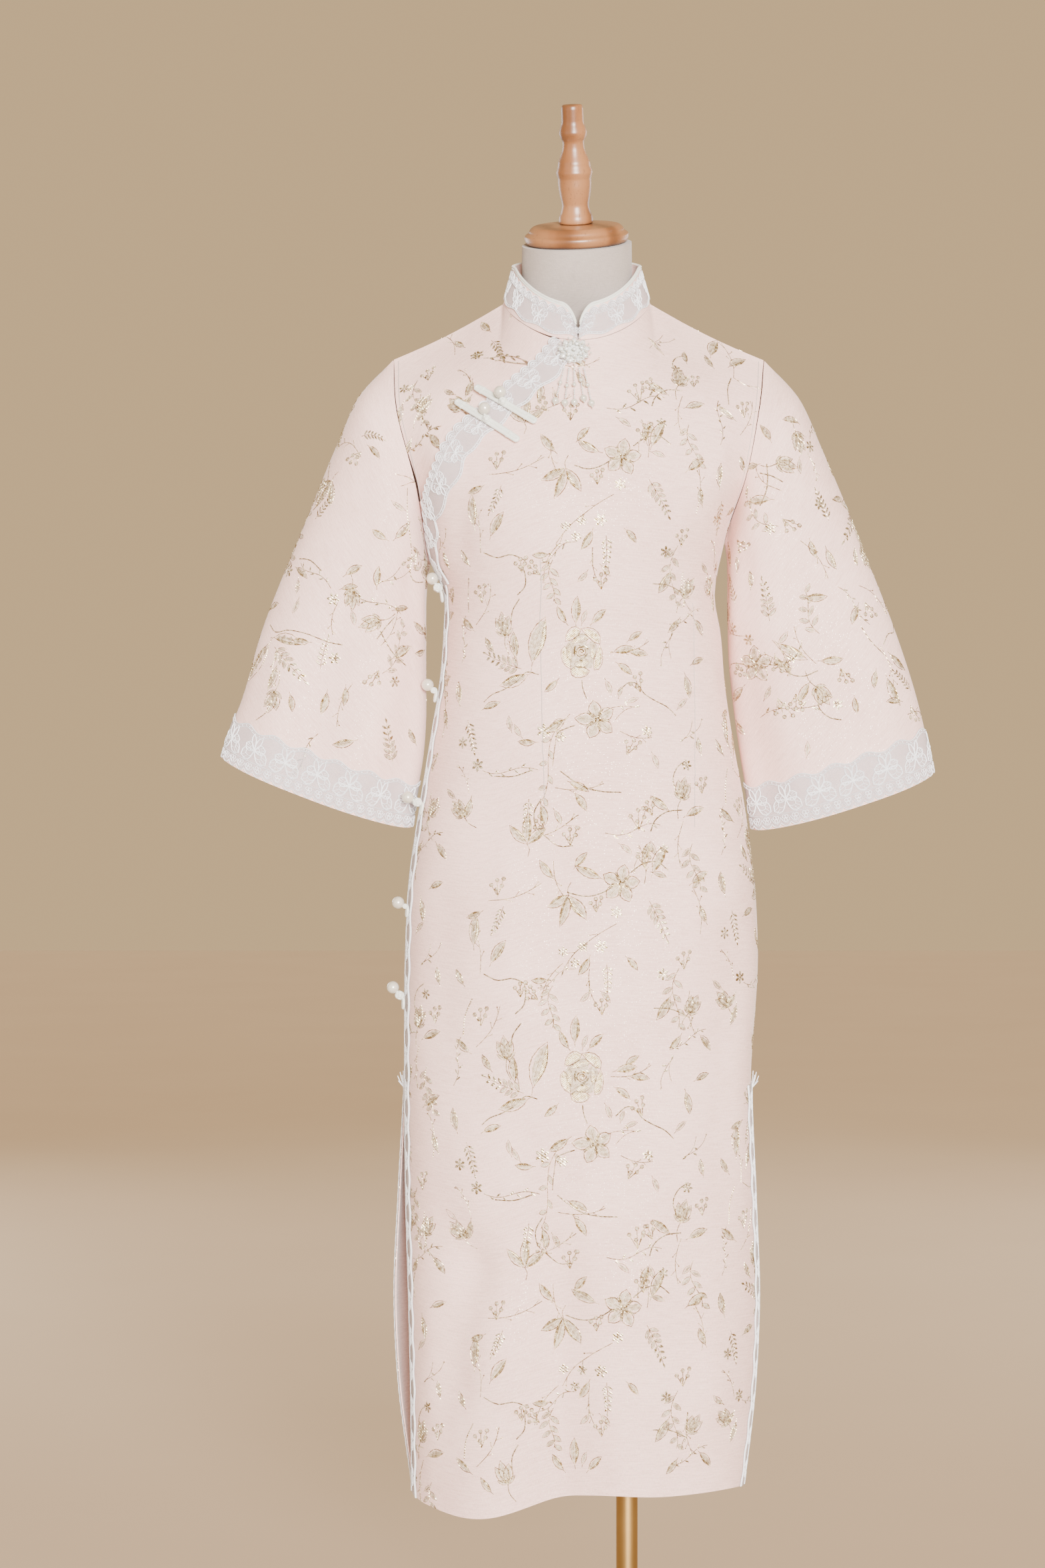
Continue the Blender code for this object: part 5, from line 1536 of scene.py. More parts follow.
SCALLOP = 0.0108
SCALLOP_DEPTH = 0.0036
WAVE_DEPTH = 0.0038
PICOT_PITCH = 0.0052
RING_SPOTS = (
    # along from the middle of a scallop, inwards from the edge
    (-0.0016, 0.0074), (0.0016, 0.0074), (0.0, 0.0050),
)
BOW_LOOPS = (
    # length, width, angle in degrees, inner loop as a share
    (0.0135, 0.0092, 58, 0.62), (0.0135, 0.0092, -58, 0.62), (0.0095, 0.0070, 108, 0.5),
    (0.0095, 0.0070, -108, 0.5), (0.0120, 0.0036, 160, 0.0), (0.0120, 0.0036, -160, 0.0),
)
NET_COLUMNS = 5
ROWS_PER_SCALLOP = 6
BOW_PITCH = 0.034
CUFF_LACE_START = 0.876
COLLAR_LACE_SPAN = (0.06, 0.90)
LACE_GRID = {"edge": 24, "placket": 14, "collar": (12, 240), "cuff": (16, 360)}
PLACKET_STEPS = 260
TAIL_STEPS = 60
TURN_STEPS = 40
NECK_BEYOND = 0.0055
EDGE_LACES = {
    # side of the body, upper end
    "right_edge_lace": ("front", EDGE_LACE_TOP),
    "left_slit_lace_front": ("front", SLIT_TOP),
    "right_slit_lace_back": ("back", SLIT_TOP),
    "left_slit_lace_back": ("back", SLIT_TOP),
}


def lace_base(name):
    """Points, directions and lift under a lace: rows run along it, columns from its plain edge outwards."""
    if name in EDGE_LACES:
        side, top = EDGE_LACES[name]
        heights = np.linspace(HEM, top, lace_rows((top - HEM) * 1.01))[:, None]
        columns = np.linspace(LACE_COLUMNS_END, 0.0, LACE_GRID["edge"])[None] + 0 * heights
        if name.startswith("left"):
            columns = 1 - columns
        heights = heights + 0 * columns
        return body(side, columns, heights), outward(side, columns, heights), 0.0
    if name == "placket_lace":
        return placket_base()
    if name == "collar_lace":
        across, along = LACE_GRID["collar"]
        points, normals = collar_grid(np.linspace(*COLLAR_LACE_SPAN, across), along)
        return points.transpose(1, 0, 2), normals.transpose(1, 0, 2), 0.0
    grid = carrier("sleeve_" + name.rsplit("_", 1)[1])
    first = int(round(CUFF_LACE_START * (SLEEVE_ROWS - 1)))
    across, along = LACE_GRID["cuff"]
    rows = np.linspace(first, SLEEVE_ROWS - 1, across)
    j, i = np.meshgrid(np.linspace(0, SLEEVE_AROUND, along, endpoint=False), rows, indexing="ij")
    closed = Cloth(np.concatenate((grid.points, grid.points[:, :2]), axis=1),
                   np.concatenate((grid.normals, grid.normals[:, :2]), axis=1))
    return *closed.at(i, j), 0.0


def lace_rows(length):
    """Grid rows for a lace of this length."""
    return max(int(length / SCALLOP * ROWS_PER_SCALLOP), 12) + 1


def placket_base():
    """The lace over the placket, from the neckline to the armpit."""
    share = (1 - np.arange(PLACKET_STEPS + 1) / PLACKET_STEPS) ** 1.15
    columns = LACE_EDGE_COLUMN + (PLACKET_COLUMN - LACE_EDGE_COLUMN) * share
    heights = np.minimum(placket_height(columns), SHOULDER - 0.001)
    edge_end = EDGE_LACE_TOP + SEAM
    tail = np.linspace(0, 1, TAIL_STEPS)[1:]
    columns = np.concatenate((columns, np.full(len(tail), LACE_EDGE_COLUMN)))
    heights = np.concatenate((heights, heights[-1] + (edge_end - heights[-1]) * tail))
    path = body("front", columns, heights)
    tangents = np.stack([smoothed(axis, 20) for axis in unit(np.gradient(path, axis=0)).T], 1)
    inward = unit(np.cross(outward("front", columns, heights), tangents))
    last = unit(np.array((0.2, -1.0, 0.0)))
    near_end = np.clip((np.arange(len(columns)) - len(columns)) / TURN_STEPS + 1, 0, 1)[:, None]
    inward = unit(inward * (1 - near_end) + last * near_end)
    beyond = NECK_BEYOND * np.clip((columns - 0.03) / 0.05, 0.0, 1.0)
    reach = np.linspace(0, 1, LACE_GRID["placket"])[None] * LACE_WIDTH - beyond[:, None]
    place_column, place_height = walk(columns, heights, inward, reach)
    place_height[-1] = edge_end
    points = body("front", place_column, place_height)
    directions = outward("front", place_column, place_height)
    return points[:, ::-1], directions[:, ::-1], LACE_LIFT


def walk(column, height, direction, distance):
    """Moves over the front from places in a direction, by arrays of distances."""
    steps = 6
    shape = distance.shape
    column = np.broadcast_to(column[:, None], shape).copy()
    height = np.broadcast_to(height[:, None], shape).copy()
    step = 0.003
    for _ in range(steps):
        high, low = np.minimum(column + step, 1.0), np.maximum(column - step, 0.0)
        across = (body("front", high, height) - body("front", low, height)) / (high - low)[..., None]
        up = (body("front", column, height) - body("front", column, height - step)) / step
        move = direction[:, None, :] * distance[..., None] / steps
        aa, bb, ab = (across ** 2).sum(-1), (up ** 2).sum(-1), (across * up).sum(-1)
        am, bm = (across * move).sum(-1), (up * move).sum(-1)
        share = aa * bb - ab * ab
        column = np.clip(column + (bb * am - ab * bm) / share, 0.0, 1.0)
        height = np.clip(height + (aa * bm - ab * am) / share, HEM, SHOULDER)
    return column, height


class Strip:
    """A lace laid flat: a runs along it and w across it, both in metres.

    Its scallops and bows are whole numbers over the length, and its widths go by its scale.
    """

    def __init__(self, points, normals, closed=False):
        if closed:
            points = np.concatenate((points, points[:1]))
            normals = np.concatenate((normals, normals[:1]))
        self.closed = closed
        self.along = walked(points[:, points.shape[1] // 2])
        self.length = self.along[-1]
        self.cloth = Cloth(points, normals)
        self.width = float(np.median(np.linalg.norm(np.diff(points, axis=1), axis=2).sum(axis=1)))
        self.scale = self.width / LACE_WIDTH
        self.scallops = max(int(round(self.length / SCALLOP)), 1)
        self.scallop = self.length / self.scallops
        self.bows = max(int(round(self.length / BOW_PITCH)), 1)
        self.wave = self.length / self.bows
        steps = self.scallops * ROWS_PER_SCALLOP
        self.stations = np.linspace(0, self.length, steps + (0 if closed else 1), endpoint=not closed)
        self.near = self.plain_edge(self.stations) * self.scale
        self.far = self.scalloped_edge(self.stations)

    def place(self, a, w, lift):
        """Points a lift above places of the strip."""
        a, w, lift = np.broadcast_arrays(a, w, lift)
        rows = np.interp(a % self.length if self.closed else a, self.along, np.arange(len(self.along)))
        columns = w / self.width * (self.cloth.points.shape[1] - 1)
        return self.cloth.at(rows, columns, lift)[0]

    def frame(self, a, w, lift):
        """Points with their outward and lengthwise directions."""
        here = self.place(a, w, lift)
        on = self.place(a + 0.0005, w, lift) - self.place(a - 0.0005, w, lift)
        up = self.place(a, w, lift + 0.001) - here
        return here, unit(up), unit(on, TINY)

    def at_spot(self, a0, w0, base):
        """Places flat shapes round one spot of the strip, above a base lift."""
        return lambda u, v, lift: self.place(a0 + u, w0 + v, lift + base)


    def plain_edge(self, a):
        """How far the plain edge waves inwards, before it is scaled."""
        return WAVE_DEPTH * (0.5 - 0.5 * np.cos(2 * math.pi * a / self.wave))

    def scalloped_edge(self, a):
        """How far out the scalloped edge lies."""
        return self.width - SCALLOP_DEPTH * (1 - np.abs(np.sin(math.pi * a / self.scallop)) ** 0.8)


def bow(batch, spot, size):
    """A small stitched bow in outline: two pairs of loops with stitches in them, two tails and a knot."""
    for length, width, degrees, share in BOW_LOOPS:
        turned_by = math.radians(degrees)
        for scale, thread, height in ((1.0, 0.00115, 0.0007), (share, 0.0008, 0.0005)):
            if scale:
                loop = petal_line(length * size * scale, width * size * scale, 6, fullness=1.35, blunt=0.8,
                                  angle=turned_by)
                ribbon(batch, spot, outline_of(*loop), thread * size, height, 0, closed=True)
        if share:
            tip = np.array((math.sin(turned_by), math.cos(turned_by))) * length * size
            for turn in (-0.22, 0.0, 0.22):
                cos, sin = math.cos(turn), math.sin(turn)
                end = np.array((tip[0] * cos - tip[1] * sin, tip[0] * sin + tip[1] * cos))
                ribbon(batch, spot, np.stack((end * 0.62, end * 0.93)), 0.0006 * size, 0.00045, 0)
    dot(batch, spot, 0.0, 0.0, 0.0017 * size, 0, 0.0010)


def lace_net(name, strip, low):
    """The tulle ground of a lace, standing for its solid."""
    share = np.linspace(0, 1, NET_COLUMNS)[None]
    wide = strip.near[:, None] + (strip.far - strip.near)[:, None] * share
    along = strip.stations[:, None] + 0 * wide
    outer = strip.place(along, wide, low + LACE).transpose(1, 0, 2)
    inner = strip.place(along, wide, low).transpose(1, 0, 2)
    net = Batch()
    wall(net, outer, inner, ring=strip.closed)
    return settle(net.piece(f"{name}_net", ["lace_net"]), "lace", [name])


def lace_work(name, strip, top):
    """The stitched bows and the cords along both edges of a lace."""
    work = Batch()
    for k in range(strip.bows):
        bow(work, strip.at_spot((k + 0.5) * strip.wave, strip.width * 0.46, top), strip.scale)
    scale, near, far = strip.scale, strip.near, strip.far
    every = np.arange(len(near))
    second = np.unique((*every[::2], every[-1]))
    cords = (
        # how far across, width, rows kept
        (near + 0.0007, 0.0013, second), (near + 0.0030 * scale, 0.0009, second),
        (far - 0.0007, 0.0014, every), (far - 0.0030 * scale - 0.6 * (strip.width - far), 0.0010, every),
        (strip.width - 0.0098 * scale + 0 * near, 0.0009, second),
    )
    for across, width, kept in cords:
        line = np.stack((strip.stations, across), 1)[kept]
        ribbon(work, strip.at_spot(0, 0, top), line, width, 0.0006, 0, low=-0.0004)
    return settle(work.piece(f"{name}_bows", ["lace_thread"], 0), "lace")


def lace_trims(name, strip, top):
    """The rings inside the scallops and the picots along the plain edge of a lace."""
    spots = np.array([((k + 0.5) * strip.scallop + shift, strip.width - inwards * strip.scale)
                      for k in range(strip.scallops) for shift, inwards in RING_SPOTS])
    places = strip.frame(spots[:, 0], spots[:, 1], top + 0.0002)
    ring = small_shape("stitched_ring", draw_ring)
    rings = settle(repeat(f"{name}_rings", *places, ring, "lace_thread", strip.scale, 0.08), "lace")
    along = np.arange(0.5, strip.length / PICOT_PITCH - 0.5) * PICOT_PITCH
    places = strip.frame(along, (strip.plain_edge(along) + 0.0018) * strip.scale, top)
    knot = small_shape("stitched_knot", draw_stitch)
    return rings, settle(repeat(f"{name}_picots", *places, knot, "lace_thread", strip.scale, 0.15), "lace")


def lace(name):
    """One lace edging: tulle, bows, corded edges, rings of stitches and picots."""
    points, normals, lift = lace_base(name)
    strip = Strip(points, normals, closed=name.startswith("cuff"))
    low = lift + LACE_LIFT
    net = lace_net(name, strip, low)
    sewn_on = [lace_work(name, strip, low + LACE), *lace_trims(name, strip, low + LACE)]


def draw_ring(batch):
    """One tiny stitched ring."""
    path = np.column_stack((circle(0, 0, 0.00125, 9), np.zeros(9)))
    tube(batch, path, 0.00034, sides=4, guide=(0, 0, 1), closed=True)


def draw_stitch(batch):
    """One tiny raised stitch."""
    ball(batch, (0, 0, 0), 0.00062, sides=6, rings=4, stretch=(1.25, 0.9, 0.7))


LACES = (
    ("collar_lace", ["collar_cloth"]), ("placket_lace", ["front_cloth"]),
    ("right_edge_lace", ["front_cloth"]), ("left_slit_lace_front", ["front_cloth"]),
    ("right_slit_lace_back", ["back_cloth"]), ("left_slit_lace_back", ["back_cloth"]),
    ("cuff_lace_right", ["sleeve_cloth_right"]), ("cuff_lace_left", ["sleeve_cloth_left"]),
)


def build_laces():
    """Every lace edging."""
    for name, carried_by in LACES:
        lace(name)


# Woven motifs: own generic flowers and leaves, all in millimetres

MM = 0.001
PITCH_ACROSS = 270.0
PITCH_UP = 408.0
MOTIFS = {
    # across, up, size, angle in degrees (0 points up, plus turns to the left)
    "rose": (
        (0, 0, 54, 0),
    ),
    "leaf": (
        (-8, 31, 26, 6), (-17, 27, 19, 38), (6, 28, 20, -38), (-1, 30, 14, -14), (30, 4, 22, -72),
        (42, 12, 16, -48), (44, 1, 20, -88), (32, -8, 18, -118), (-26, -26, 17, 140), (20, -25, 15, -150),
        (-50, -8, 46, -8), (-52, -20, 32, 118), (-66, -4, 25, 14), (-88, 4, 17, 40), (42, -50, 13, -60),
        (34, -42, 11, -10), (66, -96, 15, -150), (-17, -62, 24, 128), (-48, -88, 18, 96),
        (-60, -82, 14, 40), (-110, -125, 17, 150), (-108, -139, 20, 172), (-128, -118, 15, 60),
        (-12, -122, 18, -112), (-6, -134, 20, -140), (-40, -146, 20, 200), (-30, -152, 15, 214),
        (34, -182, 15, -120), (58, -202, 19, -10), (70, -196, 15, 30), (66, -214, 15, -100),
        (66, 196, 30, -20), (14, 190, 24, 70), (8, 116, 19, 160), (40, 116, 16, -130), (-34, 92, 16, 100),
        (16, 84, 14, -130), (4, 80, 13, 150), (-28, 190, 22, 48), (-8, 202, 18, -30), (-98, 158, 17, 120),
        (-106, 124, 30, 4), (-91, 112, 26, -24), (-118, 108, 17, 40), (84, 78, 26, 158),
        (118, 40, 20, -130), (92, 36, 17, 150), (98, -18, 22, -160), (112, -6, 17, -60), (82, -154, 22, 60),
        (104, -156, 22, -60), (122, -96, 16, 20), (90, -52, 15, -40), (124, 150, 18, 30),
        (106, 186, 22, -50), (-126, -30, 22, 20), (-112, 44, 20, 60), (-96, -52, 18, -60),
        (-70, -74, 15, 20),
    ),
    "twig": (
        (26, 2, 44, -76), (-64, -12, 34, 26), (34, -76, 34, -100), (-112, -110, 32, 30),
        (-26, -128, 40, -84), (-52, -176, 46, -60), (60, -222, 38, 8), (30, 150, 62, 136),
        (-22, 108, 44, 148), (7, 103, 36, -168), (-30, 206, 40, -162), (-92, 172, 50, -70),
        (-100, 96, 50, 12), (104, 84, 44, 190), (96, -160, 44, 176), (118, 140, 44, 8), (-104, 30, 46, -30),
    ),
    "fern": (
        (-58, -14, 46, 74), (-51, -140, 32, 176), (62, 168, 44, -150), (22, 112, 32, 186),
        (-78, 162, 30, 160), (-116, -44, 34, -160),
    ),
    "bud": (
        (-75, 16, 27, 8), (-119, -135, 24, 46), (106, 62, 24, -30), (93, -143, 26, -14),
    ),
    "bloom": (
        (12, -64, 38, 14), (37, 187, 38, -10),
    ),
    "tendril": (
        (30, -66, 46, -40), (60, 200, 34, 16), (84, -6, 40, 20), (112, -60, 40, 170),
    ),
    "berries": (
        (51, -32, 12, 20), (44, -92, 12, -30), (-13, -178, 12, 0), (-40, -170, 10, 40), (52, -160, 15, 0),
        (64, -150, 11, 20), (58, 208, 13, 0), (12, 166, 10, 0), (-62, 80, 10, 0), (-47, 76, 10, 50),
        (16, 66, 11, 0), (-85, 180, 12, 0), (100, 112, 12, 0), (118, -128, 11, 0), (-100, 56, 12, 0),
    ),
    "star": (
        (61, -75, 13, 10), (-38, -74, 17, 0), (-22, -82, 13, 30), (-103, -110, 15, 0), (76, -188, 13, 0),
        (33, 159, 14, 0), (15, 127, 15, 20), (-18, 122, 12, 0), (-4, 126, 12, 40), (-10, 110, 12, 10),
        (78, 96, 14, 0), (104, -108, 13, 20), (-122, -66, 14, 0),
    ),
    "chain": (
        (-14, -58, 92, 156), (-30, 88, 40, 176), (92, 104, 58, 176), (108, -180, 46, 186),
    ),
    "ticks": (
        (-98, -115, 50, -90), (22, -172, 62, -84), (-10, 104, 52, 110), (82, 30, 46, -70),
        (-128, 10, 48, -10),
    ),
    "cluster": (
        (-56, -184, 30, 4), (-17, 176, 32, 170),
    ),
}
STEMS = (
    # points of one stem each, across and up
    ((-3, -27), (-2, -35), (2, -45)),
    ((-5, -70), (-15.5, -73), (-27, -78), (-29, -87), (-31, -99), (-32, -109)),
    ((-86, -117), (-67, -117), (-51, -111)),
    ((-24, -115), (-13, -124), (-3, -132), (9, -135), (28, -136)),
    ((-41, -138), (-48, -151), (-46, -165), (-36, -175.5), (-24, -184), (-15, -183)),
    ((96, -152), (79.5, -154), (69, -163), (66, -173)),
    ((-65, 58), (-57, 66), (-55, 76), (-56, 87)),
    ((-43, -19), (-55, -16.5), (-65, -25), (-79.5, -33), (-96, -39), (-104, -45)),
    ((32, -39), (44, -30), (50.6, -31), (59, -41), (71, -47.5), (86, -54), (96, -62)),
    ((67, 67), (84, 66), (98, 61), (106, 57)),
    ((107, 80), (107, 64), (105, 50)),
    ((8, 93), (8, 80.5)),
    ((30, 186), (18, 178), (4, 174), (-10, 178)),
    ((46, 196), (60, 205), (74, 206), (86, 198)),
    ((-70, 28), (-68, 40), (-60, 52)),
    ((-98, 96), (-84, 90), (-70, 92), (-58, 86)),
    ((92, -136), (88, -122), (94, -110), (104, -104)),
    ((-118, 60), (-116, 78), (-108, 96)),
)
# Where the middle flower starts: seen place on the front, flat places on the back and the sleeves
FRONT_MIDDLE = (0.0050, 1.0670)
BACK_MIDDLE = 0.012
BACK_HEIGHT = 0.905
SLEEVE_MIDDLE = {"right": (0.020, 0.300), "left": (0.060, 0.190)}
SEEN_REACH = 0.105
FOUND_WITHIN = 0.004
ROW_STEP = 0.0053


class Sketch:
    """Petals, lines and spots of one motif in millimetres, drawn by shares of its size."""

    def __init__(self, kind, size):
        self.size = size
        self.petals = []
        self.lines = []
        self.dots = []
        if isinstance(kind, str):
            getattr(self, kind)()
        else:
            self.lines.append((kind, 1.2, 0))

    def petal(self, x, y, length, width, degrees, scale=None, **more):
        """A petal whose length and width are shares of the size, or millimetres with a scale of 1."""
        foot, scale = (x * self.size, y * self.size), scale or self.size
        self.petals.append((foot, length * scale, width * scale, math.radians(degrees), more))

    def line(self, points, width, level=0):
        self.lines.append(([(x * self.size, y * self.size) for x, y in points], width, level))

    def dot(self, x, y, radius, level=0):
        """A spot at shares of the size, with its radius in millimetres."""
        self.dots.append((x * self.size, y * self.size, radius, level))

    def leaf(self):
        self.petal(0, 0, 1, 0.34, 0, bend=0.16)
        self.line(((0, -0.16), (0, 0)), 0.7)

    def cluster(self):
        for degrees, share in ((48, 0.85), (0, 1.0), (-46, 0.8)):
            self.petal(0, 0, share, 0.28, degrees, bend=0.12)
        self.line(((0, -0.4), (0.06, -0.15), (0, 0)), 0.8)

    def bloom(self):
        for k in range(5):
            self.petal(0, 0, 0.50, 0.31, 72 * k, fullness=1.25, blunt=0.95)
        for k in range(5):
            self.petal(0, 0, 0.34, 0.07, 72 * k + 36)
        for k in range(6):
            a = math.radians(60 * k + 20)
            self.dot(0.085 * math.sin(a), 0.085 * math.cos(a), self.size * 0.026)
        self.dot(0, 0, self.size * 0.05)

    def rose(self):
        for k in range(5):
            self.petal(0, 0, 0.36, 0.34, 72 * k, fullness=1.7, blunt=0.6, vein=False, rim=None)
        for count, ring, arc, width, first, level in ROSE_RINGS:
            for k in range(count):
                at = 360 * k / count + first
                far = ring * (1 + 0.06 * math.sin(5 * k + first))
                x, y = far * math.cos(math.radians(at)), far * math.sin(math.radians(at))
                half_arc = math.radians(arc * (1 + 0.10 * math.cos(3 * k))) / 2
                self.petal(x, y, far * math.sin(2 * half_arc), width, at, bend=-math.tan(half_arc),
                           fullness=0.9, blunt=0.6, fill=2, level=level, vein=False)
        spiral = []
        for k in range(15):
            a, r = 2 * math.pi * 1.7 * k / 14, 0.10 * (0.35 + 0.65 * k / 14)
            spiral.append((r * math.cos(a), r * math.sin(a)))
        self.line(spiral, 1.1, 3)
        self.dot(0, 0, self.size * 0.03, 3)

    def bud(self):
        for degrees, share in ((22, 0.72), (-22, 0.72), (0, 0.85)):
            self.petal(0, 0, share, 0.34, degrees, fullness=0.9)
        for degrees in (55, -55):
            self.petal(0, -0.04, 0.42, 0.13, degrees)
        self.line(((0, 0), (-0.06, -0.35), (0.05, -0.75)), 0.9)

    def star(self):
        for k in range(6):
            self.petal(0, 0, 0.48, 0.26, 60 * k, fullness=1.35, blunt=0.8, vein=False)
        self.dot(0, 0, self.size * 0.09, 1)

    def berries(self):
        for x, y in ((0, 0), (0.46, 0.28), (-0.44, 0.34), (0.06, 0.74), (0.60, 0.86)):
            self.dot(x, y, 2.0)
            self.line(((x, y), (0.1, -0.55)), 0.8)

    def twig(self):
        self.line([(0.10 * math.sin(3.1 * t), t) for t in (0, 0.15, 0.35, 0.55, 0.75, 1)], 0.8)
        for k, t in enumerate((0.3, 0.5, 0.7, 0.85)):
            x, aside = 0.10 * math.sin(3.1 * t), math.sin(math.radians(50 if k % 2 else -50))
            self.line(((x, t), (x - 0.10 * aside, t + 0.10)), 0.6)
            self.dot(x - 0.11 * aside, t + 0.11, 0.9)

    def ticks(self):
        self.line([(0.06 * math.sin(6 * t), t) for t in np.linspace(0, 1, 9)], 0.8)
        for k in range(7):
            t = 0.12 + 0.12 * k
            self.petal(0.06 * math.sin(6 * t), t, 0.13, 0.045, 42 if k % 2 else -42, vein=False)

    def fern(self):
        self.line([(0.08 * t * t, t) for t in (0, 0.25, 0.5, 0.75, 1)], 0.7)
        for k in range(6):
            t = 0.10 + 0.14 * k
            for turn in (48, -48):
                self.petal(0.08 * t * t, t, 0.26 - 0.14 * t, 0.085, turn, vein=False)
        self.petal(0.08, 0.92, 0.15, 0.07, 0, vein=False)

    def chain(self):
        self.line([(0.09 * math.sin(5.2 * t), t) for t in np.linspace(0, 1, 9)], 0.8)
        for k in range(8):
            t = 0.08 + 0.12 * k
            self.petal(0.09 * math.sin(5.2 * t), t, 13 - 0.5 * k, 4.6, 52 if k % 2 else -52, scale=1,
                       vein=k % 3 == 0)

    def tendril(self):
        points = []
        for k in range(16):
            t = k / 15
            a = 1.5 * math.pi * t * t
            points.append((0.30 * math.sin(a) * t, t * math.cos(a * 0.35)))
        self.line(points, 0.7)
        for k in (4, 8, 12):
            self.petal(*points[k], 0.16, 0.06, 70 if k % 8 else -40, vein=False)
        self.dot(*points[-1], 1.1)


LEVEL = 0.00022
BIG_LEAF, VEINED_LEAF, TINY_LEAF, BERRY = 15, 13, 9, 1.8
BIG_LIFT, SMALL_LIFT = 0.00034, 0.00024
BIG_EDGE, SMALL_EDGE = 0.0012, 0.0009
STEM_LIFT, DOT_LIFT, BERRY_LIFT = 0.0004, 0.00045, 0.0006
ROSE_RINGS = (
    # petals, distance from the middle, arc, width as a share of the size, first place in degrees, level
    (5, 0.385, 66, 0.20, 20, 0), (4, 0.255, 84, 0.13, 58, 1), (3, 0.145, 104, 0.075, 10, 2),
)


def motif(batch, place, kind, size):
    """Draws one motif with woven fills, bright rims, stems and spots; a kind may also be a stem's points."""
    sketch = Sketch(kind, size)
    for line, width, level in sketch.lines:
        fine = spline(np.array(line, float), max(3 * len(line), 4))
        ribbon(batch, place, fine * MM, width * 1.25 * MM, STEM_LIFT + level * LEVEL, 1)
    for foot, length, width, angle, more in sketch.petals:
        level = more.pop("level", 0) * LEVEL
        big = length > BIG_LEAF
        if length < VEINED_LEAF:
            more["vein"] = False
        if length < TINY_LEAF:
            more.update(fill=1, rim=None)
        more = {"fill": 0, "rim": 1, "half": big and "bend" in more and "vein" not in more, **more}
        petal(batch, place, length * MM, width * MM, foot=np.array(foot) * MM, angle=angle,
              lift=(BIG_LIFT if big else SMALL_LIFT) + level, edge=BIG_EDGE if big else SMALL_EDGE,
              rows=6 if big else 5, **more)
    for x, y, radius, level in sketch.dots:
        berry, rise = radius > BERRY, level * LEVEL
        dot(batch, place, x * MM, y * MM, radius * MM, 0 if berry else 1, DOT_LIFT + rise, 6)
        if berry:
            ribbon(batch, place, circle(x, y, radius, 6) * MM, SMALL_EDGE, BERRY_LIFT + rise, 1, closed=True)


def tiles(across, up):
    """Offsets of the half-drop repeat in millimetres."""
    for k in across:
        for m in up:
            yield PITCH_ACROSS * k, PITCH_UP * (m + 0.5 * (k % 2))


def cloth_motifs(name, cloth, placed, allowed):
    """One piece of motifs on a cloth; allowed says by row, column and size which ones fit."""
    batch = Batch()
    for kind, row, column, size, angle in placed:
        if allowed(row, column, size):
            motif(batch, turned_place(cloth, row, column, angle), kind, size)
    settle(batch.piece(f"{name}_motifs", ["gold_fill", "gold_rim", "gold_satin"], 35), "cloth")


def inside(cloth, row, column):
    """Whether a place lies far enough from the edges of a cloth."""
    rows, columns = cloth.points.shape[:2]
    return 2 < row < rows - 3 and 1.5 < column < columns - 2.5


def spread(cloth, origin_u, origin_v, across, up, mirror=1, seen=None):
    """Every motif of the repeat with its row and column on a cloth.

    With seen, the shift between seen and flat places, motifs near the middle go by how they are seen.
    """
    found = []
    motifs = [(kind, *row) for kind, rows in MOTIFS.items() for row in rows]
    stems = []
    for line in STEMS:
        start = np.array(line[0])
        points = (np.array(line) - start) * (mirror, 1)
        stems.append((tuple(map(tuple, points)), *start, float(np.abs(points).max()), 0.0))
    shift = seen or (0.0, 0.0)
    for tile_u, tile_v in tiles(across, up):
        for kind, u, v, size, degrees in (*motifs, *stems):
            at_u = origin_u + (u * mirror + tile_u) * MM
            at_v = origin_v + (v + tile_v) * MM
            if seen and abs(at_u) < SEEN_REACH:
                row, column, away = cloth.seen(at_u, at_v)
            else:
                row, column, away = cloth.flat(at_u - shift[0], at_v - shift[1])
            if away < FOUND_WITHIN:
                found.append((kind, row, column, size, math.radians(degrees * mirror)))
    return found


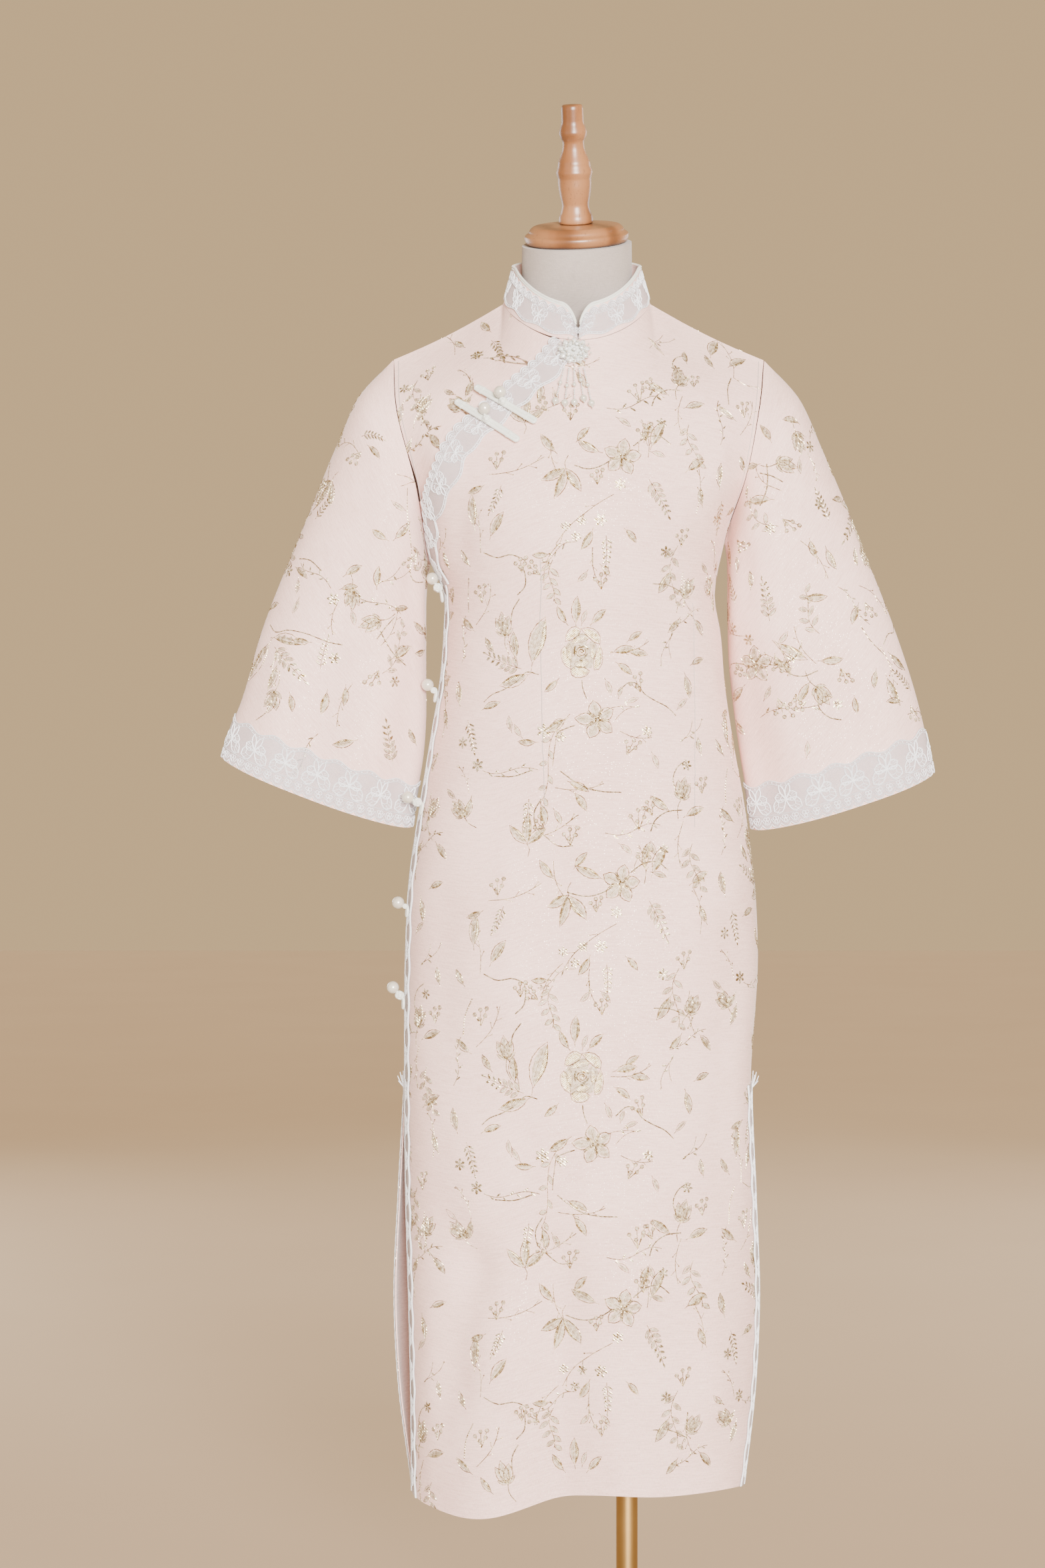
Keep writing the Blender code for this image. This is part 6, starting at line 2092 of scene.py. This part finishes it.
def build_motifs():
    """The repeat over the front, the underlap, the back and both sleeves."""
    front = carrier("front")
    x, z = FRONT_MIDDLE
    row, column, _ = front.seen(x, z)
    flat_u, flat_v = front.u[int(row), int(column)], front.v[int(row), int(column)]
    top_rows = placket_height(PANEL_COLUMNS)
    placket_rows = (top_rows - ARMPIT) / (SHOULDER - ARMPIT) * (YOKE_COUNT - 1) + LOWER_COUNT
    placed = spread(front, x, z, (-1, 0, 1), (-3, -2, -1, 0, 1), seen=(x - flat_u, z - flat_v))

    last_column = len(PANEL_COLUMNS) - 1

    def above_hem(row, size):
        return row * ROW_STEP > size * 0.0003

    def on_front(row, column, size):
        edge = np.interp(column, np.arange(len(placket_rows)), placket_rows)
        below = column >= PLACKET_COLUMN * last_column or row < edge - (3 + size * 0.06)
        return inside(front, row, column) and below and above_hem(row, size)

    def on_underlap(row, column, size):
        edge = np.interp(column, np.arange(len(placket_rows)), placket_rows)
        top = len(front.points) - 1 - size * 0.05
        return column < UNDERLAP_END * last_column - 2 and edge + 1 + size * 0.06 < row < top

    cloth_motifs("front", front, placed, on_front)
    cloth_motifs("underlap", front, placed, on_underlap)
    back = carrier("back")
    middle = last_column // 2
    v = back.v[int(np.argmin(np.abs(back.points[:, middle, 2] - BACK_HEIGHT))), middle]
    cloth_motifs("back", back, spread(back, BACK_MIDDLE, v, (-1, 0, 1), (-3, -2, -1, 0, 1), mirror=-1),
                 lambda row, column, size: inside(back, row, column) and above_hem(row, size))
    for side, origin in SLEEVE_MIDDLE.items():
        sleeve = carrier(f"sleeve_{side}")

        def on_sleeve(row, column, size):
            above_lace = 5 < row < CUFF_LACE_START * SLEEVE_ROWS - size * 0.12
            return inside(sleeve, row, column) and above_lace

        cloth_motifs(f"sleeve_{side}", sleeve, spread(sleeve, *origin, (-2, -1, 0, 1, 2), (-2, -1, 0, 1)),
                     on_sleeve)


# Fastenings

FROG_HALF = 0.00185
FROG_CORD = 0.0020
FROG_STEPS = 40
KNOT_RADIUS = 0.0041
KNOT_TURNS = (
    # tilt and spin in degrees of each turn of cord round a knot
    (0, 0), (62, 0), (62, 120), (62, 240), (88, 60),
)


def node_points(name):
    """Corner points of one solid of the frame."""
    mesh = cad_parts[name].data
    points = np.empty(len(mesh.vertices) * 3, np.float32)
    mesh.vertices.foreach_get("co", points)
    return points.reshape(-1, 3).astype(float)


def node_path(name, stations):
    """Middle line of a long solid, from one end to the other."""
    points = node_points(name)
    middle = points.mean(axis=0)
    axis = np.linalg.svd(points - middle, full_matrices=False)[2][0]
    axis = axis if axis[0] > 0 else -axis
    share = (points - middle) @ axis
    edges = np.linspace(share.min(), share.max() + 1e-9, stations + 1)
    path = [points[(share >= low) & (share < high)] for low, high in zip(edges, edges[1:])]
    return np.array([group.mean(axis=0) for group in path if len(group)])


def node_middle(name):
    """Middle of the box of one solid."""
    low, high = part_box(name)
    return (np.array(low) + np.array(high)) / 2


def silk_knot(batch, centre, facing, radius):
    """A button knot: a soft ball wrapped round with cord."""
    turn = np.array(Vector(facing).to_track_quat("Z", "Y").to_matrix())
    ball(batch, centre, radius * 0.86, 18, 12)
    angle = turns(22)
    ring = np.stack((np.cos(angle), np.sin(angle), 0.16 * np.sin(3 * angle)), 1)
    for tilt, spin in KNOT_TURNS:
        tip = Matrix.Rotation(math.radians(spin), 3, "Z") @ Matrix.Rotation(math.radians(tilt), 3, "X")
        tip = np.array(tip)
        path = centre + (ring @ tip.T @ turn.T) * radius * 0.80
        tube(batch, path, radius * 0.27, 6, guide=path - centre, closed=True)


def build_frogs():
    """Both chest fastenings: a doubled satin cord with wraps, a knot in its loop and a pearl."""
    facing = np.array(CHEST_FACING)
    for number in (1, 2):
        line = spline(node_path(f"frog_cord_{number}", 6), FROG_STEPS)
        along = run_of(line)
        side = unit(np.cross(along, facing))
        start, end = line[0] - along[0] * 0.0020, line[-1] + along[-1] * 0.0020
        bend = np.linspace(0.5, math.pi - 0.5, 5)[:, None]
        head = end + side[-1] * FROG_HALF * np.cos(bend) + along[-1] * 0.0012 * np.sin(bend)
        foot = start - side[0] * FROG_HALF * np.cos(bend) - along[0] * 0.0012 * np.sin(bend)
        path = np.concatenate((line + side * FROG_HALF, head, (line - side * FROG_HALF)[::-1], foot))
        batch = Batch()
        tube(batch, path, FROG_CORD, sides=12, guide=facing, thin=0.78, closed=True)
        turn = turns(20)
        for place in (0.10, 0.90):
            step = int(place * (FROG_STEPS - 1))
            at, run = line[step], along[step]
            out = np.cross(run, side[step])
            for shift in (-0.0006, 0.0006):
                ring = (at + run * shift + side[0] * (FROG_HALF + FROG_CORD * 1.04) * np.cos(turn)[:, None]
                        + out * 0.0019 * np.sin(turn)[:, None])
                tube(batch, ring, 0.00042, sides=5, guide=run, closed=True)
        settle(batch.piece(f"frog_bar_{number}", ["satin_cord"]), "satin_cord", [f"frog_cord_{number}"])
        pearl_at = node_middle(f"frog_pearl_{number}")
        nearest_point = line[int(np.argmin(np.linalg.norm(line - pearl_at, axis=1)))]
        middle = FROG_STEPS // 2
        knot_at = nearest_point + along[middle] * 0.0058 + unit(facing) * 0.0026
        knot = Batch()
        silk_knot(knot, knot_at, facing, KNOT_RADIUS)
        loop = [pearl_at + (knot_at - pearl_at) * t + side[middle] * 0.0014 * math.sin(math.pi * t)
                for t in np.linspace(0.35, 0.9, 7)]
        tube(knot, spline(loop, 14), 0.0013, guide=facing)
        settle(knot.piece(f"frog_knot_{number}", ["satin_cord"]), "satin_cord")
        build_pearl(f"frog_bead_{number}", f"frog_pearl_{number}", 40, 24)


def build_pearl(name, node, sides, rings):
    """The round pearl in the place of one solid."""
    pearl = Batch()
    ball(pearl, node_middle(node), PEARL_RADIUS, sides, rings)
    settle(pearl.piece(name, ["pearl"]), "pearl", [node])


def build_side_buttons():
    """The five buttons down the side: a cord with a loop, one or two knots and a pearl."""
    for number, (column, base_z, pearl_x, pearl_z) in enumerate(SIDE_BUTTONS, 1):
        out = outward("front", column, base_z)
        lift = LACE_LIFT + 0.0010 + SEAM + CORD_RADIUS * 1.2
        foot = body("front", column, base_z) + out * lift
        tail = body("front", column, base_z - 0.006) + out * lift
        pearl_at = node_middle(f"side_pearl_{number}")
        shift = pearl_at - np.array((pearl_x, foot[1] - 0.0015, pearl_z))
        foot, tail = foot + shift, tail + shift
        toward = pearl_at - foot
        reach = np.linalg.norm(toward)
        toward /= reach
        neck = pearl_at - toward * (PEARL_RADIUS - 0.0004)
        batch = Batch()
        path = spline([tail, tail * 0.4 + foot * 0.6, foot, foot * 0.5 + neck * 0.5, neck], 26)
        loop_side = unit(np.cross(toward, out))
        tube(batch, path, 0.0015, sides=10, guide=loop_side)
        angle = turns(26)[:, None]
        ring = (tail + (foot - tail) * 0.35 + loop_side * 0.0030 * np.cos(angle)
                + unit(tail - foot) * 0.0048 * np.sin(angle))
        tube(batch, ring, 0.0014, guide=out, closed=True)
        room = max(reach - PEARL_RADIUS, 0.004)
        knots = 2 if room > 0.0110 else 1
        for k in range(knots):
            share = (k + 0.55) / knots
            size = min(0.0046, room / (1.6 * knots))
            silk_knot(batch, foot + toward * room * share, toward, size)
        settle(batch.piece(f"side_knot_{number}", ["satin_cord"]), "satin_cord", [f"side_cord_{number}"])
        build_pearl(f"side_bead_{number}", f"side_pearl_{number}", 36, 22)


# Brooch

BROOCH_TOP = 1.3575
BROOCH_RINGS = (
    # petals, distance from the middle, length, width, height, turn and lean in degrees
    (9, 0.0128, 0.0074, 0.0052, 0.0006, 0, -14), (7, 0.0080, 0.0062, 0.0046, 0.0024, 20, -24),
    (1, 0.0, 0.0050, 0.0050, 0.0040, 0, 0),
)
BROOCH_OVAL = 0.88
BROOCH_DISC = ((0, -0.0022), (0.0125, -0.0022), (0.0135, -0.0012), (0.0120, 0.0), (0, 0.0004))
BEAD_RINGS = 6
BEAD_THICK = 0.0036
SEED_PITCH = 0.00185
MID_PEARL = 0.0021
MID_SHARES = (0.46, 0.52, 0.50, 0.42, 0.50)
END_PEARL = 0.0034
END_CAP = ((0, -0.0014), (0.0011, 0.0006), (0.0007, 0.0012), (0, 0.0014))
TASSEL_DROP = 0.0195


def drop_bead(batch, matrix, length, width):
    """A cut drop bead, longer outwards, lying in the plane of the brooch."""
    profile = [(0.0, -0.5)]
    for k in range(1, BEAD_RINGS):
        profile.append((math.sin(math.pi * k / BEAD_RINGS) ** 0.8 * 0.5, k / BEAD_RINGS - 0.5))
    profile.append((0.0, 0.5))
    scale = Matrix.Diagonal((width, BEAD_THICK, length, 1))
    turned(batch, profile, 10, matrix @ Matrix.Rotation(math.radians(-90), 4, "X") @ scale)


def build_rosette():
    """The brooch's flower: three rings of drop beads on a disc, with seed beads between them."""
    facing = Vector(CHEST_FACING).to_track_quat("Z", "Y").to_matrix().to_4x4()
    oval = Matrix.Diagonal((1, BROOCH_OVAL, 1, 1))
    place = Matrix.Translation(node_middle("brooch_rosette")) @ facing @ oval
    petals = Batch()
    seeds = []
    for count, distance, length, width, height, degrees, lean in BROOCH_RINGS:
        for k in range(count):
            angle = 2 * math.pi * k / count + math.radians(degrees)
            at = Matrix.Rotation(-angle, 4, "Z") @ Matrix.Translation((0, distance, height))
            drop_bead(petals, place @ at @ Matrix.Rotation(math.radians(lean), 4, "X"), length, width)
            if count == 1:
                continue
            between = (
                # distance from the middle, share of the step to the next petal, height
                (distance + length * 0.46, 0.5, 0.0), (distance - 0.0006, 0.5, 0.0016),
                (distance + length * 0.30, 0.0, 0.0020),
            )
            for radius, share, lift in between:
                turn = angle + 2 * math.pi / count * share
                seed = Vector((radius * math.sin(turn), radius * math.cos(turn), height + lift))
                seeds.append(tuple(place @ seed))
    turned(petals, rounded(BROOCH_DISC, 0.0005), 40, place)
    settle(petals.piece("brooch_flower", ["crystal"], 30), "crystal", ["brooch_rosette"])
    beads("brooch_seeds", seeds, CHEST_FACING, (1.0, 0.0, 0.0), "pearl", 1.0, 0.12)


def build_tassel():
    """The brooch's tassel: five strings of seed beads, each with a pearl halfway and one at its end."""
    lift = 2 * LACE_LIFT + 0.0010 + 0.0030
    starts = [above(x, BROOCH_TOP - TASSEL_DROP, lift) for x in TASSEL_TOPS]
    ends = [above(x, z, lift + 0.0012) for x, z in TASSEL_PEARLS]
    inward = -unit(np.array(CHEST_FACING))
    own = min(end[1] for end in ends) - END_PEARL
    shift = inward * ((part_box("brooch_tassel")[0][1] - own) / inward[1])
    pearls = Batch()
    spots = []
    for start, end, share in zip(starts, ends, MID_SHARES):
        start = start + shift + UP * 0.004
        bottom = end + shift - UP * 0.0024
        length = np.linalg.norm(bottom - start)
        run = (bottom - start) / length
        for k in range(int((length - END_PEARL) / SEED_PITCH)):
            distance = (k + 0.5) * SEED_PITCH
            if abs(distance - share * length) > MID_PEARL * 1.2:
                spots.append(start + run * distance)
        ball(pearls, start + run * share * length, MID_PEARL, 20, 12)
        ball(pearls, bottom, END_PEARL, 28, 16)
        turned(pearls, END_CAP, 10, Matrix.Translation(bottom + run * (END_PEARL + 0.0008)))
    settle(pearls.piece("tassel_pearls", ["pearl"]), "crystal", ["brooch_tassel"])
    beads("tassel_seeds", spots, (0.0, -1.0, 0.0), (0.0, 0.0, 1.0), "crystal", 0.78, 0.1)


def beads(name, spots, up, run, finish, size, change):
    """Seed beads at many places as one piece."""
    spots = np.array(spots)
    bead = small_shape("seed_bead", draw_bead)
    ups, runs = np.broadcast_to(up, spots.shape), np.broadcast_to(run, spots.shape)
    settle(repeat(name, spots, ups, runs, bead, finish, size, change), "crystal")


def draw_bead(batch):
    """One tiny glass bead."""
    ball(batch, (0, 0, 0), 0.00115, 8, 6, stretch=(0.85, 1, 1))


def build_fastenings():
    """The frogs, the side buttons and the brooch with its tassel."""
    build_frogs()
    build_side_buttons()
    build_rosette()
    build_tassel()


# Seam lines coloured with painted shade, loose lace ends, and the flat sizes of the cut pieces of cloth

SEAM_LINE = 0.0005
SEAM_STEPS = 60
TUFT_THREADS = (
    # reach outwards, rise, step backwards
    (0.0060, 0.0130, 0.0010), (0.0085, 0.0090, 0.0030), (0.0040, 0.0105, -0.0030),
    (0.0075, 0.0045, -0.0015), (0.0030, 0.0140, 0.0035),
)


def build_seams():
    """Fine sewn lines of the waist darts and the armholes; their dark grey-pink is painted shade of the seam
    creases.
    """
    sunk = np.full(SEAM_STEPS, SUNK)
    for side in ("front", "back"):
        cloth = carrier(side)
        batch = Batch()
        for dart in DARTS[side]:
            rows, columns = np.array([cloth.seen(x, z)[:2] for x, z in spline(dart, SEAM_STEPS)]).T
            tube(batch, cloth.at(rows, smoothed(columns, 7), sunk)[0], SEAM_LINE, sides=5)
        for column in (1.6, len(PANEL_COLUMNS) - 2.6):
            rows = np.linspace(LOWER_COUNT + 2, len(cloth.points) - 2, SEAM_STEPS)
            tube(batch, cloth.at(rows, np.full(SEAM_STEPS, column), sunk)[0], SEAM_LINE, sides=5)
        # The seam lines' dark colour is painted shade of the creases along them.
        settle(batch.piece(f"{side}_seams", ["seam_thread"]), "cloth")


def build_tufts():
    """Loose ends of the slit laces, turned up above both slits."""
    batch = Batch()
    for side, column in ((-1, 0.0), (1, 1.0)):
        foot = body("front", np.array([column]), np.array([SLIT_TOP - 0.003]))[0]
        for reach, rise, back in TUFT_THREADS:
            path = foot + np.array(((0, 0, -0.004), (side * reach * 0.7, back * 0.4, rise * 0.4),
                                    (side * reach, back, rise)))
            tube(batch, spline(path, 9), 0.0008 * np.linspace(1.0, 0.55, 9), sides=6)
    settle(batch.piece("slit_tufts", ["lace_thread"]), "lace")


def flat_size(points, ring=False):
    """Width, length and area of a piece of cloth before it was sewn, from its surface."""
    if ring:
        points = np.concatenate((points, points[:, :1]), axis=1)
    across, up = np.diff(points, axis=1), np.diff(points, axis=0)
    width = np.linalg.norm(across, axis=2).sum(axis=1).max()
    length = np.linalg.norm(up, axis=2).sum(axis=0).max()
    area = np.linalg.norm(np.cross(across[:-1], up[:, :-1]), axis=2).sum()
    return (float(width), float(length)), float(min(area, 0.999 * width * length))


def declare_cloth():
    """Works out each cut piece's flat size and area and finds the pieces sewn on it; the results are not
    used.
    """
    columns, under = underlap_grid()
    front = panel_heights(placket_height(PANEL_COLUMNS))
    cuts = (
        # piece, points of its outside, worn round the form, rests on, pieces on it
        ("front_cloth", body("front", np.broadcast_to(PANEL_COLUMNS, front.shape), front), False,
         ["torso_linen"], ["front_motifs", "front_seams"]),
        ("underlap_cloth", body("front", np.broadcast_to(columns, under.shape), under), False,
         ["torso_linen"], ["underlap_motifs"]),
        ("back_cloth", carrier("back").points, False, ["torso_linen"], ["back_motifs", "back_seams"]),
        ("sleeve_cloth_right", carrier("sleeve_right").points, True, ["front_cloth", "back_cloth"],
         ["sleeve_right_motifs"]),
        ("sleeve_cloth_left", carrier("sleeve_left").points, True, ["front_cloth", "back_cloth"],
         ["sleeve_left_motifs"]),
        ("collar_cloth", carrier("collar").points, False, ["front_cloth", "back_cloth"], ["collar_piping"]),
    )
    for name, points, ring, rests_on, sewn_on in cuts:
        flat, area = flat_size(points, ring)
        held = "stretched" if name == "collar_cloth" else "hung"
        sewn = [bpy.data.objects[piece] for piece in sewn_on if piece in bpy.data.objects]
        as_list(rests_on)


# Stage

FLOOR_REACH = 14.0
KEY_FROM = (0.5, -3.0, 0.30)
KEY_SOFTNESS = math.radians(22)
KEY_COLOUR = (1.0, 0.97, 0.95)
LAMPS = (
    # name, place, aimed at, width, height, power, colour
    ("fill", (-3.4, -2.6, 1.4), (0, 0, 0.8), 2.0, 2.4, 20, (0.78, 0.87, 1.0)),
    ("back_left", (-2.6, 3.4, 2.0), (0, 0, 0.85), 2.0, 2.0, 55, (0.98, 0.98, 1.0)),
    ("back_right", (2.6, 3.4, 2.0), (0, 0, 0.85), 2.0, 2.0, 45, (0.96, 0.97, 1.0)),
)
CAMERA_X = -0.054
CAMERA_Z = 0.941
CAMERA_DISTANCE = 3.0
SENSOR_WIDTH = 36.0
VIEW_HEIGHT = 1.562


def build_stage():
    """Plain pale floor, soft studio light and the camera."""
    look = bpy.context.scene.dress_looks
    mesh = bpy.data.meshes.new("floor")
    corners = [(x * FLOOR_REACH, y * FLOOR_REACH, 0) for x, y in ((-1, -1), (1, -1), (1, 1), (-1, 1))]
    mesh.from_pydata(corners, [], [(0, 1, 2, 3)])
    mesh.materials.append(material("floor_paper"))
    shown("floor", mesh)

    world = bpy.data.worlds.new("studio")
    world.use_nodes = True
    bpy.context.scene.world = world
    sky = world.node_tree.nodes["Background"]
    sky.inputs["Color"].default_value = look.room_colour
    sky.inputs["Strength"].default_value = look.room_light

    sun = bpy.data.lights.new("key", "SUN")
    sun.energy = look.key_light
    sun.angle = KEY_SOFTNESS
    sun.color = KEY_COLOUR
    shown("key", sun).rotation_euler = aimed(KEY_FROM, (0, 0, 0))

    for name, place, aim, width, height, power, colour in LAMPS:
        lamp = bpy.data.lights.new(name, "AREA")
        lamp.shape = "RECTANGLE"
        lamp.size, lamp.size_y = width, height
        lamp.energy = power
        lamp.color = colour
        made = shown(name, lamp)
        made.location = place
        made.rotation_euler = aimed(place, aim)

    camera = bpy.data.cameras.new("camera")
    camera.sensor_width = SENSOR_WIDTH
    camera.lens = SENSOR_WIDTH * CAMERA_DISTANCE / VIEW_HEIGHT
    placed = shown("camera", camera)
    placed.location = (CAMERA_X, -CAMERA_DISTANCE, CAMERA_Z)
    placed.rotation_euler = (math.radians(90), 0, 0)
    bpy.context.scene.camera = placed


def aimed(place, aim):
    """Turn of a lamp that looks from one place at another."""
    return (Vector(aim) - Vector(place)).to_track_quat("-Z", "Y").to_euler()


# Settings, operators and panel

def colour_setting(name, description, default):
    """A colour among the settings."""
    return bpy.props.FloatVectorProperty(name=name, description=description, default=default, size=4,
                                         subtype="COLOR", min=0.0, max=1.0)


class DressLooks(bpy.types.PropertyGroup):
    cloth_colour: colour_setting("Cloth", "Lit colour of the woven cloth", tint(255, 219, 209))
    cloth_shade: colour_setting("Cloth shade", "Deeper colour between the threads", tint(220, 181, 170))
    thread_colour: colour_setting("Metal thread", "Bright colour of the woven motifs", tint(240, 225, 190))
    thread_shade: colour_setting("Metal thread shade", "Deep colour of the motifs", tint(164, 142, 104))
    floor_colour: colour_setting("Floor", "Colour of the floor paper", tint(218, 200, 174))
    floor_shade: colour_setting("Floor shade", "Cloudy part of the floor paper", tint(211, 192, 166))
    room_colour: colour_setting("Room", "Colour of the room and of its even light", tint(240, 203, 152))
    fleck_scale: bpy.props.FloatProperty(name="Fleck scale", default=520.0, min=50.0, max=2000.0,
                                         description="Metal flecks per metre of cloth")
    key_light: bpy.props.FloatProperty(name="Key light", default=10.6, min=0.0, max=30.0,
                                       description="Strength of the soft light from the front")
    room_light: bpy.props.FloatProperty(name="Room light", default=0.84, min=0.0, max=5.0,
                                        description="Strength of the even light from all round")


class StageOperator(bpy.types.Operator):
    """Make the floor, the lights and the camera"""
    bl_idname = "dress.stage"
    bl_label = "Stage"

    def execute(self, context):
        build_stage()
        return {"FINISHED"}


class FormOperator(bpy.types.Operator):
    """Make the padded form with its wooden cap and brass stand"""
    bl_idname = "dress.form"
    bl_label = "Dress form"

    def execute(self, context):
        build_form()
        return {"FINISHED"}


class PanelsOperator(bpy.types.Operator):
    """Make the front, the underlap and the back"""
    bl_idname = "dress.panels"
    bl_label = "Body panels"

    def execute(self, context):
        build_panels()
        return {"FINISHED"}


class SleevesOperator(bpy.types.Operator):
    """Make both bell sleeves"""
    bl_idname = "dress.sleeves"
    bl_label = "Sleeves"

    def execute(self, context):
        for side in ("right", "left"):
            build_sleeve(side)
        return {"FINISHED"}


class CollarOperator(bpy.types.Operator):
    """Make the stand collar and its piping"""
    bl_idname = "dress.collar"
    bl_label = "Collar"

    def execute(self, context):
        build_collar()
        return {"FINISHED"}


class LacesOperator(bpy.types.Operator):
    """Make every lace edging"""
    bl_idname = "dress.laces"
    bl_label = "Lace edgings"

    def execute(self, context):
        build_laces()
        return {"FINISHED"}


class MotifsOperator(bpy.types.Operator):
    """Lay the woven flowers and leaves over the cloth"""
    bl_idname = "dress.motifs"
    bl_label = "Woven motifs"

    def execute(self, context):
        build_motifs()
        return {"FINISHED"}


class FasteningsOperator(bpy.types.Operator):
    """Make the frogs, the side buttons and the brooch"""
    bl_idname = "dress.fastenings"
    bl_label = "Fastenings and brooch"

    def execute(self, context):
        build_fastenings()
        return {"FINISHED"}


class SeamsOperator(bpy.types.Operator):
    """Sew the dart and armhole seam lines, coloured with painted shade, turn up the lace ends and work out
    the flat sizes of the cloth
    """
    bl_idname = "dress.seams"
    bl_label = "Seams"

    def execute(self, context):
        build_seams()
        build_tufts()
        declare_cloth()
        return {"FINISHED"}


OPERATORS = (StageOperator, FormOperator, PanelsOperator, SleevesOperator, CollarOperator, LacesOperator,
             MotifsOperator, FasteningsOperator, SeamsOperator)


class DressPanel(bpy.types.Panel):
    """Settings and steps of the dress"""
    bl_idname = "VIEW3D_PT_dress"
    bl_label = "Dress"
    bl_space_type = "VIEW_3D"
    bl_region_type = "UI"
    bl_category = "Dress"

    def draw(self, context):
        looks = context.scene.dress_looks
        for name in DressLooks.__annotations__:
            self.layout.prop(looks, name)
        for operator in OPERATORS:
            self.layout.operator(operator.bl_idname)


CLASSES = (DressLooks, *OPERATORS, DressPanel)


def register():
    for made in CLASSES:
        bpy.utils.register_class(made)
    bpy.types.Scene.dress_looks = bpy.props.PointerProperty(type=DressLooks)


def unregister():
    del bpy.types.Scene.dress_looks
    for made in reversed(CLASSES):
        bpy.utils.unregister_class(made)


def main():
    """Runs every step."""
    register()
    for operator in OPERATORS:
        group, name = operator.bl_idname.split(".")
        getattr(getattr(bpy.ops, group), name)()


if __name__ == "__main__":
    main()
